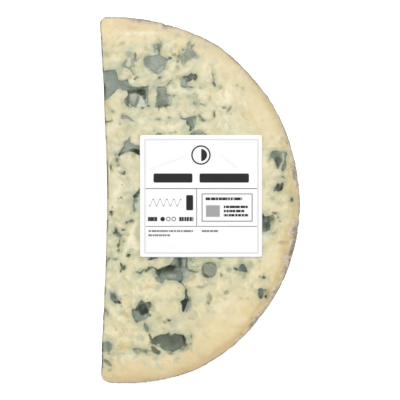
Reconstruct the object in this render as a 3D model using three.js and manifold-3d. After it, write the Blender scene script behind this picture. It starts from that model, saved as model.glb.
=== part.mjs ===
// Half-moon slice of a mould-ripened blue cheese, with a square paper label.
// Millimetres, +Z up. The slice lies on one of its cut faces; the other cut face looks up.
// +X points from the straight cut side to the rounded rind, +Y along the straight cut.
// The origin is the centre of the bounding box on the surface that the slice lies on.

import * as THREE from 'three';
import { mergeVertices } from 'three/addons/utils/BufferGeometryUtils.js';
import Module from 'manifold-3d';

// ---------------------------------------------------------------- sizes
const THICKNESS = 25;                 // height of the slice
const WHEEL_CENTRE = [-31.9, -0.65];  // centre of the round wheel the slice was cut from
// radii of the rind about that centre, every 18 degrees from -90 to 90
const RIM_RADII = [65.6, 66.7, 67.8, 67.8, 67.95, 67.85, 67.6, 67.85, 67.95, 67.1, 66.6];

const CUT_X = -33.5;                  // straight cut at its deepest point
const CUT_Y = 3.8;                    // where the cut is deepest
const CUT_REACH = 64.8;               // half length over which the hollow is measured
const CUT_HOLLOW_TOP = 2.75;          // how far the +Y end stands proud of the hollow
const CUT_HOLLOW_LOW = 2.1;           // the same at the -Y end
const CORNER_TOP = 2.6;               // corner rounding at the +Y end
const CORNER_LOW = 4.4;               // corner rounding at the -Y end

const EDGE = 0.7;                     // rounding of the upper and lower edges
const BULGE = 0.15;                   // how far the sides swell at mid height
const WAVE = 0.2;                     // unevenness of the rind
const RIM_POINTS = 68;                // points along the rind
const CUT_POINTS = 20;                // points along the cut

const LABEL_SIZE = 44;                // square label
const LABEL_CORNER = 0.8;
const LABEL_THICKNESS = 0.3;
const LABEL_GAP = 0.3;                // between the face and the label
const LABEL_AT = [0.35, 1.6];

// Openings of the upper cut face, lined with mould.
// name, x, y, half length, half width, turn (degrees), squareness, taper, depth
const PITS = [
  ['pocket', -15.3, 55.3, 1.6, 1.4, 0, 2.6, 0, 1.6],
  ['heart', -15.8, 49.9, 4.8, 2.8, -3, 2.0, 0, 2.6],
  ['heart', -15.4, 48.0, 3.3, 2.4, -15, 2.1, 0.1, 2.6],
  ['heart', -19.2, 50.3, 1.5, 1.8, 0, 2.3, 0, 2.6],
  ['lake', -33.1, 41.9, 5.6, 3.7, -92, 2.7, 0.3, 3.0],
  ['lake', -27.9, 41.7, 3.4, 1.9, -14, 2.5, 0.15, 3.0],
  ['channel', -23.2, 39.8, 2.9, 0.9, -6, 2.4, 0, 3.6],
  ['channel', -21.4, 39.6, 3.0, 0.9, 3, 2.4, 0, 4.2],
  ['channel', -19.2, 37.3, 2.7, 0.7, -82, 2.4, 0.2, 3.0],
  ['curd', -22.9, 36.3, 3.4, 2.4, 0, 2.8, 0, 2.4],
  ['square', -13.2, 37.1, 3.7, 2.4, -88, 4.0, -0.05, 2.6],
  ['square', -13.0, 34.2, 2.7, 0.7, 4, 3, 0, 2.6],
  ['shore', -3.9, 54.3, 3.2, 1.3, -97, 2, -0.45, 2.0],
  ['shore', -4.9, 51.4, 3.4, 1.6, 28, 2.2, 0, 2.2],
  ['shore', -2.1, 52.2, 1.6, 0.8, -28, 2.2, 0, 2.0],
  ['bow', -4.5, 44.4, 3.1, 1.0, 8, 2.2, -0.1, 3.0],
  ['bow', -2.1, 44.5, 1.2, 1.3, 0, 2.3, 0, 3.4],
  ['bow', -5.7, 42.4, 1.5, 1.3, -35, 2.2, 0, 2.2],
  ['funnel', -3.2, 28.3, 2.4, 1.9, -96, 3.0, 0.55, 2.8],
  ['sill', -1.1, 23.9, 3.0, 1.5, 2, 2.2, 0, 2.4],
  ['star', -25.1, 19.2, 3.3, 1.9, -12, 2.2, 0, 2.8],
  ['star', -22.4, 18.3, 2.0, 1.4, -8, 3, 0, 3.6],
  ['star', -28.2, 17.0, 2.0, 0.6, 50, 2, 0.0, 2.0],
  ['hook', -22.9, 2.1, 1.9, 0.9, 46, 2.3, 0.2, 3.0],
  ['hook', -23.0, 0.1, 1.3, 0.8, 0, 2.2, 0, 1.8],
  ['chip', -32.0, -4.6, 1.0, 0.6, -65, 2.2, 0.3, 1.6],
  ['bird', -30.4, -10.8, 1.4, 0.6, -82, 2.2, -0.3, 2.2],
  ['bird', -29.2, -12.3, 1.4, 0.8, -22, 2.2, 0.2, 1.8],
  ['pepper', -25.7, -19.7, 0.8, 0.7, 0, 2.2, 0, 1.6],
  ['shard', -27.4, -24.1, 0.8, 0.8, 0, 2.2, 0, 1.6],
  ['basin', -10.9, -26.7, 5.0, 2.3, -2, 2.8, 0, 3.2],
  ['basin', -14.2, -28.7, 1.2, 0.8, -70, 2.2, 0.3, 2.0],
  ['basin', -7.3, -29.0, 1.2, 0.7, 20, 2, 0, 1.8],
  ['basin', -13.1, -25.1, 2.6, 0.8, 14, 2.4, 0, 4.2],
  ['basin', -9.9, -24.2, 2.0, 0.7, 2, 2.4, 0, 4.4],
  ['chimney', -7.1, -21.9, 1.9, 0.9, -88, 3, 0, 3.0],
  ['disc', 3.3, -24.9, 2.7, 2.7, 0, 2.1, 0, 2.2],
  ['fly', 15.3, -23.8, 1.5, 1.1, 30, 2.2, 0, 2.0],
  ['fly', 16.3, -25.2, 0.7, 0.9, 0, 2.2, 0, 2.0],
  ['bean', 21.9, -33.4, 1.8, 1.1, -86, 2.5, 0, 2.2],
  ['wedge', -31.1, -34.7, 1.7, 0.9, -52, 2.3, 0, 2.0],
  ['pent', -20.8, -38.8, 2.5, 2.0, -60, 2.8, 0, 4.2],
  ['pent', -21.7, -41.0, 2.7, 2.3, 35, 2.4, 0, 2.6],
  ['pent', -20.7, -36.6, 1.3, 0.7, -5, 2.3, 0, 3.2],
  ['pent', -18.5, -37.6, 1.1, 0.9, 60, 2.3, 0, 2.0],
  ['slot', -4.9, -35.3, 1.0, 0.8, 0, 2.2, 0, 2.4],
  ['slot', -5.8, -36.6, 1.3, 0.8, 30, 2.3, 0, 3.8],
  ['slot', -5.9, -38.6, 1.9, 0.6, -92, 2.3, 0.35, 3.4],
  ['sliver', -19.3, -45.6, 2.0, 0.7, -66, 2.8, 0, 1.6],
  ['pond', -10.4, -51.2, 5.3, 3.2, -2, 2.7, 0, 4.0],
  ['pond', -14.7, -50.3, 3.1, 1.6, 10, 2.4, 0, 3.8],
  ['leech', -16.3, -53.7, 1.4, 0.8, -52, 2.3, 0, 2.0],
  ['ribbon', -22.4, -54.0, 1.7, 0.8, -8, 2.6, 0, 1.4],
  ['edge', -33.3, -52.3, 2.1, 1.4, -12, 2.3, 0, 1.8],
  ['edge', -33.4, -58.4, 1.8, 0.6, -40, 2.3, 0, 1.6],
  ['wing', 27.2, 16.5, 2.3, 1.5, -8, 2.3, 0, 3.0],
  ['wing', 28.2, 14.1, 2.4, 1.3, -84, 2.4, 0.45, 3.4],
  ['wing', 30.7, 14.4, 2.6, 0.8, -86, 2.3, 0, 2.2],
  ['blot', 28.5, 4.7, 1.7, 1.2, 20, 2.6, 0, 3.0],
  ['knot', 23.1, -6.7, 0.7, 1.4, 0, 2.4, 0, 2.4],
  ['knot', 24.0, -9.3, 1.2, 2.0, -12, 2.4, 0, 3.0],
  ['knot', 24.8, -6.5, 0.9, 1.6, -8, 2.2, 0, 2.4],
];

// Openings scattered over the under face and over the straight cut side.
const UNDER_PITS = 20;
const UNDER_SEED = 7;
const SIDE_PITS = 13;
const SIDE_SEED = 3;

// ---------------------------------------------------------------- outline
// A repeatable sequence of numbers between 0 and 1.
function sequence(seed) {
  let s = (seed * 7919 + 12345) % 2147483647;
  return () => {
    s = (s * 48271) % 2147483647;
    return s / 2147483647;
  };
}

// Smooth value between equally spaced samples (Catmull-Rom).
function between(samples, t) {
  const last = samples.length - 1;
  const at = Math.min(Math.max(t, 0), 1) * last;
  const i = Math.min(Math.floor(at), last - 1);
  const f = at - i;
  const p = (k) => samples[Math.min(Math.max(k, 0), last)];
  const [a, b, c, d] = [p(i - 1), p(i), p(i + 1), p(i + 2)];
  return b + 0.5 * f * (c - a + f * (2 * a - 5 * b + 4 * c - d + f * (3 * (b - c) + d - a)));
}

const rimRadius = (degrees) => between(RIM_RADII, (degrees + 90) / 180);

function rimPoint(degrees) {
  const a = THREE.MathUtils.degToRad(degrees);
  const r = rimRadius(degrees);
  return new THREE.Vector2(WHEEL_CENTRE[0] + r * Math.cos(a), WHEEL_CENTRE[1] + r * Math.sin(a));
}

function cutX(y) {
  const t = (y - CUT_Y) / CUT_REACH;
  return CUT_X - (t > 0 ? CUT_HOLLOW_TOP : CUT_HOLLOW_LOW) * Math.abs(t) ** 1.5;
}

// Angle at which the rim meets the cut, near the given end.
function rimEnd(sign) {
  let lo = 60, hi = 100;
  for (let i = 0; i < 40; i++) {
    const mid = (lo + hi) / 2;
    const p = rimPoint(sign * mid);
    if (p.x > cutX(p.y)) lo = mid; else hi = mid;
  }
  return sign * lo;
}

function outline() {
  const low = rimEnd(-1), top = rimEnd(1);
  const lowAt = rimPoint(low), topAt = rimPoint(top);
  const rimDegreesPerMm = 1 / (THREE.MathUtils.degToRad(1) * 67.5);
  const lowStart = low + CORNER_LOW * rimDegreesPerMm;
  const topEnd = top - CORNER_TOP * rimDegreesPerMm;
  const points = [];
  for (let i = 0; i <= RIM_POINTS; i++) {
    points.push(rimPoint(lowStart + (topEnd - lowStart) * i / RIM_POINTS));
  }
  const topCut = new THREE.Vector2(cutX(topAt.y - CORNER_TOP), topAt.y - CORNER_TOP);
  const lowCut = new THREE.Vector2(cutX(lowAt.y + CORNER_LOW), lowAt.y + CORNER_LOW);
  points.push(...new THREE.QuadraticBezierCurve(rimPoint(topEnd), topAt, topCut).getPoints(5).slice(1, -1));
  for (let i = 0; i <= CUT_POINTS; i++) {
    const y = topCut.y + (lowCut.y - topCut.y) * i / CUT_POINTS;
    points.push(new THREE.Vector2(cutX(y), y));
  }
  points.push(...new THREE.QuadraticBezierCurve(lowCut, lowAt, rimPoint(lowStart)).getPoints(6).slice(1, -1));
  return points;
}

// ---------------------------------------------------------------- solids
// A closed skin over rings of equally many points, listed from the bottom up,
// each ring counter-clockwise seen from above.
function skin(rings) {
  const count = rings[0].length;
  const positions = rings.flat().flatMap((p) => [p.x, p.y, p.z]);
  const index = [];
  for (let r = 0; r + 1 < rings.length; r++) {
    for (let i = 0; i < count; i++) {
      const j = (i + 1) % count;
      const [a, b, c, d] = [r * count + i, r * count + j, (r + 1) * count + j, (r + 1) * count + i];
      index.push(a, b, c, a, c, d);
    }
  }
  const flat = rings[0].map((p) => new THREE.Vector2(p.x, p.y));
  const flatTop = rings.at(-1).map((p) => new THREE.Vector2(p.x, p.y));
  const start = (rings.length - 1) * count;
  for (const [a, b, c] of THREE.ShapeUtils.triangulateShape(flat, [])) index.push(a, c, b);
  for (const [a, b, c] of THREE.ShapeUtils.triangulateShape(flatTop, [])) index.push(start + a, start + b, start + c);
  const geometry = new THREE.BufferGeometry();
  geometry.setAttribute('position', new THREE.Float32BufferAttribute(positions, 3));
  geometry.setIndex(index);
  return geometry;
}

// Outline moved inwards by `inset`, with the outward normal at each point.
function ring(points, inset, z, swell) {
  const count = points.length;
  return points.map((p, i) => {
    const before = points[(i + count - 1) % count], after = points[(i + 1) % count];
    const along = after.clone().sub(before).normalize();
    const out = new THREE.Vector2(along.y, -along.x);
    const angle = Math.atan2(p.y - WHEEL_CENTRE[1], p.x - WHEEL_CENTRE[0]);
    const onRind = Math.max(0, out.x);
    const uneven = onRind * WAVE * (Math.sin(9 * angle + 0.21 * z) + 0.6 * Math.sin(23 * angle - 0.35 * z)) * 0.5;
    const move = swell * (BULGE + uneven) - BULGE - inset;
    return new THREE.Vector3(p.x + out.x * move, p.y + out.y * move, z);
  });
}

function sliceBody() {
  const points = outline();
  return skin([
    ring(points, EDGE, 0, 0),
    ring(points, 0, EDGE, 0.2),
    ring(points, 0, THICKNESS * 0.33, 1),
    ring(points, 0, THICKNESS * 0.66, 1),
    ring(points, 0, THICKNESS - EDGE, 0.2),
    ring(points, EDGE, THICKNESS, 0),
  ]);
}

// Closed bowl with its mouth up, its mouth plane at z = 0 and a short collar above it.
function bowl(halfLength, halfWidth, squareness, taper, depth, seed) {
  const random = sequence(seed);
  const count = halfLength * halfWidth > 4 ? 12 : 8;
  const wobble = Array.from({ length: count }, () => 1 + 0.12 * (random() - 0.5));
  const level = (z, scale) => wobble.map((w, i) => {
    const a = 2 * Math.PI * i / count;
    const c = Math.cos(a), s = Math.sin(a);
    const u = Math.sign(c) * Math.abs(c) ** (2 / squareness);
    const v = Math.sign(s) * Math.abs(s) ** (2 / squareness) * (1 - taper * u);
    return new THREE.Vector3(halfLength * u * w * scale, halfWidth * v * w * scale, z);
  });
  return skin([level(-depth, 0.6), level(-depth * 0.6, 0.92), level(1.2, 1.04)]);
}

const wasm = await Module();
wasm.setup();

// A three.js geometry as a solid for cutting and joining.
function solid(geometry) {
  const bare = geometry.clone();
  bare.deleteAttribute('normal');
  bare.deleteAttribute('uv');
  const merged = mergeVertices(bare, 1e-4);
  return new wasm.Manifold(new wasm.Mesh({
    numProp: 3,
    vertProperties: new Float32Array(merged.attributes.position.array),
    triVerts: new Uint32Array(merged.index.array),
  }));
}

function geometryOf(manifold) {
  const mesh = manifold.getMesh();
  const geometry = new THREE.BufferGeometry();
  geometry.setAttribute('position', new THREE.BufferAttribute(new Float32Array(mesh.vertProperties), 3));
  geometry.setIndex(new THREE.BufferAttribute(new Uint32Array(mesh.triVerts), 1));
  geometry.computeVertexNormals();
  return geometry;
}

const rad = THREE.MathUtils.degToRad;

function upperPits() {
  return PITS.map(([, x, y, a, b, turn, squareness, taper, depth], i) =>
    bowl(a, b, squareness, taper, depth, i + 1)
      .rotateZ(rad(turn))
      .translate(x, y, THICKNESS));
}

// Places for scattered openings, kept apart from each other and from the edges.
function scatter(count, seed, inside, apart) {
  const random = sequence(seed);
  const places = [];
  for (let tries = 0; places.length < count && tries < 4000; tries++) {
    const p = inside(random(), random());
    if (p && places.every((q) => Math.hypot(p[0] - q[0], p[1] - q[1]) > apart)) places.push(p);
  }
  return { places, random };
}

function underPits() {
  const inside = (s, t) => {
    const x = -32 + 66 * s, y = -62 + 124 * t;
    const dx = x - WHEEL_CENTRE[0], dy = y - WHEEL_CENTRE[1];
    const clearOfRim = Math.hypot(dx, dy) < 58;
    const clearOfRest = Math.hypot(x + 3, y) > 9;   // leaves a plain patch to stand on
    return clearOfRim && clearOfRest ? [x, y] : null;
  };
  const { places, random } = scatter(UNDER_PITS, UNDER_SEED, inside, 12);
  return places.map(([x, y], i) => {
    const a = 1.2 + 3.2 * random() ** 2, b = a * (0.45 + 0.5 * random());
    return bowl(a, b, 2.1 + random(), 0.3 * random(), 1.4 + 0.5 * b, 100 + i)
      .rotateX(Math.PI)
      .rotateZ(2 * Math.PI * random())
      .translate(x, y, 0);
  });
}

function sidePits() {
  const inside = (s, t) => [-58 + 114 * s, 4.5 + 14 * t];
  const { places, random } = scatter(SIDE_PITS, SIDE_SEED, inside, 8);
  return places.map(([y, z], i) => {
    const a = 1.1 + 2.4 * random() ** 2, b = a * (0.45 + 0.45 * random());
    return bowl(a, b, 2.2, 0.3 * random(), 1.3 + 0.6 * b, 200 + i)
      .rotateZ(Math.PI * random())
      .rotateY(-Math.PI / 2)
      .translate(cutX(y) - 0.1, y, z);
  });
}

// ---------------------------------------------------------------- assembly
let slice = solid(sliceBody());
for (const pit of [...upperPits(), ...underPits(), ...sidePits()]) slice = slice.subtract(solid(pit));

const labelShape = new THREE.Shape();
{
  const h = LABEL_SIZE / 2, r = LABEL_CORNER;
  labelShape.moveTo(-h + r, -h);
  labelShape.lineTo(h - r, -h);
  labelShape.absarc(h - r, -h + r, r, -Math.PI / 2, 0);
  labelShape.lineTo(h, h - r);
  labelShape.absarc(h - r, h - r, r, 0, Math.PI / 2);
  labelShape.lineTo(-h + r, h);
  labelShape.absarc(-h + r, h - r, r, Math.PI / 2, Math.PI);
  labelShape.lineTo(-h, -h + r);
  labelShape.absarc(-h + r, -h + r, r, Math.PI, 1.5 * Math.PI);
}
const labelGeometry = new THREE.ExtrudeGeometry(labelShape, {
  depth: LABEL_THICKNESS, bevelEnabled: false, curveSegments: 5,
});

const cheese = new THREE.Mesh(
  geometryOf(slice),
  new THREE.MeshStandardMaterial({ color: 0xe5d9b0, roughness: 0.5, metalness: 0 }),
);
cheese.name = 'cheese_slice';

const label = new THREE.Mesh(
  labelGeometry,
  new THREE.MeshStandardMaterial({ color: 0xf8f8f6, roughness: 0.45, metalness: 0 }),
);
label.name = 'label';
label.position.set(LABEL_AT[0], LABEL_AT[1], THICKNESS + LABEL_GAP);

const group = new THREE.Group();
group.add(cheese, label);

// The origin sits under the centre of the box round the slice.
cheese.geometry.computeBoundingBox();
const box = cheese.geometry.boundingBox;
group.position.set(-(box.min.x + box.max.x) / 2, -(box.min.y + box.max.y) / 2, -box.min.z);

export default group;
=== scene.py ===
# Half-moon slice of a mould-ripened blue cheese with a square paper label.
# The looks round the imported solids: paste, mould-lined openings, rind and printed label.
import math
import bpy
import numpy as np
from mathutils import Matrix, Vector
from mathutils.geometry import delaunay_2d_cdt
from mathutils.kdtree import KDTree


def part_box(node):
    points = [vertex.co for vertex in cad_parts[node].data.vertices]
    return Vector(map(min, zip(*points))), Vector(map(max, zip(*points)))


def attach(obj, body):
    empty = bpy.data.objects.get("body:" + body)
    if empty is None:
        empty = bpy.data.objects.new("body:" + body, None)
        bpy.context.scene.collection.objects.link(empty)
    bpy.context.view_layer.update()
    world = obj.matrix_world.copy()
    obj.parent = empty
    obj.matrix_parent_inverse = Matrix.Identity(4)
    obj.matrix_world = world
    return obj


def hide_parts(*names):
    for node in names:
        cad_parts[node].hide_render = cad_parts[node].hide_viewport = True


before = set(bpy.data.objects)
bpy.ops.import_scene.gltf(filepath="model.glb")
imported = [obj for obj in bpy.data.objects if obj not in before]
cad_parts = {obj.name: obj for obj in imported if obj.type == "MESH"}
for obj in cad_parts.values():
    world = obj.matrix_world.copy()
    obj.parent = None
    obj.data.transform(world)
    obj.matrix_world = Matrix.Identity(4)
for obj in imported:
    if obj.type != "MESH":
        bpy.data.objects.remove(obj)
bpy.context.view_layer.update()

MM = 0.001

# ------------------------------------------------------------------ sizes, in mm
THICKNESS = 25.0
SHIFT = np.array([-0.0725, 0.1637])        # from the slice's own centre to the frame's origin
WHEEL = np.array([-31.9, -0.65])           # centre of the round wheel
RIM_RADII = [65.6, 66.7, 67.8, 67.8, 67.95, 67.85, 67.6, 67.85, 67.95, 67.1, 66.6]
CUT_X, CUT_Y, CUT_REACH = -33.5, 3.8, 64.8
CUT_TOP, CUT_LOW = 2.75, 2.1
CORNER_TOP, CORNER_LOW = 2.6, 4.4
LABEL_AT, LABEL_SIZE, LABEL_CORNER = (0.36, 1.62), 44.0, 0.8

# Small openings and dots of the upper face. Each line is one lobe:
# name, x, y, half length, half width, turn (degrees), squareness, taper, bend, tone, depth, olive
# tone 0 is black-green, 0.5 grey, 0.8 pale blue-grey, 1 near paste; olive 0 is blue-grey, 1 yellow-green
LOBES = [
    ("heart_dot", -10.87, 51.23, 0.76, 0.58, 6, 2, 0, 0, 0.28, 0.9, 0.2),
    ("dot_d", -14.47, 44.24, 0.61, 0.4, 5, 2, 0, 0, 0.3, 0.8, 0.2),
    ("stroke", 4.79, 43.74, 2.74, 0.4, -80, 2, 0, 0, 0.84, 1, 0.4),
    ("stroke", 5.11, 41.8, 1.01, 0.5, -68, 2, 0, 0, 0.36, 1.4, 0.2),
    ("stroke", 4.61, 45.18, 0.65, 0.4, -80, 2, 0, 0, 0.7, 1, 0.5),
    ("stroke", 7.34, 40.72, 0.4, 0.36, 0, 2, 0, 0, 0.82, 0.3, 0.6),
    ("dot_f", 0.14, 40.64, 0.54, 0.36, 5, 2, 0, 0, 0.74, 0.4, 0.7),
    ("faint_g", -1.8, 36.9, 1.94, 0.94, -72, 2, 0, 0, 0.9, 0.5, 0.5),
    ("faint_g", -1.69, 34.99, 0.79, 0.65, 0, 2, 0, 0, 0.66, 0.7, 0.5),
    ("faint_g", 0.65, 34.67, 0.79, 0.32, 0, 2, 0, 0, 0.5, 0.6, 0.7),
    ("comma", 5.26, 30.92, 1.04, 0.4, -82, 2, 0, 0, 0.46, 1.2, 0.5),
    ("claw", 8.93, 33.37, 0.94, 0.4, -6, 2, 0, 0, 0.62, 0.4, 0.5),
    ("claw", 10.4, 32.8, 0.72, 0.54, 50, 2, 0, 0, 0.5, 0.5, 0.6),
    ("funnel_r", 1.15, 29.12, 0.9, 0.68, -36, 2, 0, 0, 0.36, 0.6, 1),
    ("crack", -32.9, 28.4, 1.66, 0.25, 18, 2, 0, 0, 0.26, 1, 0.6),
    ("dot_h", -31.46, 32.08, 0.83, 0.36, -35, 2, 0, 0, 0.64, 0.6, 1),
    ("dot_i", -18.5, 34.16, 0.61, 0.43, 15, 2, 0, 0, 0.32, 0.8, 0.5),
    ("dot_j", -20.74, 33.23, 0.47, 0.32, 0, 2, 0, 0, 0.34, 0.7, 0.7),
    ("dot_k", -15.12, 29.27, 0.94, 0.36, -15, 2, 0, 0, 0.54, 0.6, 0.5),
    ("dot_l", -11.2, 29.95, 0.4, 0.4, 0, 2, 0, 0, 0.42, 0.5, 0.7),
    ("under_n", -14.83, 23.72, 1.08, 0.65, 0, 2, 0, 0, 0.76, 1.2, 0),
    ("dot_m", -29.88, 14.58, 0.65, 0.83, -10, 2, 0, 0, 0.38, 0.8, 0.6),
    ("dot_n", -29.52, 12.78, 0.76, 0.58, 0, 2, 0, 0, 0.6, 0.4, 0.9),
    ("dot_o", -31.97, 11.92, 1.01, 0.4, -80, 2, 0, 0, 0.34, 0.8, 0.9),
    ("dot_p", -28.01, 9.9, 0.79, 0.43, 8, 2, 0, 0, 0.42, 0.7, 0.6),
    ("pair_r", -26.28, -7.85, 0.5, 0.43, 30, 2, 0, 0, 0.26, 1, 0.7),
    ("pair_r", -24.7, -7.38, 0.72, 0.61, 10, 2, 0, 0, 0.48, 1.1, 0.3),
    ("pair_r", -25.56, -7.6, 0.94, 0.32, 5, 2, 0, 0, 0.5, 0.8, 0.2),
    ("dot_s", -27.58, -10.58, 0.65, 0.36, -8, 2, 0, 0, 0.26, 1, 0.6),
    ("trail", -28.94, -14.94, 1.94, 0.36, -92, 2, 0, 0, 0.64, 0.5, 0.8),
    ("trail", -29.38, -16.24, 0.58, 0.72, 0, 2, 0, 0, 0.34, 0.8, 0.95),
    ("trail", -29.27, -17.96, 0.5, 0.61, 0, 2, 0, 0, 0.34, 0.8, 0.9),
    ("trail", -27.36, -14.72, 0.54, 0.43, 0, 2, 0, 0, 0.52, 0.5, 1),
    ("pepper", -25.52, -19.73, 0.68, 0.65, 0, 2, 0, 0, 0.24, 1.6, 0.9),
    ("pair_t", -32.8, -21.02, 0.47, 0.58, 0, 2, 0, 0, 0.36, 1, 0.3),
    ("pair_t", -30.56, -21.02, 0.83, 0.54, 0, 2, 0, 0, 0.58, 0.9, 0.2),
    ("dot_u", -28.51, 1.19, 0.43, 0.29, 0, 2, 0, 0, 0.36, 0.6, 0.9),
    ("dot_x", 22.9, -27.9, 0.58, 0.43, 8, 2, 0, 0, 0.12, 1.2, 0.8),
    ("dot_y", 7.56, -26.89, 0.4, 0.58, 0, 2, 0, 0, 0.44, 0.6, 0.8),
    ("bean_r", 23.76, -34.6, 0.47, 0.68, 0, 2, 0, 0, 0, 1.4, 0.8),
    ("bean_r", 23.47, -32.44, 0.47, 0.36, 0, 2, 0, 0, 0.2, 0.9, 1),
    ("olive_z", 3.53, -34.74, 1.15, 0.5, -96, 2, 0, 0, 0.72, 0.6, 0.95),
    ("olive_y", 9.43, -33.08, 0.79, 0.65, 0, 2, 0, 0, 0.78, 0.7, 1),
    ("olive_x", 0, -31, 1.15, 0.32, 2, 2, 0, 0, 0.68, 0.3, 0.9),
    ("dot_v", -11.2, -43.06, 0.68, 0.4, 0, 2, 0, 0, 0.24, 0.9, 0.6),
    ("dot_w", -12.82, -43.88, 0.47, 0.29, 0, 2, 0, 0, 0.56, 0.4, 0.7),
    ("tick", -18.22, -41.29, 0.58, 0.25, -5, 2, 0, 0, 0.46, 0.6, 0.6),
    ("edge_b", -33.34, -58.5, 1.8, 0.68, -42, 2, 0, 0, 0.62, 1.2, 0.8),
    ("edge_c", -32.54, -61.16, 0.86, 0.4, 24, 2, 0, 0, 0.7, 0.4, 1),
    ("edge_d", -33.77, -40, 1.37, 0.54, -68, 2, 0, 0, 0.6, 0.8, 0.2),
    ("dots_bt", -3.17, -49.07, 0.32, 0.58, 0, 2, 0, 0, 0.42, 0.7, 1),
    ("dots_bt", -3.28, -51.59, 0.32, 0.4, 0, 2, 0, 0, 0.36, 0.6, 1),
    ("dots_bt", -6.37, -53.75, 0.79, 0.43, 10, 2, 0, 0, 0.66, 0.8, 1),
    ("dots_bt", -10.51, -55.12, 1.08, 0.32, 5, 2, 0, 0, 0.56, 0.5, 1),
    ("dot_r1", 29.88, 8.6, 0.68, 0.4, -30, 2, 0, 0, 0.44, 0.8, 0.95),
    ("dot_r2", 33.08, 0.18, 0.65, 0.79, 0, 2, 0, 0, 0.36, 1.2, 0.7),
    ("knot_r", 26.78, -4.57, 1.01, 0.36, -10, 2, 0, 0, 0.5, 0.7, 0.8),
    ("knot_r", 28.08, -6.08, 0.47, 0.43, 0, 2, 0, 0, 0.5, 0.7, 1),
    ("knot_r", 28.8, -7.52, 0.36, 0.29, 0, 2, 0, 0, 0.56, 0.4, 1),
    ("line_s", 26.5, -11.56, 1.08, 0.4, 24, 2, 0, 0, 0.78, 0.2, 1),
    ("line_t", 25.88, 1.4, 0.86, 0.32, -60, 2, 0, 0, 1.06, 0.4, 0.9),
    ("left_a", -23.33, 51.95, 0.58, 0.94, 6, 2, 0, 0, 0.4, 0.6, 0.4),
    ("left_a", -23.47, 50.58, 0.86, 0.65, 0, 2, 0, 0, 0.46, 0.6, 0.2),
    ("left_a", -24.19, 49.5, 0.5, 0.79, 0, 2, 0, 0, 0.66, 0.4, 0.3),
    ("left_a", -23.9, 48.42, 0.58, 0.5, 0, 2, 0, 0, 0.66, 0.5, 0.9),
    ("left_a", -22.25, 51.01, 0.36, 0.58, 0, 2, 0, 0, 0.72, 0.4, 0.2),
    ("left_vein", -24.77, 46.55, 1.01, 0.27, -62, 2, 0, 0, 0.4, 0.7, 0.3),
    ("left_vein", -24.05, 45.47, 0.43, 0.32, -40, 2, 0, 0, 0.42, 0.6, 0.4),
    ("dot_c", -23.44, 43.6, 0.54, 0.36, 20, 2, 0, 0, 0.52, 0.6, 0.5),
    ("dot_c", -22.72, 44.21, 0.5, 0.4, 40, 2, 0, 0, 0.38, 0.7, 0.5),
    ("vein_e", -11.23, 42.34, 0.94, 0.29, 42, 2, 0, 0, 0.6, 0.5, 0.8),
    ("vein_e", -10.15, 43.27, 0.58, 0.29, 42, 2, 0, 0, 0.62, 0.4, 0.8),
    ("vein_e", -12.13, 41.44, 0.58, 0.25, 35, 2, 0, 0, 0.66, 0.3, 0.8),
    ("shore_dot", -6.12, 54.18, 0.65, 0.47, 10, 2, 0, 0, 0.5, 0.5, 0.3),
    ("shore_dot", -2.52, 55.62, 0.47, 0.94, -24, 2, 0, 0, 0.52, 0.5, 0.8),
    ("shore_dot", -7.56, 51.88, 0.65, 0.72, 0, 2, 0, 0, 0.46, 0.6, 0.6),
    ("shore_dot", -9.14, 52.45, 0.79, 0.58, 0, 2, 0, 0, 0.66, 0.4, 0.9),
    ("shore_dot", -8.06, 50.22, 0.65, 0.65, 0, 2, 0, 0, 0.62, 0.5, 0.3),
    ("shore_dot", -8.21, 47.7, 0.58, 0.65, 0, 2, 0, 0, 0.8, 0.3, 0.6),
    ("shore_dot", -10.22, 53.64, 0.36, 0.72, 10, 2, 0, 0, 0.86, 0.3, 0.9),
    ("funnel_r", 0.14, 30.13, 0.86, 0.65, -32, 2, 0, 0, 0.44, 0.6, 1),
    ("funnel_r", -0.07, 29.12, 0.58, 0.43, -30, 2, 0, 0, 0.66, 0.4, 0.9),
    ("dash", -18.07, -48.78, 0.86, 0.34, -58, 2, 0, 0, 0.34, 0.8, 0.4),
    ("dash", -17.64, -49.72, 0.61, 0.36, -50, 2, 0, 0, 0.24, 0.9, 0.3),
    ("seam", -22.54, -25.92, 0.9, 0.36, -20, 2, 0, 0, 0.5, 0.7, 0.3),
    ("seam", -21.46, -26.17, 0.72, 0.47, 4, 2, 0, 0, 0.34, 0.8, 0.3),
    ("seam", -20.66, -25.38, 0.72, 0.36, 48, 2, 0, 0, 0.36, 0.8, 0.4),
    ("seam", -20.16, -24.88, 0.32, 0.32, 0, 2, 0, 0, 0.56, 0.6, 0.3),
    ("seam", -19.01, -25.02, 0.76, 0.54, 28, 2, 0, 0, 0.28, 0.8, 0.4),
    ("seam", -18.25, -24.41, 0.79, 0.47, 36, 2, 0, 0, 0.2, 0.9, 0.4),
    ("seam", -17.21, -24.01, 0.9, 0.36, -3, 2, 0, 0, 0.28, 0.9, 0.4),
    ("seam", -15.91, -24.66, 0.79, 0.4, -30, 2, 0, 0, 0.22, 1, 0.1),
    ("rings", -3.6, -25.24, 0.94, 0.4, -18, 2, 0, 0, 0.34, 0.8, 0.5),
    ("rings", -2.16, -25.63, 1.01, 0.4, -4, 2, 0, 0, 0.38, 0.8, 0.7),
    ("rings", -0.94, -25.67, 0.5, 0.25, 4, 2, 0, 0, 0.6, 0.5, 0.6),
    ("rings", -2.3, -23.8, 0.86, 0.22, -6, 2, 0, 0, 0.62, 0.6, 0.3),
    ("rings", -0.86, -23.94, 0.65, 0.25, -20, 2, 0, 0, 0.6, 0.5, 0.4),
    ("rings", -3.02, -21.92, 0.29, 1.08, 8, 2, 0, 0, 0.72, 0.5, 0.2),
    ("rings", -0.29, -22.36, 0.29, 0.94, 20, 2, 0, 0, 0.82, 0.3, 0.4),
    ("rings", -3.24, -21.06, 1.22, 0.32, 0, 2, 0, 0, 0.72, 0.6, 0.3),
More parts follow.
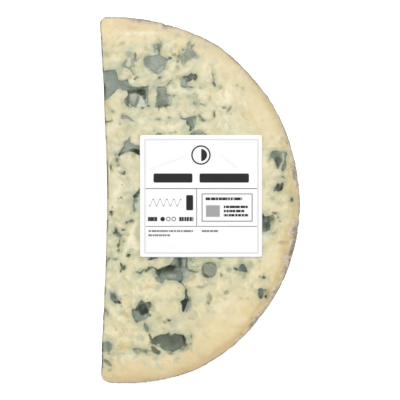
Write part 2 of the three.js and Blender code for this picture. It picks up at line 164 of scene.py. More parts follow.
    ("fly", 10.66, -24.73, 0.72, 0.65, 0, 2, 0, 0, 0.76, 0.3, 0.8),
    ("fly", 15.77, -27.68, 0.43, 0.58, 20, 2, 0, 0, 0.76, 0.3, 0.8),
    ("fly", 18.07, -22.79, 0.5, 0.43, 0, 2, 0, 0, 0.8, 0.3, 0.6),
    ("fly", 18.43, -24.08, 0.43, 0.43, 0, 2, 0, 0, 0.82, 0.3, 0.6),
    ("edge_lab", 7.34, -20.92, 1.01, 0.32, 3, 2, 0, 0, 0.62, 0.5, 0.7),
    ("edge_lab", 6.62, -23.22, 0.43, 0.94, 0, 2, 0, 0, 0.8, 0.3, 0.6),
    ("bird_b", -27.58, -10.55, 0.72, 0.32, 0, 2, 0, 0, 0.36, 0.8, 0.4),
    ("bird_b", -32.11, -12.35, 0.5, 0.36, 0, 2, 0, 0, 0.84, 0.3, 0.6),
    ("wing_dot", 31.32, 20.92, 0.32, 0.5, 20, 2, 0, 0, 0.74, 0.3, 1),
    ("wing_dot", 30.02, 22, 0.36, 0.36, 0, 2, 0, 0, 0.84, 0.2, 1),
    ("spot", 10.94, 33.52, 0.43, 0.29, 30, 2, 0, 0, 0.6, 0.3, 0.7),
    ("spot", 9.72, 32, 0.36, 0.29, 40, 2, 0, 0, 0.78, 0.2, 0.7),
    ("spot", 13.28, 41.54, 0.47, 0.36, 0, 2, 0, 0, 0.84, 0.15, 1),
    ("spot", 15.19, 40.43, 0.58, 0.36, -40, 2, 0, 0, 0.86, 0.15, 1),
    ("spot", -27.22, 9.97, 0.47, 0.72, -10, 2, 0, 0, 0.34, 0.8, 0.6),
    ("spot", -25.42, 52.74, 0.94, 1.22, 20, 2, 0, 0, 0.74, 0.3, 0.2),
    ("spot", -24.48, 50.58, 0.58, 0.86, 0, 2, 0, 0, 0.7, 0.3, 0.2),
    ("spot", -24.7, 48.28, 0.58, 0.43, 0, 2, 0, 0, 0.66, 0.3, 0.4),
    ("spot", -6.98, 52.96, 0.94, 0.58, -30, 2, 0, 0, 0.8, 0.2, 0.4),
    ("spot", 22.82, -27.04, 0.29, 0.5, 0, 2, 0, 0, 0.72, 0.3, 0.8),
    ("spot", 3.1, -36.9, 0.5, 0.72, 0, 2, 0, 0, 0.6, 0.6, 0.9),
    ("spot", -3.46, -21.64, 0.4, 0.32, 0, 2, 0, 0, 0.5, 0.5, 0.3),
    ("spot", -28.3, -35.68, 0.36, 0.29, 0, 2, 0, 0, 0.7, 0.2, 0.8),
    ("spot", -6.3, -30.06, 0.86, 0.32, -48, 2, 0, 0, 0.48, 0.6, 0.85),
    ("spot", -5.51, -31.14, 0.65, 0.29, -62, 2, 0, 0, 0.6, 0.5, 0.95),
    ("spot", 25.92, -5.72, 0.76, 0.61, 10, 2, 0, 0, 0.42, 0.8, 0.8),
    ("spot", 26.5, -6.8, 0.47, 0.9, 0, 2, 0, 0, 0.55, 0.6, 0.95),
    ("spot", 25.99, -8.1, 0.43, 0.61, 0, 2, 0, 0, 0.6, 0.5, 0.8),
    ("spot", 25.52, -6.88, 0.32, 0.86, 0, 2, 0, 0, 0.62, 0.5, 0.4),
    ("spot", 0.79, 29.92, 0.54, 0.36, -20, 2, 0, 0, 0.62, 0.3, 1),
    ("spot", -5.98, -53.32, 0.79, 0.43, 28, 2, 0, 0, 0.52, 0.4, 1),
    ("spot", -7.27, -54.18, 0.5, 0.32, 10, 2, 0, 0, 0.7, 0.3, 1),
    ("spot", -4.68, -52.74, 0.36, 0.5, 0, 2, 0, 0, 0.62, 0.3, 1),
    ("spot", -11.52, -54.54, 0.65, 0.32, -6, 2, 0, 0, 0.62, 0.3, 1),
    ("spot", -17.64, -37.91, 0.32, 0.79, -8, 2, 0, 0, 0.62, 0.4, 1),
    ("spot", -4.61, -24.16, 0.43, 0.61, 10, 2, 0, 0, 0.28, 0.7, 0.4),
    ("spot", -4.07, -25.02, 0.5, 0.36, -38, 2, 0, 0, 0.36, 0.7, 0.6),
    ("spot", -2.74, -26.96, 1.15, 0.68, -30, 2, 0, 0, 0.84, 0.4, 0.9),
    ("spot", -5.69, -29.05, 0.54, 0.61, 0, 2, 0, 0, 0.74, 0.4, 0.9),
    ("spot", 4.1, -35.24, 0.36, 1.15, -12, 2, 0, 0, 0.66, 0.4, 1),
    ("spot", -16.49, -54.47, 0.58, 0.36, -20, 2, 0, 0, 0.36, 0.6, 0.8),
    ("spot", -22.75, 1.62, 0.5, 0.83, 0, 2, 0, 0, 0.24, 0.8, 0.2),
    ("spot", -30.89, -11.63, 0.61, 0.4, -28, 2, 0, 0, 0.26, 0.8, 0.7),
    ("spot", -29.59, -12.49, 0.86, 0.43, -38, 2, 0, 0, 0.42, 0.7, 0.1),
    ("spot", -30.6, -10.04, 0.29, 0.58, 0, 2, 0, 0, 0.4, 0.6, 0.6),
    ("spot", -30.24, 16.67, 0.54, 0.61, 0, 2, 0, 0, 0.62, 0.5, 0.3),
    ("spot", 25.45, -6.8, 0.54, 1.22, -10, 2, 0, 0, 0.34, 0.8, 0.7),
    ("spot", 24.7, -10.26, 0.54, 0.68, 0, 2, 0, 0, 0.36, 0.8, 0.3),
    ("spot", 25.06, -8.68, 0.43, 0.79, 0, 2, 0, 0, 0.3, 0.8, 0.3),
    ("spot", 22.82, -27.86, 0.61, 0.36, -6, 2, 0, 0, 0.22, 0.9, 0.9),
    ("spot", 26.71, -4.57, 0.43, 0.29, 0, 2, 0, 0, 0.36, 0.7, 0.9),
    ("spot", 22.82, -5.94, 0.29, 0.86, 0, 2, 0, 0, 0.14, 0.8, 0.3),
    ("spot", -34.7, 39.06, 0.22, 1.22, 0, 2, 0, 0, 0.22, 0.6, 0.2),
    ("spot", -5.04, -51.88, 0.94, 0.65, 28, 2, 0, 0, 0.26, 0.6, 0.95),
    ("spot", -17.93, -21.13, 1.01, 0.32, -6, 2, 0, 0, 0.24, 0.8, 0.2),
    ("spot", -9.36, 24.52, 1.15, 0.29, 0, 2, 0, 0, 0.76, 0.3, 0.9),
    ("spot", -3.1, -25.09, 0.54, 0.29, -20, 2, 0, 0, 0.34, 0.6, 0.6),
    ("spot", -33.41, -21.78, 0.61, 0.36, 0, 2, 0, 0, 0.6, 0.5, 0.4),
    ("spot", 30.38, 8.1, 0.43, 0.36, -30, 2, 0, 0, 0.64, 0.5, 0.9),
    ("spot", -17.57, -51.16, 0.36, 0.68, 0, 2, 0, 0, 0.52, 0.5, 0.5),
    ("spot", -33.84, -57.92, 0.79, 0.68, -36, 2, 0, 0, 0.46, 0.5, 1),
    ("spot", -32.83, -54.9, 0.32, 0.58, -10, 2, 0, 0, 0.64, 0.5, 0.6),
    ("spot", -18.72, -24.23, 0.54, 0.29, 40, 2, 0, 0, 0.4, 0.7, 0.8),
    ("spot", -19.44, -24.95, 0.58, 0.32, 30, 2, 0, 0, 0.34, 0.7, 0.7),
    ("spot", -16.2, 53.82, 0.5, 0.94, 0, 2, 0, 0, 0.78, 0.4, 0.6),
    ("spot", -16.78, -54.32, 0.61, 0.43, -34, 2, 0, 0, 0.28, 0.7, 0.7),
    ("spot", -25.06, 47.84, 0.61, 0.43, -30, 2, 0, 0, 0.6, 0.4, 0.2),
    ("spot", -16.34, 41.08, 0.79, 0.54, 0, 2, 0, 0, 0.78, 0.3, 0.2),
    ("spot", 23.62, -33.23, 0.5, 0.86, 0, 2, 0, 0, 0.62, 0.3, 1),
    ("spot", -14.04, 33.52, 0.83, 0.29, 0, 2, 0, 0, 0.6, 0.4, 0.3),
    ("spot", -32.4, -4.93, 0.47, 0.43, 0, 2, 0, 0, 0.56, 0.5, 0.9),
    ("spot", -19.94, -42.95, 0.79, 0.32, 30, 2, 0, 0, 0.66, 0.4, 0.5),
    ("spot", -27.72, -12.13, 0.5, 0.36, -10, 2, 0, 0, 0.74, 0.4, 0.3),
    ("spot", -4.32, 27.25, 0.54, 0.36, -10, 2, 0, 0, 0.4, 0.5, 0.3),
    ("spot", -19.37, -53.96, 0.58, 0.4, -20, 2, 0, 0, 0.46, 0.5, 0.8),
]
# The larger openings, by their outline in mm: name, tone, depth, olive, softness of the edge, outline
CAVES = [
    ("pocket", 0.52, 1.2, 0.2, 0.3,
        [(-16.92, 55.76), (-16.34, 56.27), (-15.3, 56.48), (-14.4, 56.92), (-13.68, 56.56), (-13.61, 55.62), (-14.11, 54.54),
          (-14.51, 53.46), (-14.9, 52.88), (-15.26, 53.96), (-15.84, 54.61), (-16.7, 54.9)]),
    ("heart", 0.66, 2.2, 0, 0.28,
        [(-20.52, 50.58), (-20.09, 51.44), (-18.9, 52.02), (-16.92, 52.24), (-15.55, 52.52), (-14.9, 53.1), (-14.18, 52.52),
          (-13.32, 51.88), (-12.1, 51.23), (-11.38, 50.8), (-11.81, 49.86), (-12.38, 48.71), (-12.67, 47.48), (-13.54, 46.69),
          (-14.47, 45.97), (-15.12, 45.32), (-16.06, 45.76), (-17.28, 46.48), (-18.36, 47.48), (-19.44, 48.31), (-20.16, 49.28)]),
    ("left_b", 0.59, 0.9, 0.15, 0.26,
        [(-28.44, 48.71), (-27.79, 49.79), (-26.64, 50.65), (-26.21, 50.22), (-26.71, 49), (-25.99, 48.2), (-24.98, 47.63),
          (-25.42, 47.05), (-26.78, 47.7), (-28.01, 47.99)]),
    ("lake", 0.51, 2.6, 0, 0.2,
        [(-36, 46.62), (-34.56, 46.55), (-33.48, 46.91), (-32.04, 46.98), (-30.74, 47.2), (-30.02, 46.26), (-29.74, 44.82), (-29.3, 43.74),
          (-28.3, 43.06), (-27, 43.38), (-26.14, 43.81), (-25.7, 42.88), (-25.56, 42.01), (-24.62, 41.22), (-23.11, 40.97), (-21.67, 40.93),
          (-20.38, 40.97), (-19.3, 41.22), (-18.43, 41.36), (-18.61, 39.78), (-18.65, 37.98), (-18.58, 36.54), (-18.58, 35.32),
          (-19.22, 34.74), (-19.58, 33.66), (-20.52, 33.23), (-21.82, 33.44), (-23.11, 33.52), (-24.12, 33.8), (-24.84, 33.59),
          (-25.56, 33.66), (-26.42, 34.16), (-27.07, 35.03), (-27.29, 35.96), (-27.04, 36.68), (-26.35, 37.33), (-25.99, 38.48),
          (-26.14, 39.35), (-27.07, 39.64), (-28.08, 39.85), (-28.8, 40.14), (-29.88, 40.07), (-30.6, 39.2), (-31.46, 38.34),
          (-32.26, 37.48), (-33.12, 36.61), (-34.2, 35.96), (-36.36, 35.82)]),
    ("square", 0.62, 2.2, 0.05, 0.36,
        [(-15.7, 39.78), (-15.41, 40.79), (-14.4, 41.08), (-12.96, 41.15), (-12.17, 40.72), (-12.1, 39.78), (-11.95, 38.63),
          (-11.09, 38.12), (-10.3, 37.84), (-9.22, 38.12), (-8.86, 37.62), (-9.5, 37.12), (-10.15, 36.32), (-10.3, 35.32), (-10.15, 34.31),
          (-10.94, 34.09), (-11.45, 34.38), (-11.81, 33.8), (-12.02, 32.87), (-12.53, 33.44), (-13.39, 33.88), (-14.26, 33.66),
          (-14.62, 32.72), (-15.05, 32.44), (-15.19, 33.3), (-16.13, 33.52), (-16.06, 34.6), (-15.55, 35.82), (-15.77, 37.26),
          (-15.48, 38.56)]),
    ("shore", 0.63, 1.5, 0.2, 0.34,
        [(-4.46, 56.56), (-3.96, 57.35), (-3.31, 56.92), (-3.1, 55.98), (-2.66, 54.76), (-1.94, 53.46), (-1.15, 52.38), (-0.58, 51.59),
          (-1.3, 51.16), (-2.52, 51.37), (-3.6, 50.87), (-4.54, 50.15), (-5.33, 49.28), (-6.12, 48.71), (-6.77, 49.14), (-6.91, 50.22),
          (-6.91, 51.44), (-6.48, 52.52), (-5.76, 53.32), (-5.18, 54.18), (-4.68, 55.19)]),
    ("bow", 0.26, 2.6, 0, 0.18,
        [(-6.12, 43.6), (-6.34, 44.39), (-5.62, 44.82), (-4.68, 44.82), (-4.03, 45.18), (-3.46, 45.76), (-2.81, 45.83), (-2.38, 45.4),
          (-1.8, 45.76), (-1.22, 45.25), (-0.94, 44.39), (-1.22, 43.6), (-1.8, 43.16), (-2.23, 43.31), (-2.52, 43.74), (-3.02, 43.24),
          (-3.82, 42.95), (-4.54, 42.66), (-5.26, 43.02)]),
    ("bow_low", 0.72, 1.6, 0.05, 0.26,
        [(-6.84, 44.1), (-6.34, 44.53), (-5.69, 44.1), (-5.04, 43.24), (-4.68, 42.3), (-4.18, 41.44), (-3.38, 41.08), (-2.45, 40.93),
          (-2.45, 40.5), (-3.6, 40.36), (-5.04, 40.43), (-6.26, 40.72), (-6.98, 41.51), (-6.91, 42.52), (-7.2, 43.38)]),
    ("funnel", 0.57, 2, 0.05, 0.24,
        [(-7.34, 30.85), (-6.77, 30.06), (-5.98, 29.63), (-5.04, 29.7), (-3.96, 29.99), (-2.88, 30.28), (-1.94, 30.35), (-1.37, 30.35),
          (-1.37, 29.56), (-1.44, 28.62), (-1.73, 27.4), (-2.09, 26.32), (-2.59, 25.52), (-3.24, 24.88), (-3.74, 25.09), (-3.6, 25.88),
          (-3.74, 26.68), (-4.32, 27.25), (-4.9, 27.9), (-4.97, 28.76), (-5.76, 29.05), (-6.77, 29.41)]),
    ("sill", 1.1, 1.8, 0, 0.26,
        [(-3.38, 22.5), (-3.31, 24.37), (-2.52, 25.02), (-1.22, 25.38), (0, 25.52), (0.79, 25.02), (1.58, 24.3), (2.66, 23.58),
          (2.88, 22.5)]),
    ("crescent", 0.58, 0.9, 0, 0.22,
        [(-28.37, 29.41), (-28.3, 30.35), (-27.72, 30.85), (-26.64, 30.78), (-25.63, 30.13), (-24.7, 29.56), (-23.9, 28.62),
          (-24.19, 28.19), (-25.06, 28.76), (-25.92, 29.27), (-26.86, 29.41), (-27.72, 29.2)]),
    ("star", 0.62, 2.2, 0, 0.28,
        [(-29.45, 15.8), (-29.52, 16.74), (-29.02, 17.53), (-28.3, 18.4), (-27.72, 19.26), (-27.58, 20.34), (-27.22, 21.13),
          (-26.64, 21.71), (-26.14, 21.85), (-25.7, 22.64), (-25.42, 22.72), (-25.2, 21.78), (-25.06, 20.99), (-24.34, 20.63),
          (-23.4, 20.12), (-22.32, 19.84), (-21.24, 19.48), (-19.94, 18.54), (-19.8, 16.09), (-21.24, 16.02), (-22.18, 16.38),
          (-23.33, 17.1), (-24.7, 17.53), (-26.06, 17.39), (-27.14, 17.1), (-28.22, 16.6), (-28.87, 16.02)]),
    ("hook", 0.11, 2.4, 0.1, 0.2,
        [(-20.88, 4.86), (-20.88, 3.06), (-21.74, 2.48), (-22.32, 1.98), (-22.82, 1.26), (-23.47, 0.54), (-23.98, 1.04), (-24.19, 1.76),
          (-23.62, 2.12), (-23.04, 2.84), (-22.39, 3.64), (-21.6, 4.5)]),
    ("hook_low", 0.54, 1, 0.1, 0.28,
        [(-23.98, 0.68), (-22.82, 0.68), (-22.32, -0.04), (-22.75, -1.04), (-23.54, -1.4), (-23.47, -2.41), (-22.97, -3.28),
          (-23.18, -4.14), (-23.83, -4.57), (-24.05, -3.42), (-24.19, -1.98), (-24.05, -0.54)]),
    ("tri_q", 0.14, 1.2, 0.5, 0.2,
        [(-32.83, -4.21), (-32.11, -3.78), (-31.39, -3.64), (-31.46, -4.86), (-31.68, -5.87), (-32.04, -5.29), (-32.33, -4.72)]),
    ("bird", 0.4, 1.4, 0.1, 0.22,
        [(-30.82, -9.32), (-30.38, -9.9), (-29.88, -10.04), (-29.74, -10.98), (-29.16, -11.63), (-28.44, -12.13), (-27.72, -12.35),
          (-28.22, -12.85), (-28.58, -13.64), (-29.02, -13.36), (-29.52, -12.64), (-30.24, -12.13), (-31.25, -12.06), (-30.82, -11.34),
          (-30.6, -10.4)]),
    ("shard", 0.21, 1.3, 0.2, 0.2,
        [(-28.87, -22.5), (-28.44, -22.36), (-28.08, -23), (-27.58, -23.58), (-26.78, -23.44), (-26.78, -24.52), (-27.14, -25.16),
          (-27.86, -25.09), (-28.22, -25.31), (-28.66, -25.96), (-28.87, -25.96), (-28.51, -24.88), (-28.37, -23.94), (-28.73, -23.22)]),
    ("under_w", 0.18, 1.5, 0.1, 0.2,
        [(-18.86, -20.27), (-18, -20.92), (-17.42, -21.42), (-16.78, -21.13), (-15.84, -20.99), (-15.05, -20.48), (-15.48, -19.76),
          (-18.36, -19.76)]),
    ("arm", 0.72, 0.9, 0.2, 0.36,
        [(-18.22, -23.65), (-17.42, -24.01), (-16.63, -24.8), (-15.91, -25.6), (-15.55, -26.82), (-15.19, -28.04), (-14.69, -29.12),
          (-15.19, -29.63), (-16.06, -28.62), (-16.63, -27.32), (-17.06, -25.96), (-17.86, -24.66)]),
    ("basin_r", 0.53, 0.6, 0.15, 0.6,
        [(-6.7, -24.01), (-5.62, -23.72), (-4.75, -23.94), (-3.96, -24.8), (-3.46, -25.88), (-3.89, -27.18), (-4.68, -28.12),
          (-5.69, -28.69), (-6.12, -27.54), (-6.48, -26.24), (-6.84, -25.02)]),
    ("basin", 0.43, 2.6, 0, 0.2,
        [(-16.24, -24.88), (-14.98, -24.73), (-13.68, -24.16), (-12.24, -23.58), (-11.09, -23.15), (-10.37, -22.5), (-9.79, -21.71),
          (-9.36, -20.77), (-9.22, -19.26), (-4.68, -19.26), (-4.5, -20.92), (-4.57, -22.5), (-4.68, -23.8), (-5.54, -24.37),
          (-6.41, -24.52), (-6.62, -25.38), (-6.41, -26.39), (-6.05, -27.54), (-5.8, -28.62), (-6.34, -29.27), (-6.98, -29.84),
          (-7.7, -29.56), (-8.5, -28.98), (-10.08, -28.91), (-11.52, -28.55), (-12.53, -28.4), (-13.1, -28.98), (-13.46, -29.84),
          (-14.4, -29.7), (-14.62, -28.98), (-14.8, -28.26), (-15.05, -27.25), (-15.88, -26.03)]),
    ("disc", 0.57, 1.9, 0.4, 0.28,
        [(3.06, -22.21), (4.32, -22.28), (5.54, -22.93), (6.12, -24.23), (5.98, -25.74), (5.26, -27.04), (4.18, -27.68), (2.74, -27.83),
          (1.58, -27.47), (0.79, -26.32), (0.58, -25.02), (0.79, -23.72), (1.66, -22.64)]),
    ("fly", 0.24, 1.8, 0.1, 0.28,
        [(13.68, -24.44), (14.18, -23.72), (14.62, -23), (15.34, -22.72), (16.06, -23), (16.42, -23.8), (16.92, -24.66), (17.14, -25.6),
          (16.56, -26.1), (15.84, -25.88), (15.12, -25.6), (14.4, -25.6), (13.82, -25.24)]),
    ("fly_l", 0.29, 1.2, 0.2, 0.28,
        [(11.88, -24.23), (12.6, -24.01), (13.39, -24.37), (13.75, -24.88), (13.32, -25.31), (12.6, -25.31), (12.17, -24.8)]),
    ("bean", 0.28, 1.9, 0.25, 0.28,
        [(20.88, -32.08), (21.6, -31.57), (22.54, -31.72), (23, -32.58), (23.04, -33.88), (22.61, -34.88), (21.96, -35.46),
          (21.31, -35.24), (21.02, -34.38), (20.95, -33.3)]),
    ("wedge", 0.55, 1.7, 0, 0.28,
        [(-32.54, -33.08), (-31.68, -33.16), (-30.74, -33.3), (-30.17, -33.88), (-29.81, -35.03), (-29.3, -35.96), (-28.51, -36.47),
          (-28.44, -37.19), (-29.3, -37.26), (-30.24, -37.12), (-31.03, -36.9), (-31.68, -36.32), (-32.11, -35.46), (-32.47, -34.38)]),
    ("pent", 0.46, 2.6, 0, 0.26,
        [(-24.48, -38.99), (-23.76, -39.13), (-23.26, -39.06), (-22.82, -38.12), (-22.18, -37.04), (-21.74, -36.25), (-20.81, -35.96),
          (-20.09, -36.5), (-19.37, -36.9), (-18.65, -36.47), (-17.93, -36.54), (-17.57, -37.26), (-17.78, -38.12), (-18.22, -38.99),
          (-18.43, -40), (-18.4, -40.86), (-17.86, -41.18), (-17.78, -41.72), (-18.72, -41.72), (-19.08, -42.3), (-19.8, -42.88),
          (-20.88, -43.16), (-21.74, -43.6), (-22.68, -44.1), (-23.26, -43.74), (-23.62, -43.02), (-24.12, -42.16), (-24.48, -41.08),
          (-24.62, -39.92)]),
    ("slot_r", 0.51, 0.8, 0.1, 0.55,
        [(-4.54, -34.45), (-3.74, -34.81), (-3.24, -35.82), (-3.17, -37.26), (-3.53, -38.7), (-4.25, -39.85), (-5.33, -40.36),
          (-5.54, -39.06), (-5.26, -37.62), (-4.61, -36.4)]),
    ("slot", 0, 2.6, 0.1, 0.24,
        [(-5.18, -31.64), (-4.72, -32), (-4.64, -33.3), (-4.5, -34.38), (-4.14, -35.17), (-4.07, -35.96), (-4.5, -36.86), (-4.93, -37.76),
          (-5.29, -38.77), (-5.62, -39.92), (-6.05, -40.43), (-6.52, -39.49), (-6.59, -38.12), (-7.02, -36.76), (-6.77, -36.11),
          (-5.76, -35.46), (-5.47, -34.6), (-5.54, -33.3)]),
    ("sliver", 0.34, 1.1, 0.7, 0.24,
        [(-19.87, -43.74), (-19.37, -44.46), (-18.65, -45.54), (-18.29, -46.62), (-18.72, -47.56), (-19.22, -47.48), (-19.8, -46.48),
          (-20.38, -45.4), (-20.45, -44.6)]),
    ("pond", 0.27, 3, 0.05, 0.3,
        [(-17.5, -50.8), (-17.28, -50), (-16.56, -49.28), (-15.48, -48.71), (-14.04, -48.28), (-12.24, -48.06), (-11.16, -47.7),
          (-10.73, -48.28), (-10.22, -48.56), (-9.5, -48.28), (-9.07, -47.7), (-8.57, -48.06), (-7.92, -48.06), (-6.84, -48.13),
          (-5.9, -48.42), (-5.26, -49.14), (-4.97, -50.22), (-5.18, -51.3), (-5.54, -52.09), (-6.41, -52.6), (-6.98, -53.32),
          (-7.92, -53.82), (-8.78, -54.18), (-9.72, -54.61), (-10.8, -54.25), (-12.24, -54.04), (-12.96, -53.89), (-13.9, -53.24),
          (-14.83, -52.6), (-15.91, -52.16), (-16.85, -51.98), (-17.35, -51.66)]),
    ("leech", 0.16, 1.5, 0.5, 0.3,
        [(-17.57, -52.52), (-16.7, -52.38), (-15.91, -52.96), (-15.34, -53.68), (-14.54, -54.04), (-14.18, -54.76), (-14.62, -55.48),
          (-15.48, -55.62), (-16.34, -55.12), (-16.99, -54.32), (-17.5, -53.46)]),
    ("ribbon", 0.56, 1, 0.8, 0.28,
        [(-24.19, -53.82), (-23.98, -53.03), (-23.04, -53.17), (-21.6, -53.46), (-20.52, -53.68), (-19.08, -53.89), (-17.21, -53.82),
          (-17.21, -54.25), (-18.72, -54.61), (-18.86, -55.26), (-19.37, -55.48), (-19.8, -54.83), (-20.88, -54.61), (-21.74, -54.68),
          (-22.1, -55.26), (-22.75, -55.4), (-23.47, -54.76)]),
    ("edge_a", 0.48, 1.4, 0.25, 0.55,
        [(-36.36, -51.52), (-35.28, -51.16), (-34.2, -50.72), (-33.12, -50.72), (-32.11, -51.3), (-31.54, -52.24), (-31.68, -53.32),
          (-32.18, -54.11), (-32.62, -54.9), (-33.26, -55.04), (-33.7, -54.4), (-34.56, -54.61), (-35.42, -55.12), (-36.36, -55.19)]),
    ("wing", 0.41, 2.2, 0.35, 0.2,
        [(25.06, 14.8), (24.98, 16.02), (25.31, 16.74), (25.99, 17.57), (27, 17.93), (28.08, 17.86), (29.16, 17.64), (30.24, 17.68),
          (31.03, 17.39), (31.46, 16.52), (30.96, 15.73), (30.89, 14.94), (30.96, 13.86), (31.07, 12.56), (30.67, 11.48), (30.02, 10.48),
          (29.3, 10.91), (28.87, 11.63), (28.44, 11.34), (27.86, 11.48), (27.29, 12.56), (26.93, 13.64), (26.42, 14.72), (25.78, 15.3),
          (25.34, 14.65)]),
    ("blot", 0.19, 2.2, 0.1, 0.28,
        [(26.57, 4.28), (27.29, 5.22), (27.65, 5.94), (28.44, 6.23), (28.87, 5.65), (29.16, 6.37), (29.95, 6.59), (30.17, 5.72),
          (29.88, 4.5), (29.38, 3.56), (28.44, 3.28), (27.36, 3.35), (26.64, 3.28)]),
    ("knot", 0.25, 2.2, 0.1, 0.32,
        [(21.6, -5.08), (23.04, -5.58), (23.98, -5.72), (24.77, -5.44), (25.42, -6.16), (25.45, -7.38), (25.27, -8.82), (25.13, -10.19),
          (24.34, -10.98), (23.4, -11.34), (22.46, -11.2), (21.6, -10.98)]),
]
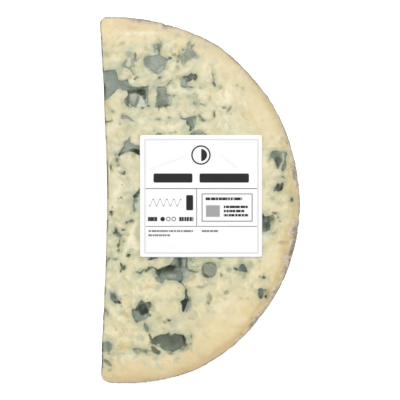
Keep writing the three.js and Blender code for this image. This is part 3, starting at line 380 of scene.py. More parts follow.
# Painted shade and light inside them, some with a change of mould colour: x, y, half length, half width, turn, tone,
# olive (below 0 keeps it), softness
SHADING_TINTS = [
    (-16.13, 55.51, 0.79, 0.65, 0, 0.7, -1, 0.36),
    (-14.83, 54.68, 1.66, 0.32, 95, 0.32, 0.3, 0.29),
    (-14.26, 56.56, 0.58, 0.43, 0, 0.71, 0.3, 0.29),
    (-19.08, 50.29, 1.44, 1.66, 0, 0.49, -1, 0.86),
    (-18.18, 51.8, 1.98, 0.43, 0, 0.64, 0.1, 0.43),
    (-13.97, 47.34, 1.44, 0.79, 32, 0.83, -1, 0.36),
    (-14.26, 48.2, 2.16, 0.2, 37, 0.54, -1, 0.22),
    (-11.74, 50.87, 0.58, 0.36, 0, 0.53, 0.1, 0.36),
    (-15.48, 50.58, 1.62, 1.44, 0, 0.71, -1, 1.08),
    (-12.82, 47.63, 0.25, 0.43, 0, 0.46, 0.4, 0.22),
    (-16.49, 46.4, 1.3, 0.22, -33, 0.5, -1, 0.22),
    (-32.94, 44.82, 1.98, 1.8, 0, 0.51, -1, 1.08),
    (-32.94, 40.32, 1.8, 2.34, 0, 0.57, -1, 1.26),
    (-34.49, 39.06, 0.32, 2.88, 0, -0.1, 0.1, 0.36),
    (-34.42, 44.82, 0.29, 1.44, 0, 0.57, 0.1, 0.36),
    (-31.46, 38.56, 1.3, 0.32, 42, 0.3, -1, 0.32),
    (-27.36, 41.94, 2.16, 1.44, -20, 0.59, -1, 0.9),
    (-23.69, 39.35, 2.38, 0.65, -3, 0.18, -1, 0.5),
    (-21.38, 39.42, 1.51, 0.86, 0, 0.04, -1, 0.5),
    (-20.02, 38.34, 0.65, 1.8, 8, 0.19, -1, 0.43),
    (-19.08, 36.36, 0.36, 1.8, -6, 0.86, -1, 0.36),
    (-25.92, 35.46, 0.61, 1.51, 0, 0.32, 0.1, 0.4),
    (-25.7, 37.26, 0.32, 1.58, 0, 0.28, -1, 0.29),
    (-26.5, 34.02, 0.72, 0.43, -20, 0.14, 0.3, 0.36),
    (-19.01, 35.17, 0.36, 0.43, 0, 0.67, 0.2, 0.22),
    (-14.9, 37.98, 0.65, 2.7, 0, 0.37, -1, 0.58),
    (-13.75, 40.28, 1.66, 0.65, 0, 0.67, -1, 0.58),
    (-12.6, 37.04, 1.01, 1.51, 0, 0.6, -1, 0.65),
    (-10.37, 36.9, 0.94, 1.01, 0, 1.08, 0.1, 0.36),
    (-10.73, 35.24, 0.43, 1.08, 0, 1.09, 0.2, 0.29),
    (-12.96, 34.24, 2.16, 0.5, 4, 0.21, -1, 0.43),
    (-15.48, 33.88, 0.79, 0.43, 0, 0.4, -1, 0.36),
    (-13.68, 35.46, 1.44, 0.94, 0, 0.4, -1, 0.58),
    (-3.85, 55.4, 0.68, 1.08, 0, 0.81, -1, 0.5),
    (-3.89, 56.92, 0.47, 0.36, 0, 0.8, 0.2, 0.25),
    (-5.18, 51.3, 1.3, 1.3, 0, 0.55, 0.5, 0.79),
    (-2.66, 52.52, 1.01, 0.94, 0, 0.57, 0.1, 0.58),
    (-1.3, 51.66, 0.58, 0.36, 0, 0.9, 0.5, 0.29),
    (-5.76, 49.43, 0.72, 0.5, 0, 0.72, 0.3, 0.36),
    (-6.12, 51.95, 0.43, 1.15, 0, 0.69, 0.4, 0.36),
    (-4.18, 53.82, 0.72, 0.72, 0, 0.62, 0.2, 0.54),
    (-5.4, 43.96, 0.72, 0.86, 0, 0.49, 0.1, 0.5),
    (-2.7, 44.75, 1.51, 0.79, -6, 0.34, -1, 0.5),
    (-4.46, 42.95, 0.94, 0.32, 20, 0.27, -1, 0.29),
    (-5.69, 42.44, 0.79, 0.94, 0, 0.76, 0, 0.5),
    (-5.9, 41, 1.08, 0.36, 0, 0.42, 0.1, 0.29),
    (-3.31, 40.72, 0.86, 0.25, 0, 0.44, 0.3, 0.25),
    (-6.62, 43.6, 0.36, 0.65, 0, 0.8, -1, 0.29),
    (-4.46, 27.9, 0.4, 1.08, 35, 0.17, 0.1, 0.32),
    (-3.46, 26.03, 0.32, 1.08, -10, 0.12, 0.2, 0.29),
    (-2.74, 26.82, 0.65, 1.15, 12, 0.49, -1, 0.5),
    (-5.98, 29.41, 1.08, 0.32, -14, 0.45, 0.2, 0.29),
    (-3.31, 28.76, 1.22, 1.01, 0, 0.44, -1, 0.58),
    (-0.72, 24.16, 1.87, 0.65, 0, 0.69, -1, 0.5),
    (-0.36, 25.24, 1.44, 0.25, 0, 1.15, -1, 0.22),
    (-2.52, 23.72, 1.08, 0.58, 0, 0.36, -1, 0.43),
    (-26.86, 30.06, 1.01, 0.43, 0, 0.58, 0, 0.36),
    (-28.15, 29.92, 0.25, 0.58, 0, 0.56, -1, 0.18),
    (-24.48, 28.91, 0.65, 0.29, -40, 0.55, -1, 0.25),
    (-27.14, 20.48, 0.29, 1.15, -8, 0.59, -1, 0.29),
    (-28.08, 18.32, 1.22, 0.29, 50, 0.41, -1, 0.29),
    (-28.08, 17.03, 1.37, 0.4, 16, 0.26, -1, 0.32),
    (-29.23, 16.45, 0.43, 0.58, 0, 0.14, 0.1, 0.29),
    (-22.54, 17.39, 2.74, 0.9, -14, -0.1, 0, 0.25),
    (-25.06, 18.04, 1.08, 0.5, 0, 0.46, -1, 0.43),
    (-22.5, 19.33, 1.51, 0.58, -14, 0.63, -1, 0.5),
    (-22.46, 2.92, 1.01, 0.36, 50, 0.34, -1, 0.29),
    (-23.54, 1.55, 0.58, 0.58, 0, 0.14, -1, 0.29),
    (-23.33, -0.04, 0.65, 0.58, 0, 0.41, -1, 0.36),
    (-23.83, -2.56, 0.32, 1.15, 0, 0.32, 0.2, 0.29),
    (-30.31, -10.98, 0.5, 0.94, 0, 0.1, 0.1, 0.36),
    (-28.94, -12.56, 0.86, 0.58, -35, 0.37, 0, 0.43),
    (-28.44, -23.22, 0.36, 0.65, -15, -0.1, 0.2, 0.25),
    (-27.36, -24.37, 0.58, 0.65, 0, 0.19, 0, 0.36),
    (-28.44, -25.38, 0.32, 0.58, 20, 0.18, 0.8, 0.22),
    (-11.16, -25.96, 3.06, 1.01, 6, 0.26, 0, 0.79),
    (-13.39, -25.02, 2.45, 0.9, 14, 0.12, 0, 0.36),
    (-10.51, -24.01, 1.73, 0.79, -4, 0.02, 0, 0.36),
    (-14.9, -26.68, 0.58, 1.66, -20, 0.11, 0, 0.36),
    (-9.58, -23, 0.72, 1.22, -22, 0.76, 0, 0.36),
    (-9, -21.78, 0.5, 1.3, -12, 0.55, 0, 0.36),
    (-7.27, -21.92, 0.68, 2.38, 0, 0.16, 0, 0.29),
    (-5.65, -22, 0.68, 2.02, 0, 0.72, 0, 0.32),
    (-4.82, -22.64, 0.29, 1.94, -4, 0.33, 0.1, 0.18),
    (-6.7, -26.6, 0.36, 1.66, -18, 0.41, 0, 0.29),
    (-10.08, -27.25, 1.73, 0.72, 0, 0.66, 0, 0.65),
    (-12.6, -27.68, 1.22, 0.79, 0, 0.5, 0, 0.65),
    (-14.04, -29.12, 0.65, 0.5, 0, 0.64, 0, 0.36),
    (-6.91, -29.41, 0.65, 0.43, 0, 0.16, 0.5, 0.32),
    (-14.98, -28.98, 0.32, 0.58, 0, 0.49, 0.1, 0.25),
    (3.46, -24.44, 1.66, 1.58, 0, 0.53, 0.5, 0.94),
    (1.8, -26.96, 1.44, 0.43, -28, 0.19, 0.3, 0.36),
    (1.01, -25.02, 0.32, 1.58, 0, 0.31, 0.3, 0.29),
    (3.78, -27.47, 1.22, 0.29, 6, 0.43, 0.3, 0.29),
    (4.5, -22.64, 1.3, 0.25, -20, 0.34, 0.3, 0.25),
    (16.49, -24.95, 0.47, 0.86, 20, 0.23, 0.1, 0.32),
    (14.98, -23.8, 0.65, 0.58, 0, 0.3, -1, 0.36),
    (14.26, -24.88, 0.5, 0.5, 0, 0.5, -1, 0.36),
    (12.96, -24.8, 0.43, 0.36, 0, 0.14, 0.1, 0.29),
    (21.96, -34.96, 0.65, 0.43, 0, 0.18, 0.3, 0.29),
    (21.2, -33.3, 0.25, 1.44, 0, 0.32, 0.3, 0.22),
    (22.18, -33.08, 0.61, 0.94, 0, 0.36, 0.3, 0.43),
    (-29.23, -36.68, 0.72, 0.43, -24, 0.1, 0.4, 0.29),
    (-30.6, -36.47, 0.65, 0.36, -20, 0.18, 0.2, 0.25),
    (-31.82, -34.24, 0.43, 0.86, -25, 0.29, 0.1, 0.29),
    (-30.89, -34.88, 0.65, 0.86, 0, 0.3, 0, 0.43),
    (-20.66, -38.84, 1.8, 1.66, -20, 0.14, 0, 0.32),
    (-19.66, -40, 1.08, 0.94, 0, 0.05, 0, 0.36),
    (-21.96, -39.2, 1.15, 0.58, 20, 0.09, 0, 0.32),
    (-22.68, -41.58, 1.22, 1.22, 0, 0.48, 0, 0.58),
    (-19.22, -41.72, 0.94, 0.72, 20, 0.72, 0.1, 0.43),
    (-18.14, -37.12, 0.58, 0.47, 0, 0.32, 0.3, 0.29),
    (-18, -38.48, 0.43, 0.79, 0, 0.24, 0.4, 0.32),
    (-21.1, -36.47, 0.58, 0.32, 0, 0.29, 0.1, 0.25),
    (-24.16, -39.92, 0.29, 1.01, 0, 0.36, 0.3, 0.22),
    (-22.9, -43.67, 0.65, 0.36, -10, 0.33, 0.1, 0.25),
    (-23.98, -42.08, 0.29, 0.94, -18, 0.33, 0.1, 0.22),
    (-5.08, -32.94, 0.32, 1.08, 0, 0.36, 0.95, 0.25),
    (-4.9, -34.88, 0.5, 0.58, 0, 0.36, 0.1, 0.36),
    (-19.3, -45.9, 0.54, 1.22, 20, 0.45, 0.2, 0.36),
    (-5.69, -50.58, 0.43, 2.16, 14, 0.06, 0.6, 0.29),
    (-14.4, -48.92, 2.88, 0.4, 10, 0.26, 0, 0.36),
    (-9, -50.8, 1.8, 1.37, 0, 0.22, 0.1, 0.79),
    (-11.3, -53.32, 1.8, 0.5, -8, 0.39, 0.1, 0.43),
    (-16.2, -50.72, 0.94, 0.94, 0, 0.27, 0, 0.54),
    (-10.73, -48.42, 0.5, 0.32, 0, 0.58, 0, 0.25),
    (-9.86, -54.18, 0.72, 0.29, 0, 0.28, 0.4, 0.25),
    (-7.7, -52.52, 1.08, 0.86, 20, 0.3, 0.15, 0.58),
    (-15.12, -55.04, 0.58, 0.4, 0, 0.25, 0.6, 0.25),
    (-16.7, -53.46, 0.43, 0.58, 0, 0.22, 0.1, 0.29),
    (-22.68, -54.47, 0.86, 0.5, 0, 0.8, 0.1, 0.36),
    (-21.02, -53.35, 3.24, 0.31, -1, 0.33, 0.95, 0.22),
    (-19.94, -54.68, 0.58, 0.36, 0, 0.61, 0.5, 0.29),
    (-23.76, -53.68, 0.32, 0.58, 0, 0.28, 0.4, 0.25),
    (-34.34, -53.1, 0.86, 1.15, 0, 0.57, 0.3, 0.5),
    (-32.62, -52.96, 0.72, 0.94, 0, 0.51, 0.1, 0.5),
    (-35.64, -53.46, 0.58, 1.08, 0, 0.29, 0.2, 0.36),
    (26.86, 16.81, 1.44, 1.08, -10, 0.43, 0.3, 0.58),
    (27.94, 14, 0.65, 1.66, 8, 0.11, 0, 0.5),
    (29.45, 13.64, 0.54, 1.73, -14, 0.64, 0, 0.32),
    (30.74, 13.64, 0.32, 1.8, 0, 0.58, 0.9, 0.29),
    (30.02, 16.02, 0.65, 0.58, 0, 0.59, 0.1, 0.32),
    (30.46, 17.03, 0.79, 0.36, 0, 0.52, 0.3, 0.29),
    (29.66, 11.27, 0.58, 0.47, 0, 0.42, 0.3, 0.29),
    (28.8, 16.16, 0.58, 1.08, 0, 0.45, 0, 0.43),
    (25.2, 15.52, 0.36, 0.79, -20, 0.82, 0, 0.29),
    (28.8, 5.15, 0.47, 0.58, 0, 0.27, 0.2, 0.29),
    (29.38, 4.21, 0.54, 0.58, 0, 0.06, 0, 0.29),
    (27.86, 5, 0.5, 0.72, 0, 0.16, 0, 0.32),
    (26.93, 3.92, 0.36, 0.58, 0, 0.62, 0.1, 0.29),
    (23.69, -7.16, 0.4, 0.79, 20, 0.48, 0, 0.29),
    (22.68, -6.66, 0.58, 1.44, 0, 0.27, 0, 0.36),
    (24.41, -9.18, 0.86, 1.3, 0, 0.17, 0, 0.43),
    (24.62, -6.52, 0.54, 0.86, 0, 0.22, 0, 0.36),
    (-26.86, 35.53, 0.47, 1.15, 0, 0.53, 0.3, 0.32),
    (-1.94, 28.26, 0.4, 1.44, 10, 0.86, -1, 0.32),
    (29.52, 17.39, 1.51, 0.68, -12, 0.75, 0.55, 0.47),
    (29.38, 15.66, 0.43, 0.72, 0, 0.62, 0.4, 0.32),
    (23.04, -10.76, 0.65, 0.58, 0, 0.62, 0.1, 0.43),
    (-18.5, -36.9, 0.79, 0.43, 0, 0.27, 0.8, 0.25),
    (-17.78, -37.84, 0.32, 0.72, 0, 0.22, 0.9, 0.22),
    (-33.05, -52.6, 0.68, 1.58, 0, 0.41, 0.2, 0.47),
    (-19.8, -54.4, 0.72, 0.54, 0, 0.41, 0.4, 0.32),
    (-23.04, -54.61, 0.54, 0.5, 0, 0.53, 0.2, 0.29),
    (-16.63, -53.1, 0.86, 0.58, -30, 0.32, 0.2, 0.29),
    (-15.12, -54.47, 0.86, 0.32, -20, 0.26, 0.4, 0.25),
    (-4.61, -26.24, 0.79, 1.22, -20, 0.79, 0, 0.43),
    (-31.68, -34.74, 0.58, 1.3, -14, 0.31, 0.1, 0.43),
    (-16.06, -54.4, 0.43, 0.36, 0, 0.28, 0.7, 0.25),
    (-5.76, -52.67, 0.79, 0.47, 30, -0.09, 0.7, 0.29),
    (-24.7, 38.92, 1.22, 0.32, 0, 0.2, -1, 0.25),
    (-25.13, 34.52, 0.54, 0.79, 0, 0.91, -1, 0.29),
    (-27.94, 41.65, 1.22, 0.65, -10, 0.48, -1, 0.5),
    (-21.02, 38.48, 0.79, 0.43, 20, 0.06, -1, 0.29),
    (-20.95, -40.72, 1.04, 0.68, -24, 0.08, 0, 0.29),
    (-22.9, -39.28, 0.58, 0.5, -30, 0.22, 0, 0.25),
    (-13.68, 33.8, 1.15, 0.29, 0, 0.12, -1, 0.22),
    (-11.38, 33.95, 0.36, 0.5, 0, 0.2, -1, 0.22),
    (-13.82, 35.1, 1.51, 0.94, 0, 0.39, 0.3, 0.5),
    (28.76, 14.58, 0.79, 1.15, 20, 0.26, -1, 0.36),
    (30.82, 14.22, 0.32, 2.16, 2, 0.43, 0.6, 0.25),
    (29.95, 11.34, 0.79, 0.5, -20, 0.42, 0.6, 0.29),
    (2.66, -22.5, 1.22, 0.32, 5, 0.34, 0.8, 0.22),
    (2.38, -27.68, 1.22, 0.36, -8, 0.23, 0.5, 0.22),
    (-3.6, -35.46, 0.43, 0.86, 0, 0.39, 0.7, 0.29),
    (-16.2, 24.66, 0.86, 0.43, 0, 1.04, -1, 0.22),
    (-15.12, -52.16, 0.65, 0.47, 0, 0.85, -1, 0.25),
    (-19.12, 38.56, 0.32, 1.15, 4, 0.72, -1, 0.25),
    (-25.2, 40.64, 1.15, 0.43, -10, 0.39, -1, 0.29),
    (-13.18, -24.16, 1.01, 0.29, 20, 0.3, -1, 0.18),
    (-11.02, -25.02, 1.8, 0.47, 2, 0.1, -1, 0.32),
    (-8.5, -24.16, 0.72, 0.32, -10, 0.2, -1, 0.22),
    (-10.08, -24.05, 1.01, 0.4, 8, 0.02, -1, 0.22),
    (-12.6, -23.87, 0.86, 0.25, 24, 0.5, -1, 0.14),
    (-9.72, -48.35, 0.65, 0.43, 0, 0.36, -1, 0.22),
    (-23.04, 38.7, 0.94, 0.29, 0, 0.16, -1, 0.18),
    (-9, -23.29, 0.58, 0.5, 10, 0.34, -1, 0.22),
]
# Curds that stand in the openings: name, tone, height, outline
CURDS = [
    ("curd_left", 0.8, 1.5,
        [(-25.6, 37.62), (-25.34, 38.34), (-24.48, 38.63), (-23.04, 38.56), (-22.32, 38.2), (-22.43, 37.04), (-22.9, 35.68),
          (-23.4, 34.52), (-24.19, 34.16), (-25.06, 34.45), (-25.56, 35.46), (-25.7, 36.61)]),
    ("curd_right", 1.18, 1.9,
        [(-21.89, 37.4), (-21.38, 37.76), (-20.66, 37.04), (-19.94, 35.96), (-19.48, 34.74), (-19.37, 33.73), (-20.23, 33.59),
          (-21.24, 33.52), (-22.03, 32.94), (-23.08, 32.94), (-22.72, 34.6), (-22.25, 36.04)]),
    ("ridge_wing", 0.96, 1.2,
        [(29.38, 16.45), (30.17, 16.81), (30.49, 15.88), (30.38, 14.36), (29.84, 12.85), (29.09, 11.56), (28.51, 11.34), (28.66, 12.42),
          (29.3, 13.72), (29.59, 15.08)]),
]
# Painted shade and light on the curds, in the same columns as the table above
CURD_SHADING_TINTS = [
    (-24.34, 35.24, 0.65, 0.79, 0, 0.52, -1, 0.43),
    (-23.9, 37.04, 0.22, 1.66, -6, 0.7, -1, 0.22),
    (-25.2, 36.9, 0.29, 1.22, 0, 0.6, -1, 0.25),
    (-23.76, 38.34, 1.08, 0.43, 0, 0.86, -1, 0.36),
    (-19.94, 35.1, 0.32, 1.3, -18, 0.92, -1, 0.25),
    (-21.82, 36.9, 0.25, 1.44, 10, 0.96, -1, 0.22),
]

# ------------------------------------------------------------------ noise
def _hash(i, j, k, seed):
    m = np.uint64(0xFFFFFFFF)
    i = (i & 0xFFFFFFFF).astype(np.uint64)
    j = (j & 0xFFFFFFFF).astype(np.uint64)
    k = (k & 0xFFFFFFFF).astype(np.uint64)
    h = (i * np.uint64(73856093)) ^ (j * np.uint64(19349663)) ^ (k * np.uint64(83492791)) ^ np.uint64(seed * 2654435761 & 0xFFFFFFFF)
    h &= m
    h ^= h >> np.uint64(16); h = (h * np.uint64(0x7FEB352D)) & m
    h ^= h >> np.uint64(15); h = (h * np.uint64(0x846CA68B)) & m
    h ^= h >> np.uint64(16)
    return h


def noise(p, size, seed):
    """Gradient noise, about -1 to 1, at points p (n, 3) in mm, with features of that size."""
    q = np.asarray(p, float) / size + seed * 17.37
    f0 = np.floor(q)
    i = f0.astype(np.int64)
    f = q - f0
    w = f * f * f * (f * (f * 6 - 15) + 10)
    out = np.zeros(len(q))
    for a in (0, 1):
        wa = w[:, 0] if a else 1 - w[:, 0]
        for b in (0, 1):
            wb = w[:, 1] if b else 1 - w[:, 1]
            for c in (0, 1):
                wc = w[:, 2] if c else 1 - w[:, 2]
                h = _hash(i[:, 0] + a, i[:, 1] + b, i[:, 2] + c, seed)
                gx = (h & np.uint64(1023)).astype(float) / 511.5 - 1
                gy = ((h >> np.uint64(10)) & np.uint64(1023)).astype(float) / 511.5 - 1
                gz = ((h >> np.uint64(20)) & np.uint64(1023)).astype(float) / 511.5 - 1
                out += wa * wb * wc * (gx * (f[:, 0] - a) + gy * (f[:, 1] - b) + gz * (f[:, 2] - c))
    return np.clip(out * 1.55, -1, 1)


def fbm(p, size, octaves, seed, fade=0.5):
    out, amp, total = 0.0, 1.0, 0.0
    for o in range(octaves):
        out = out + amp * noise(p, size / 2.03 ** o, seed + o)
        total += amp
        amp *= fade
    return out / total * 1.4


def cells(p, size, seed):
    """Distance to the nearest and second nearest scattered point, in cell sizes, and a number for the cell."""
    q = np.asarray(p, float) / size + seed * 3.1
    i = np.floor(q).astype(np.int64)
    best = np.full(len(q), 9.0)
    second = np.full(len(q), 9.0)
    kind = np.zeros(len(q))
    for a in (-1, 0, 1):
        for b in (-1, 0, 1):
            for c in (-1, 0, 1):
                n = i + np.array([a, b, c])
                h = _hash(n[:, 0], n[:, 1], n[:, 2], seed)
                pt = np.stack([(h & np.uint64(1023)).astype(float), ((h >> np.uint64(10)) & np.uint64(1023)).astype(float),
                               ((h >> np.uint64(20)) & np.uint64(1023)).astype(float)], 1) / 1023.0
                d = np.sqrt(((n + pt - q) ** 2).sum(1))
                near = d < best
                second = np.where(near, best, np.minimum(second, d))
                kind = np.where(near, (h >> np.uint64(7) & np.uint64(255)).astype(float) / 255, kind)
                best = np.where(near, d, best)
    return best, second, kind


def step(a, b, x):
    t = np.clip((x - a) / (b - a), 0, 1)
    return t * t * (3 - 2 * t)


def lerp(a, b, t):
    """Colour a to colour b, one row for each value of t."""
    t = np.clip(np.asarray(t, float), 0, 1)[:, None]
    return np.asarray(a, float) * (1 - t) + np.asarray(b, float) * t


# The same repeatable sequence as the solid's scattered openings.
class Sequence:
    def __init__(self, seed):
        self.s = (seed * 7919 + 12345) % 2147483647

    def __call__(self):
        self.s = (self.s * 48271) % 2147483647
        return self.s / 2147483647


# ------------------------------------------------------------------ outline
# The outline's small departures from that: at these degrees, by so many mm
TRIM_AT = [-90, -84, -80, -76, -72, -68, -64, -60, -56, -50, -44, -38, -30, -20, 0, 30, 40, 48, 52, 56, 62, 66, 72, 78, 84, 90]
TRIM = [-0.50, -0.33, -0.25, -0.09, 0.01, 0.17, 0.33, 0.09, -0.12, 0.02, -0.14, -0.01, 0.06, 0.12, 0.04, 0.16, -0.03, -0.06, 0.12, 0.36, 0.27, 0.21, 0.10, 0.15, 0.20, 0.30]


def rim_radius(deg):
    at = np.clip((np.asarray(deg, float) + 90) / 180, 0, 1) * (len(RIM_RADII) - 1)
    i = np.minimum(np.floor(at).astype(int), len(RIM_RADII) - 2)
    f = at - i
    r = np.array(RIM_RADII)
    pick = lambda k: r[np.clip(k, 0, len(r) - 1)]
    a, b, c, d = pick(i - 1), pick(i), pick(i + 1), pick(i + 2)
    return b + 0.5 * f * (c - a + f * (2 * a - 5 * b + 4 * c - d + f * (3 * (b - c) + d - a))) + np.interp(deg, TRIM_AT, TRIM)


def rim_point(deg):
    a = np.radians(deg)
    r = rim_radius(deg)
    return np.stack([WHEEL[0] + r * np.cos(a), WHEEL[1] + r * np.sin(a)], -1)


def cut_x(y):
    t = (np.asarray(y, float) - CUT_Y) / CUT_REACH
    return np.interp(y, [-66, -59, -52, -49, -45, -42, -39, -35, -28, -8, 0, 12, 18, 26, 38, 45, 54, 58, 62, 66],
                     [-0.28, 0.08, -0.24, -0.30, -0.10, -0.20, 0.02, -0.10, 0, 0, 0, -0.02, -0.06, -0.20, -0.22, -0.12, -0.18, -0.16, -0.26, 0.06]) + CUT_X - np.where(t > 0, CUT_TOP, CUT_LOW) * np.abs(t) ** 1.5


def rim_end(sign):
    lo, hi = 60.0, 100.0
    for _ in range(40):
        mid = (lo + hi) / 2
        p = rim_point(sign * mid)
        if p[0] > cut_x(p[1]):
            lo = mid
        else:
            hi = mid
    return sign * lo


def bezier(p, c, q, n):
    t = np.linspace(0, 1, n)[:, None]
    return p * (1 - t) ** 2 + 2 * c * t * (1 - t) + q * t * t


def outline(on_rind, on_cut):
    """Columns round the slice, counter-clockwise from the middle of the rind, with these spacings in mm.
    Returns the points, their outward normals and how much of each is rind."""
    low, top = rim_end(-1), rim_end(1)
    low_at, top_at = rim_point(low), rim_point(top)
    per_mm = 1 / (math.radians(1) * 67.5)
    a0, a1 = low + CORNER_LOW * per_mm, top - CORNER_TOP * per_mm
    arc = rim_point(np.linspace(a0, a1, 1800))
    top_cut = np.array([cut_x(top_at[1] - CORNER_TOP), top_at[1] - CORNER_TOP])
    low_cut = np.array([cut_x(low_at[1] + CORNER_LOW), low_at[1] + CORNER_LOW])
    ys = np.linspace(top_cut[1], low_cut[1], 1200)
    cut = np.stack([cut_x(ys), ys], 1)
    half = 900
    loop = np.concatenate([arc[half:], bezier(arc[-1], top_at, top_cut, 24)[1:-1], cut, bezier(low_cut, low_at, arc[0], 30)[1:-1], arc[:half]])
    closed = np.concatenate([loop, loop[:1]])
    length = np.concatenate([[0], np.cumsum(np.linalg.norm(np.diff(closed, axis=0), axis=1))])
    s = np.linspace(0, length[-1], 8001)
    x, y = np.interp(s, length, closed[:, 0]), np.interp(s, length, closed[:, 1])
    share = step(0.9, 0.12, rim_distance(x, y))
    density = np.concatenate([[0], np.cumsum((s[1] - s[0]) / (on_rind * share[1:] + on_cut * (1 - share[1:])))])
    n = int(round(density[-1]))
    at = np.interp(np.arange(n) * density[-1] / n, density, s)
    pts = np.stack([np.interp(at, s, x), np.interp(at, s, y)], 1)
    ahead = np.stack([np.interp((at + 0.15) % length[-1], s, x), np.interp((at + 0.15) % length[-1], s, y)], 1)
    behind = np.stack([np.interp((at - 0.15) % length[-1], s, x), np.interp((at - 0.15) % length[-1], s, y)], 1)
    along = ahead - behind
    along /= np.linalg.norm(along, axis=1)[:, None]
    normal = np.stack([along[:, 1], -along[:, 0]], 1)
    return pts, normal, step(0.9, 0.12, rim_distance(pts[:, 0], pts[:, 1]))


def rim_distance(x, y):
    """How far inside the rind arc a point lies, in mm."""
    dx, dy = x - WHEEL[0], y - WHEEL[1]
    return rim_radius(np.degrees(np.arctan2(dy, dx))) - np.hypot(dx, dy)


def inside_distance(x, y):
    return np.minimum(rim_distance(x, y), x - cut_x(y))


# ------------------------------------------------------------------ openings
def lobe_distance(x, y, lobe):
    """Signed distance in mm to a lobe's edge, negative inside."""
    X, Y, a, b, turn, e, taper, bend = lobe[:8]
    c, s = math.cos(turn), math.sin(turn)

    def radius(px, py):
        u = (px - X) * c + (py - Y) * s
        v = -(px - X) * s + (py - Y) * c
        v = v - bend * u * u / a
        bb = b * np.clip(1 - taper * u / a, 0.15, 2)
        return (np.abs(u / a) ** e + np.abs(v / bb) ** e + 1e-9) ** (1 / e)

    h = 0.02
    r = radius(x, y)
    g = np.hypot(radius(x + h, y) - r, radius(x, y + h) - r) / h
    return (r - 1) / np.maximum(g, 0.15)


class Outline:
    """A closed smooth line through given points, in mm."""

    def __init__(self, points, parts=3):
        p = np.array(points, float)
        before, after, far = np.roll(p, 1, 0), np.roll(p, -1, 0), np.roll(p, -2, 0)
        t = (np.arange(parts) / parts)[None, :, None]
        a, b, c, d = before[:, None], p[:, None], after[:, None], far[:, None]
        smooth = b + 0.5 * t * (c - a) + t ** 2 * (a - 2.5 * b + 2 * c - 0.5 * d) + t ** 3 * (-0.5 * a + 1.5 * b - 1.5 * c + 0.5 * d)
        self.line = smooth.reshape(-1, 2)
        q = np.roll(self.line, -1, 0)
        self.area = abs((self.line[:, 0] * q[:, 1] - q[:, 0] * self.line[:, 1]).sum()) / 2
        self.size = math.sqrt(self.area / math.pi)
        self.low, self.high = self.line.min(0), self.line.max(0)

    def close(self, x, y, reach):
        return np.nonzero((x > self.low[0] - reach) & (x < self.high[0] + reach) & (y > self.low[1] - reach) & (y < self.high[1] + reach))[0]

    def distance(self, x, y):
        """Signed distance in mm to the line, negative inside."""
        best = np.full(len(x), 1e9)
        inside = np.zeros(len(x), bool)
        for (ax, ay), (bx, by) in zip(self.line, np.roll(self.line, -1, 0)):
            ex, ey = bx - ax, by - ay
            px, py = x - ax, y - ay
            t = np.clip((px * ex + py * ey) / (ex * ex + ey * ey + 1e-12), 0, 1)
            best = np.minimum(best, (px - t * ex) ** 2 + (py - t * ey) ** 2)
            if ay != by:
                inside ^= ((ay > y) != (by > y)) & (px < ex * py / ey)
        return np.sqrt(best) * np.where(inside, -1, 1)


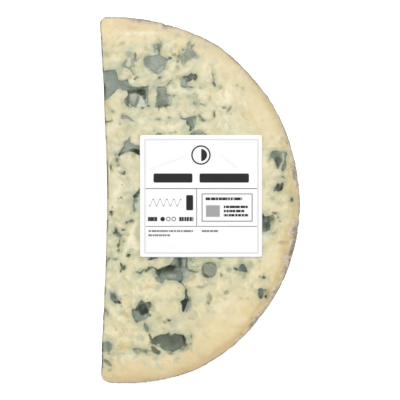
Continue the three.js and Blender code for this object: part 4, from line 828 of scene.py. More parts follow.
def opening_fields(x, y, lobes, curds, specks, seed, ragged=1.0, caves=(), shading_tints=(), curd_shading_tints=()):
    """Depth, tone, mould cover, halo and edge distance over a face, for its openings."""
    n = len(x)
    q = np.column_stack([x, y, np.zeros(n)])
    wx = x + ragged * (0.22 * noise(q, 2.6, seed) + 0.20 * noise(q, 1.15, seed + 1) + 0.10 * noise(q, 0.5, seed + 2))
    wy = y + ragged * (0.22 * noise(q, 2.6, seed + 3) + 0.20 * noise(q, 1.15, seed + 4) + 0.10 * noise(q, 0.5, seed + 5))
    cx = x + 0.11 * noise(q, 1.5, seed + 6) + 0.13 * noise(q, 0.65, seed + 7) + 0.06 * noise(q, 0.34, seed + 16)
    cy = y + 0.11 * noise(q, 1.5, seed + 8) + 0.13 * noise(q, 0.65, seed + 13) + 0.06 * noise(q, 0.34, seed + 17)
    depth = np.zeros(n)
    tone = np.full(n, 1.0)
    cover = np.zeros(n)
    halo = np.zeros(n)
    near = np.full(n, 9.0)
    olive = np.zeros(n)
    bloom = np.zeros(n)
    floor_noise = fbm(q, 1.6, 3, seed + 9)
    blur = 0.09 + 0.30 * step(-0.35, 0.75, noise(q, 2.4, seed + 12))
    vary = 1.0 + 0.55 * noise(q, 1.7, seed + 14)
    for shape, t_i, d_i, o_i, soft in caves:
        k = shape.close(cx, cy, 8.0)
        if not len(k):
            continue
        d = shape.distance(cx[k], cy[k])
        near[k] = np.minimum(near[k], d)
        size = min(1.0, shape.size / 1.4)
        bloom[k] += min(1.3, 0.45 * shape.size) * (1.0 if t_i < 0.6 else 0.7) * np.exp(-np.maximum(d, 0) / 2.6)
        wall = 0.22 + 0.16 * size
        s = step(0.05, -wall, d)
        dep = 0.52 * d_i * min(1.0, 0.30 + 0.40 * shape.size) * (0.70 * s + 0.30 * step(-wall, -wall - 1.3, d)) + 0.16 * size * floor_noise[k] * s
        depth[k] = np.maximum(depth[k], dep)
        edge = 1.2 * soft * vary[k]
        w = step(edge, -edge, d)
        tone[k] = tone[k] * (1 - w) + t_i * w
        olive[k] = olive[k] * (1 - w) + o_i * w
        cover[k] = cover[k] + (1 - cover[k]) * w
        strength = (0.35 + 0.65 * size) * (1.0 if t_i < 0.6 else 0.7)
        halo[k] = np.maximum(halo[k], strength * np.exp(-np.maximum(d, 0) / (0.5 + 0.7 * size)))
    # painted shade and light inside the openings, some of them with a change of mould colour
    for X, Y, a, b, turn, t_i, o_i, soft in shading_tints:
        reach = max(a, b) + soft + 1
        k = np.nonzero((np.abs(cx - X) < reach) & (np.abs(cy - Y) < reach))[0]
        if not len(k):
            continue
        d = lobe_distance(cx[k], cy[k], (X, Y, a, b, turn, 2.0, 0.0, 0.0))
        w = step(soft, -soft, d)
        depth[k] += 0.9 * max(0.0, 0.30 - t_i) / 0.30 * w * step(0.2, 0.9, depth[k])
        tone[k] = tone[k] * (1 - w) + t_i * w
        if o_i >= 0:
            olive[k] = olive[k] * (1 - w) + o_i * w
    for lobe in lobes:
        X, Y, a, b = lobe[:4]
        t_i, d_i, o_i = lobe[8:11]
        d_i = d_i * min(1.0, (0.42 if t_i > 0.25 else 0.6) + 0.26 * min(a, b))
        k = np.nonzero((np.abs(wx - X) < 13) & (np.abs(wy - Y) < 13))[0]
        if not len(k):
            continue
        r = np.hypot(wx[k] - X, wy[k] - Y)
        bloom[k] += min(1.0, a * b / 3.0) ** 0.5 * (1.0 if t_i < 0.95 else 0.4) * np.exp(-np.maximum(r - 0.5 * (a + b), 0) / 3.2)
        reach = max(a, b) * 1.3 + 3.5
        k = np.nonzero((np.abs(wx - X) < reach) & (np.abs(wy - Y) < reach))[0]
        if not len(k):
            continue
        d = lobe_distance(wx[k], wy[k], lobe)
        near[k] = np.minimum(near[k], d)
        size = min(1.0, min(a, b) / 1.2)
        wall = 0.20 + 0.10 * size
        s = step(0.02, -wall, d)
        dep = d_i * (0.80 * s + 0.20 * step(-wall, -wall - 1.2, d)) + 0.16 * size * floor_noise[k] * s
        depth[k] = np.maximum(depth[k], dep)
        soft = np.where(cover[k] > 0.6, np.maximum(0.30, blur[k]), blur[k] * (1.0 if t_i < 0.85 else 1.5))
        w = step(soft, -soft, d)
        tone[k] = tone[k] * (1 - w) + t_i * w
        olive[k] = olive[k] * (1 - w) + o_i * w
        cover[k] = cover[k] + (1 - cover[k]) * w
        strength = (0.25 + 0.75 * size) * (1.0 if t_i < 0.85 else 0.3)
        halo[k] = np.maximum(halo[k], strength * np.exp(-np.maximum(d, 0) / (0.45 + 0.75 * size)))
    for shape, t_i, height in curds:
        k = shape.close(cx, cy, 1.0)
        if not len(k):
            continue
        d = shape.distance(cx[k], cy[k])
        depth[k] -= np.minimum(height * step(0.10, -0.60, d), np.maximum(depth[k] - 0.15, 0))
        w = step(0.16, -0.16, d)
        tone[k] = tone[k] * (1 - w) + t_i * w
        olive[k] = olive[k] * (1 - w)
    # painted shade and light on the curds
    for X, Y, a, b, turn, t_i, o_i, soft in curd_shading_tints:
        k = np.nonzero((np.abs(cx - X) < 3.5) & (np.abs(cy - Y) < 3.5))[0]
        if not len(k):
            continue
        w = step(soft, -soft, lobe_distance(cx[k], cy[k], (X, Y, a, b, turn, 2.0, 0.0, 0.0)))
        tone[k] = tone[k] * (1 - w) + t_i * w
    fleck = np.zeros(n)
    fleck_tone = np.full(n, 0.5)
    for X, Y, r, t_i, amount in specks:
        k = np.nonzero((np.abs(wx - X) < r * 3) & (np.abs(wy - Y) < r * 3))[0]
        if not len(k):
            continue
        d = np.hypot(wx[k] - X, wy[k] - Y) / r
        w = amount * np.exp(-d ** 2 * 1.2)
        fleck_tone[k] = np.where(w > fleck[k], t_i, fleck_tone[k])
        fleck[k] = np.maximum(fleck[k], w)
    return dict(depth=np.maximum(depth, 0), tone=tone, cover=cover, halo=halo, near=near, olive=olive, bloom=bloom,
                fleck=fleck, fleck_tone=fleck_tone)


def radians_in(rows):
    return [(r[1], r[2], r[3], r[4], math.radians(r[5])) + tuple(r[6:]) for r in rows]


TOP_LOBES = radians_in(LOBES)
TOP_CAVES = [(Outline(points), tone, depth, olive, soft) for _, tone, depth, olive, soft, points in CAVES]
TOP_SHADING_TINTS = [row[:4] + (math.radians(row[4]),) + row[5:] for row in SHADING_TINTS]
TOP_CURDS = [(Outline(points), tone, height) for _, tone, height, points in CURDS]
TOP_CURD_SHADING_TINTS = [row[:4] + (math.radians(row[4]),) + row[5:] for row in CURD_SHADING_TINTS]


def scatter(count, seed, inside, apart):
    random = Sequence(seed)
    places = []
    for _ in range(4000):
        if len(places) >= count:
            break
        s = random(); t = random()
        p = inside(s, t)
        if p and all(math.hypot(p[0] - q[0], p[1] - q[1]) > apart for q in places):
            places.append(p)
    return places, random


def under_lobes():
    def inside(s, t):
        x, y = -32 + 66 * s, -62 + 124 * t
        clear = math.hypot(x - WHEEL[0], y - WHEEL[1]) < 58 and math.hypot(x + 3, y) > 9
        return (x, y) if clear else None
    places, random = scatter(20, 7, inside, 12)
    rows = []
    for x, y in places:
        a = 1.2 + 3.2 * random() ** 2
        b = a * (0.45 + 0.5 * random())
        e = 2.1 + random()
        taper = 0.3 * random()
        turn = 2 * math.pi * random()
        rows.append((x, y, a, b, turn, e, taper, 0.0, 0.5 + 0.35 * ((x * 7.3 + y * 3.1) % 1), 1.4 + 0.5 * b, 0.1))
    return rows


def side_lobes():
    """In the cut side's own plane: first number along y, second height."""
    places, random = scatter(13, 3, lambda s, t: (-58 + 114 * s, 4.5 + 14 * t), 8)
    rows = []
    for y, z in places:
        a = 1.1 + 2.4 * random() ** 2
        b = a * (0.45 + 0.45 * random())
        taper = 0.3 * random()
        turn = math.pi * random()
        rows.append((y, z, a, b, math.pi / 2 - turn, 2.2, taper, 0.0, 0.45 + 0.4 * ((y * 5.7 + z * 2.3) % 1), 1.3 + 0.6 * b, 0.1))
    return rows


rng = np.random.default_rng(20)


def sow(count, where, keep, sizes=(0.10, 0.34)):
    """Small scattered flecks: x, y, radius, tone, amount."""
    out = []
    while len(out) < count:
        x, y = where()
        if not keep(x, y):
            continue
        r = sizes[0] + (sizes[1] - sizes[0]) * rng.random() ** 2.2
        out.append((x, y, r, rng.choice([0.12, 0.3, 0.5, 0.65]), 0.25 + 0.65 * rng.random() ** 1.5))
    return out

# ------------------------------------------------------------------ colours (sRGB, 0 to 255)
INK = dict(
    pale=(243, 234, 200), warm=(222, 200, 148), rose=(226, 203, 166), yellow=(236, 214, 160), fold=(201, 190, 142),
    mauve=(206, 190, 182), white=(240, 239, 222), ice=(232, 235, 230), frost=(208, 211, 194), sand=(218, 206, 160),
    green=(205, 207, 174), cream=(236, 223, 182), mustard=(206, 188, 120), olive=(152, 146, 104), moss=(186, 186, 138),
    rust=(200, 166, 104), amber=(217, 186, 128), dark=(96, 102, 80), mist=(178, 182, 159), shade=(150, 152, 124), brown=(164, 148, 108),
    umber=(120, 111, 95), clay=(188, 172, 148), blush=(215, 202, 184), chalk=(234, 227, 214),
)
RAMP_AT = [0, 0.1, 0.2, 0.3, 0.4, 0.5, 0.6, 0.7, 0.8, 0.9, 1.0, 1.2]
RAMP = np.array([(49, 55, 46), (75, 82, 69), (99, 106, 92), (117, 125, 111), (133, 143, 130), (147, 157, 146), (161, 169, 158),
                 (176, 182, 168), (187, 192, 175), (198, 201, 182), (207, 210, 188), (222, 224, 206)], float)
PASTE = np.array((226.0, 215.0, 175.0))


def blend_to(rgb, colour, weight):
    w = np.clip(weight, 0, 1)[:, None]
    return rgb * (1 - w) + np.asarray(colour, float) * w


def mould_colour(tone, olive):
    rgb = np.stack([np.interp(tone, RAMP_AT, RAMP[:, k]) for k in range(3)], 1)
    return rgb + np.clip(olive, 0, 1)[:, None] * np.array([9.0, 2.0, -22.0])


GAIN = 0.815                                   # the studio light is bright enough to leave the floor white


def linear(rgb, gain=GAIN):
    c = np.clip(rgb / 255.0, 0, 1)
    return gain * np.where(c <= 0.04045, c / 12.92, ((c + 0.055) / 1.055) ** 2.4)


# Crust that shows from above: degrees about the wheel's centre, half span, width in mm, kind (0 line, 1 patch)
CRUST = [
    (80.0, 4.6, 1.35, 0.75), (73.2, 1.0, 2.0, 0.9), (70.8, 1.0, 1.1, 0.7), (64.0, 1.4, 0.9, 0.4), (57.7, 2.2, 0.8, 0.5), (49.0, 1.6, 0.8, 0.3),
    (11.2, 1.5, 1.9, 1.0), (8.2, 2.2, 2.3, 1.0), (5.0, 1.2, 1.2, 0.9), (1.6, 1.0, 0.8, 0.5),
    (-8.6, 2.6, 2.9, 1.0), (-13.2, 2.0, 2.3, 1.0), (-17.4, 2.2, 3.1, 1.0), (-21.8, 1.6, 2.2, 1.0), (-25.5, 1.4, 1.0, 0.9),
    (-29.8, 2.0, 1.3, 0.9), (-35.0, 1.2, 1.0, 0.8), (-38.4, 2.0, 1.9, 1.0), (-42.2, 1.4, 1.1, 0.9), (-47.5, 1.6, 1.0, 0.8),
    (-55.0, 1.2, 0.7, 0.5), (-66.0, 1.8, 0.8, 0.6), (33.0, 1.8, 0.6, 0.4), (22.0, 1.4, 0.6, 0.5),
]


def crust_width(deg):
    """How far the rind's rounding reaches in over the upper face, in mm, and how pale it is there."""
    deg = np.asarray(deg, float)
    arc = np.column_stack([deg * 1.18, np.zeros(len(deg)), np.zeros(len(deg))])
    ragged = 0.45 * noise(arc, 3.1, 61) + 0.60 * noise(arc, 1.2, 62) + 0.45 * noise(arc, 0.6, 63)
    width = 0.55 + 0.12 * ragged
    kind = np.full(len(deg), 0.3)
    for at, half, wide, pale in CRUST:
        t = np.abs(deg - at + 0.25 * ragged) / half
        bump = np.clip(1 - t ** 2.6, 0, 1) ** 0.6
        width = np.maximum(width, 0.55 * (1 - bump) + wide * bump * (1 + 0.22 * ragged))
        kind = kind * (1 - bump) + pale * bump
    return width, kind


# Soft marks in the paste: x, y, half length, half width, turn (degrees), bend, colour, strength
SMEARS = [
    (-20.5, 60.3, 6.12, 0.61, 0, 0, "pale", 0.8),
    (-25.9, 60.3, 1.08, 0.79, 0, 0, "pale", 0.7),
    (-29.5, 55.6, 3.24, 1.08, 20, 0, "warm", 0.18),
    (-20.5, 62.6, 3.96, 0.58, -6, 0, "rose", 0.75),
    (-29.5, 64.6, 5.04, 0.65, -1, 0, "rose", 0.35),
    (-33.1, 63.5, 2.16, 1.44, 20, 0, "yellow", 0.5),
    (-31.7, 61.4, 3.24, 0.18, 33, 0, "fold", 0.35),
    (-29.9, 59.9, 2.88, 0.18, 38, 0.05, "fold", 0.3),
    (-27.4, 57.8, 2.52, 0.18, 40, 0, "fold", 0.3),
    (-32.4, 56.3, 1.08, 1.26, 0, 0, "yellow", 0.25),
    (-12.6, 61.4, 2.52, 0.72, -28, 0, "rose", 0.5),
    (-6.5, 59.2, 4.32, 0.58, -24, 0, "rose", 0.35),
    (2.2, 54.2, 4.68, 0.65, -38, 0, "rose", 0.4),
    (-7.2, 56, 4.32, 1.44, -20, 0, "yellow", 0.25),
    (10.1, 45.2, 5.76, 0.94, -50, 0, "rose", 0.25),
    (18, 34.4, 6.48, 1.08, -58, 0, "rose", 0.22),
    (14.4, 36.2, 6.48, 1.44, -55, 0, "pale", 0.3),
    (5, 49.9, 3.6, 1.08, -40, 0, "pale", 0.25),
    (-23.4, 64.4, 1.44, 0.4, -8, 0, "mauve", 0.75),
    (-21.2, 63.7, 1.08, 0.36, -8, 0, "mauve", 0.65),
    (-13.3, 62.1, 0.86, 0.54, -25, 0, "mauve", 0.55),
    (-11.9, 61, 0.58, 0.32, -25, 0, "mauve", 0.4),
    (-27, 44, 1.51, 0.32, 8, 0, "white", 0.8),
    (-21.6, 41, 2.7, 0.29, 2, 0.12, "white", 0.75),
    (-18, 37.6, 1.08, 3.24, 0, 0, "sand", 0.45),
    (-27, 45.5, 1.8, 0.58, -10, 0, "sand", 0.45),
    (-29.5, 38, 1.08, 1.8, 30, 0, "white", 0.35),
    (-26.3, 38.7, 0.9, 1.44, 0, 0, "white", 0.35),
    (0.7, 41.2, 2.52, 1.8, 10, 0, "green", 0.5),
    (-2.5, 36.5, 1.8, 1.8, 0, 0, "green", 0.5),
    (-3.6, 39.1, 3.24, 0.79, -4, 0, "pale", 0.5),
    (-9.4, 41.6, 1.8, 0.72, 30, 0, "sand", 0.35),
    (-16.9, 42.3, 2.16, 1.08, 0, 0, "green", 0.35),
    (-5, 49.5, 2.16, 1.8, 40, 0, "green", 0.35),
    (-6.8, 50.6, 1.44, 1.08, 0, 0, "green", 0.4),
    (-33.5, 34.4, 0.47, 0.94, 0, 0, "mustard", 0.5),
    (-31.5, 32.4, 0.65, 0.43, -60, 0, "olive", 0.55),
    (-17.8, 31, 0.65, 0.5, 0, 0, "olive", 0.4),
    (-11.2, 30.1, 0.29, 0.43, 0, 0, "rust", 0.5),
    (-5.5, 32.4, 0.5, 0.36, 0, 0, "mustard", 0.4),
    (0.2, 34.7, 0.72, 0.32, 10, 0, "olive", 0.6),
    (-0.1, 40.7, 0.4, 0.32, 0, 0, "olive", 0.5),
    (3.8, 37, 0.25, 0.72, 0, 0, "olive", 0.3),
    (2.7, 47.5, 0.29, 0.43, 0, 0, "olive", 0.4),
    (-14.9, 58, 0.61, 0.94, 0, 0, "olive", 0.3),
    (-18, 54.2, 1.3, 0.47, -20, 0, "olive", 0.35),
    (-28.2, 56.6, 1.08, 0.43, 0, 0, "olive", 0.3),
    (-33.1, 52.4, 0.72, 1.3, 0, 0, "olive", 0.3),
    (-19.6, 44.5, 1.08, 0.32, 0, 0, "olive", 0.28),
    (-29.5, 49.1, 1.08, 0.43, 0, 0, "olive", 0.15),
    (-8.6, 44.8, 0.58, 0.32, 0, 0, "olive", 0.3),
    (-9.7, 42.7, 1.26, 0.25, 42, 0, "olive", 0.4),
    (-34.2, 28.1, 1.62, 0.16, 25, 0, "dark", 0.5),
    (-14.4, 25.4, 2.16, 0.58, 0, 0, "sand", 0.4),
    (-25.2, 29, 4.32, 1.8, 0, 0, "green", 0.18),
    (-12.6, 28.3, 3.6, 1.08, 0, 0, "pale", 0.25),
    (-6.1, 29.7, 1.44, 1.08, 0, 0, "white", 0.25),
    (-1.4, 26.8, 2.88, 1.08, 0, 0, "white", 0.2),
    (-9, 33.7, 2.16, 1.44, 0, 0, "pale", 0.3),
    (-19.8, 33.3, 2.16, 1.44, 0, 0, "pale", 0.3),
    (-29.5, 18.2, 2.88, 1.8, 60, 0, "green", 0.22),
    (-26.6, 14.6, 1.8, 1.44, 0, 0, "pale", 0.35),
    (-31.3, 11, 2.16, 0.43, 70, 0, "pale", 0.4),
    (-24.8, 8.1, 1.8, 0.79, 80, 0, "pale", 0.3),
    (-28.1, 3.8, 2.52, 0.72, 50, 0, "sand", 0.35),
    (-31.3, -1.6, 2.16, 0.9, 80, 0, "pale", 0.35),
    (-26.1, -16, 5.94, 0.4, 72, 0.04, "pale", 0.75),
    (-23.8, -9.9, 1.44, 0.43, 60, 0, "pale", 0.5),
    (-29.2, -9.9, 1.8, 0.79, 70, 0, "pale", 0.35),
    (-31.7, -15.3, 2.52, 0.94, 80, 0, "green", 0.25),
    (-24.8, -22.1, 2.52, 0.72, 20, 0, "pale", 0.4),
    (-27.4, -24.3, 2.16, 0.36, 40, 0, "pale", 0.45),
    (-29.3, -33.7, 1.3, 0.58, -12, 0, "ice", 0.85),
    (-29, -30.4, 0.79, 1.87, -25, 0, "frost", 0.6),
    (-9.5, -44.5, 0.94, 1.15, -20, 0, "frost", 0.65),
    (-17.6, -40.9, 1.15, 0.32, -12, 0, "white", 0.8),
    (-14.4, -53.6, 1.3, 0.36, -42, 0.1, "white", 0.7),
    (-4.7, -26, 1.22, 0.65, 0, 0, "frost", 0.6),
    (-26.6, -41.2, 1.22, 0.25, -52, 0.1, "rust", 0.5),
    (-3.1, -42.7, 0.86, 0.29, -8, 0, "rust", 0.5),
    (3.2, -39.8, 0.29, 0.5, 0, 0, "rust", 0.5),
    (-11.5, -32.6, 4.32, 3.24, -20, 0, "cream", 0.55),
    (-10.2, -33.8, 0.32, 0.32, 0, 0, "pale", 0.5),
    (-19.4, -27.2, 2.16, 0.36, -38, 0.2, "pale", 0.6),
    (-18.4, -29.7, 1.8, 0.32, -55, -0.2, "pale", 0.65),
    (-21.2, -29, 2.16, 0.29, -50, 0.1, "pale", 0.5),
    (-18, -32.6, 2.52, 0.32, 35, -0.15, "pale", 0.5),
    (-19.4, -31.5, 1.44, 0.22, 20, 0, "fold", 0.35),
    (-16.9, -29, 1.22, 0.22, 70, 0.1, "fold", 0.35),
    (-22.7, -26.8, 1.44, 0.22, 60, 0, "fold", 0.3),
    (-24.1, -32.9, 1.8, 0.36, -62, 0, "pale", 0.5),
    (-31.7, -29, 1.8, 0.25, 28, 0.15, "pale", 0.45),
    (-33.1, -27.2, 1.08, 0.22, 50, 0, "pale", 0.4),
    (-27.4, -44.5, 3.24, 0.22, -14, 0.12, "fold", 0.3),
    (-26.6, -46.3, 3.6, 0.22, -6, 0.15, "fold", 0.3),
    (-29.2, -43, 2.52, 0.29, -16, 0.1, "pale", 0.35),
    (0.2, -31, 1.3, 0.22, 2, 0, "olive", 0.6),
    (3.4, -35.5, 0.32, 1.44, 0, 0, "olive", 0.55),
    (-3.3, -48.8, 0.32, 0.72, 0, 0, "olive", 0.45),
    (-3.2, -51.7, 0.32, 0.43, 0, 0, "olive", 0.4),
    (-14.3, -41.9, 0.72, 0.25, 30, 0, "olive", 0.4),
    (-1.4, -36.9, 2.16, 2.88, 0, 0, "green", 0.22),
    (-6.8, -42.3, 2.88, 2.16, 0, 0, "green", 0.22),
    (-13, -48.4, 2.52, 1.44, 0, 0, "green", 0.18),
    (-18, -58.5, 1.8, 1.08, 30, 0, "rose", 0.35),
    (-28.8, -52, 3.24, 0.43, 24, 0, "fold", 0.2),
    (-23.8, -56, 2.88, 0.43, 30, 0, "fold", 0.2),
    (-11.5, -57.4, 4.32, 1.44, 10, 0, "cream", 0.35),
    (-25.9, -58.1, 2.88, 1.8, 20, 0, "cream", 0.3),
    (-23, -50.2, 1.58, 2.16, -30, 0, "cream", 0.35),
    (-30.6, -56, 1.44, 1.08, 0, 0, "sand", 0.35),
    (-31.7, -46.6, 1.44, 2.16, 0, 0, "green", 0.15),
    (24.7, 16, 0.5, 0.94, 10, 0, "frost", 0.55),
    (25.6, 14.8, 0.65, 0.32, -35, 0, "white", 0.5),
    (27.4, 12.4, 1.8, 1.44, 0, 0, "green", 0.35),
    (30.2, 12.1, 1.44, 1.08, -60, 0, "green", 0.3),
    (25.9, 8.1, 1.8, 2.16, 0, 0, "green", 0.3),
    (31.7, 18.2, 1.08, 2.16, -15, 0, "sand", 0.4),
    (31, 20.7, 1.44, 0.43, -70, 0, "olive", 0.2),
    (24.8, 2, 1.01, 0.32, 48, 0, "pale", 0.55),
    (26.8, 0.5, 1.15, 0.25, -45, 0, "mustard", 0.45),
    (25.2, -1.6, 1.8, 1.44, 0, 0, "pale", 0.25),
    (32.4, 3.8, 0.94, 1.8, 0, 0, "moss", 0.35),
    (29.9, 3.1, 1.08, 1.44, 0, 0, "moss", 0.25),
    (28.4, -3.4, 1.8, 1.08, 30, 0, "cream", 0.35),
    (26.6, -4.5, 0.58, 0.25, 20, 0, "olive", 0.5),
    (27.7, -6.3, 0.47, 0.36, 0, 0, "olive", 0.4),
    (28.7, -7.5, 0.36, 0.29, 0, 0, "olive", 0.4),
    (24.3, -12.8, 0.65, 1.15, -30, 0, "frost", 0.65),
    (26.1, -11.7, 1.15, 0.22, 28, 0, "olive", 0.5),
    (29.4, -14.9, 0.86, 0.22, 10, 0, "olive", 0.5),
    (25.2, -20, 2.16, 1.8, 0, 0, "cream", 0.25),
    (31.1, -14.2, 0.36, 2.52, 6, 0, "amber", 0.6),
    (30.1, -20, 0.32, 3.24, 2, 0, "amber", 0.75),
    (30.1, -24.3, 0.32, 1.8, -6, 0, "amber", 0.65),
    (28.6, -28.6, 0.32, 2.16, -28, 0, "amber", 0.55),
    (34.4, 3.4, 0.29, 1.98, 4, 0, "amber", 0.65),
    (34.6, -4.1, 0.29, 1.8, 0, 0, "amber", 0.55),
    (33.5, -2, 0.32, 0.5, 0, 0, "mustard", 0.35),
    (32.7, -10.3, 0.29, 1.62, 10, 0, "amber", 0.5),
    (27.9, -20.7, 0.79, 0.58, 0, 0, "mustard", 0.35),
    (25.9, -18.5, 1.3, 0.22, 8, 0.2, "fold", 0.3),
    (22.3, -25.7, 2.16, 0.22, -22, 0.1, "fold", 0.35),
    (20.9, -26.1, 1.08, 0.29, -15, 0, "pale", 0.4),
    (10.6, -25.4, 0.65, 0.43, 30, 0, "olive", 0.45),
    (18.2, -22.3, 0.36, 0.79, -30, 0, "olive", 0.3),
    (17.5, -24.3, 1.08, 0.94, 0, 0, "green", 0.4),
    (7.7, -26.7, 0.5, 0.5, 0, 0, "olive", 0.55),
    (15.8, -27.7, 0.36, 0.47, -20, 0, "olive", 0.45),
    (9.5, -32.9, 0.58, 0.68, 30, 0, "moss", 0.75),
    (10.4, -31.7, 0.32, 0.36, 0, 0, "moss", 0.5),
    (15.8, -27.9, 3.24, 2.52, 0, 0, "green", 0.3),
    (20.5, -31, 0.94, 0.36, -10, 0, "pale", 0.6),
    (14.4, -34.7, 0.65, 0.29, -20, 0, "mustard", 0.3),
    (12.2, -35.8, 1.8, 1.44, 0, 0, "rose", 0.22),
    (14.4, -41.9, 4.68, 2.16, 15, 0.05, "cream", 0.45),
    (24.5, -32.9, 0.72, 1.8, -20, 0, "moss", 0.4),
    (23.8, -36.9, 0.72, 1.44, -30, 0, "amber", 0.45),
    (21.6, -40.5, 0.58, 1.8, -40, 0, "amber", 0.55),
    (18.7, -44.8, 0.5, 2.16, -48, 0, "amber", 0.45),
    (9.4, -37.6, 3.6, 2.52, 0, 0, "cream", 0.3),
    (3.2, -45.2, 3.6, 2.52, 20, 0, "cream", 0.35),
    (13, -47.3, 2.52, 0.58, 40, 0, "amber", 0.3),
    (7.9, -51.7, 2.52, 0.58, 30, 0, "amber", 0.3),
    (-3.6, -58.1, 4.32, 0.72, 18, 0, "rose", 0.3),
    (4.7, -26.1, 1.8, 2.88, 0, 0, "green", 0.35),
    (6.1, -34.7, 1.08, 3.24, 10, 0, "moss", 0.25),
    (5, -30.4, 0.86, 1.8, 0, 0, "moss", 0.25),
    (7.9, 36.9, 1.44, 1.08, 0, 0, "green", 0.25),
    (4.3, 44.1, 1.8, 1.44, 0, 0, "green", 0.25),
    (11.5, 31.5, 2.52, 1.44, -40, 0, "cream", 0.35),
    (6.8, 28.6, 2.52, 1.08, 0, 0, "green", 0.25),
    (17.3, 27.2, 2.16, 1.08, -50, 0, "sand", 0.25),
    (7.9, 40.5, 3.24, 1.08, -55, 0, "pale", 0.3),
    (-0.7, 49.9, 2.88, 1.8, -30, 0, "pale", 0.25),
    (-10.8, 56, 2.16, 1.44, 0, 0, "pale", 0.4),
    (-11.5, 49.9, 1.44, 1.8, 60, 0, "pale", 0.25),
    (-14.4, 40.9, 1.44, 0.43, 0, 0, "green", 0.3),
    (-5.76, 54.32, 1.15, 0.72, 50, 0, "mist", 0.75),
    (-6.84, 53.1, 1.08, 0.58, -20, 0, "mist", 0.6),
    (-12.42, 47.7, 0.86, 1.66, -20, 0, "mist", 0.55),
    (-11.88, 51.66, 1.15, 0.58, -20, 0, "mist", 0.5),
    (-14.04, 42.3, 2.34, 0.72, 6, 0, "mist", 0.75),
    (-11.16, 41.94, 1.08, 0.58, 40, 0, "moss", 0.5),
    (-15.3, 40.86, 0.79, 0.94, 0, 0, "mist", 0.5),
    (-3.6, 42.08, 1.44, 0.72, -10, 0, "mist", 0.75),
    (-3.96, 40.28, 1.3, 0.43, -4, 0, "ice", 0.4),
    (-2.02, 37.19, 0.86, 1.66, 0, 0, "mist", 0.7),
    (-1.3, 37.98, 0.29, 1.3, 0, 0, "shade", 0.35),
    (-2.88, 35.46, 0.79, 0.79, 0, 0, "mist", 0.45),
    (3.46, 36.68, 0.32, 1.51, -8, 0, "shade", 0.45),
    (0.72, 29.56, 1.51, 0.79, -36, 0, "brown", 0.45),
    (-0.58, 30.71, 0.58, 0.29, -20, 0, "brown", 0.55),
    (-6.62, 30.28, 0.86, 0.36, -48, 0, "mist", 0.5),
    (2.16, 44.82, 0.72, 1.98, 0, 0, "green", 0.55),
    (6.48, 41.94, 1.01, 0.72, -20, 0, "mist", 0.4),
    (5.18, 43.38, 0.65, 2.16, 0, 0, "mist", 0.35),
    (15.34, 30.92, 0.94, 0.25, -60, 0, "brown", 0.5),
    (16.7, 29.56, 1.3, 0.29, -35, 0, "brown", 0.35),
    (18, 32.58, 0.43, 0.32, 0, 0, "amber", 0.5),
    (6.84, 34.24, 0.5, 0.25, -30, 0, "brown", 0.45),
    (11.02, 31.28, 0.43, 0.29, -40, 0, "brown", 0.5),
    (9.5, 33.16, 1.51, 0.65, 0, 0, "mauve", 0.35),
    (-29.88, 15.3, 1.51, 1.22, 30, 0, "mist", 0.6),
    (-31.68, 16.74, 1.3, 0.65, 10, 0, "mist", 0.45),
    (-31.32, 13.5, 0.79, 1.15, 0, 0, "mist", 0.4),
    (-29.02, 10.26, 0.58, 0.36, 0, 0, "moss", 0.3),
    (-29.09, -3.06, 0.58, 2.34, 0, 0, "fold", 0.6),
    (-30.53, -0.97, 0.32, 0.22, 0, 0, "olive", 0.4),
    (-25.7, -0.04, 1.66, 0.79, 16, 0, "mist", 0.62),
    (-21.96, -0.54, 0.58, 1.66, 0, 0, "frost", 0.8),
    (-24.84, -2.34, 0.43, 1.3, 0, 0, "mist", 0.4),
    (-26.14, -12.78, 0.65, 1.51, -12, 0, "sand", 0.4),
    (-27.72, -13.32, 1.08, 0.65, -30, 0, "mist", 0.5),
    (-32.26, -10.62, 0.86, 1.3, 10, 0, "mist", 0.45),
    (-28.3, -16.38, 0.5, 1.94, 0, 0, "moss", 0.55),
    (-25.34, -7.88, 1.44, 0.86, 8, 0, "mist", 0.3),
    (-25.7, 52.88, 1.22, 1.3, 0, 0, "mist", 0.55),
    (-21.96, 48.06, 0.79, 0.58, -10, 0, "moss", 0.5),
    (-23.98, 46.91, 0.94, 0.65, 0, 0, "mist", 0.35),
    (-27.86, 48.56, 1.58, 1.22, 20, 0, "mist", 0.3),
    (-29.74, 58.28, 2.23, 0.29, 44, 0, "brown", 0.28),
    (-28.3, 56.48, 1.8, 0.32, 30, 0, "brown", 0.32),
    (-31.46, 55.4, 1.58, 0.25, 48, 0, "brown", 0.22),
    (-19.22, 56.48, 1.51, 0.36, -10, 0, "moss", 0.3),
    (-20.16, 55.04, 1.8, 0.5, -24, 0, "moss", 0.35),
    (-34.56, 55.98, 0.5, 1.22, -20, 0, "brown", 0.4),
    (-33.48, 52.74, 1.08, 1.51, 0, 0, "moss", 0.35),
    (23.33, -12.78, 0.79, 1.66, -14, 0, "ice", 0.6),
    (22.61, -11.12, 0.72, 0.79, 0, 0, "shade", 0.6),
    (27.72, -6.3, 0.79, 0.79, 0, 0, "moss", 0.5),
    (29.88, -14.94, 1.73, 0.47, 10, 0, "brown", 0.55),
    (30.96, -13.72, 0.32, 2.16, 8, 0, "amber", 0.45),
    (30.1, 6.16, 0.86, 0.65, 0, 0, "moss", 0.7),
    (24.7, 15.44, 0.43, 1.22, 8, 0, "mist", 0.5),
    (31.46, 14.36, 0.32, 2.34, -4, 0, "olive", 0.35),
    (29.38, 10.12, 1.08, 0.58, -20, 0, "mist", 0.55),
    (33.12, 0.68, 0.65, 1.08, 0, 0, "moss", 0.6),
    (24.19, -33.44, 0.68, 1.8, -6, 0, "brown", 0.85),
    (23.11, -31, 0.79, 0.5, 20, 0, "mist", 0.4),
    (20.52, -33.3, 0.43, 1.8, 0, 0, "mist", 0.4),
    (15.48, -21.92, 2.16, 0.65, -10, 0, "mist", 0.5),
    (18.36, -23.36, 0.72, 1.15, 0, 0, "moss", 0.5),
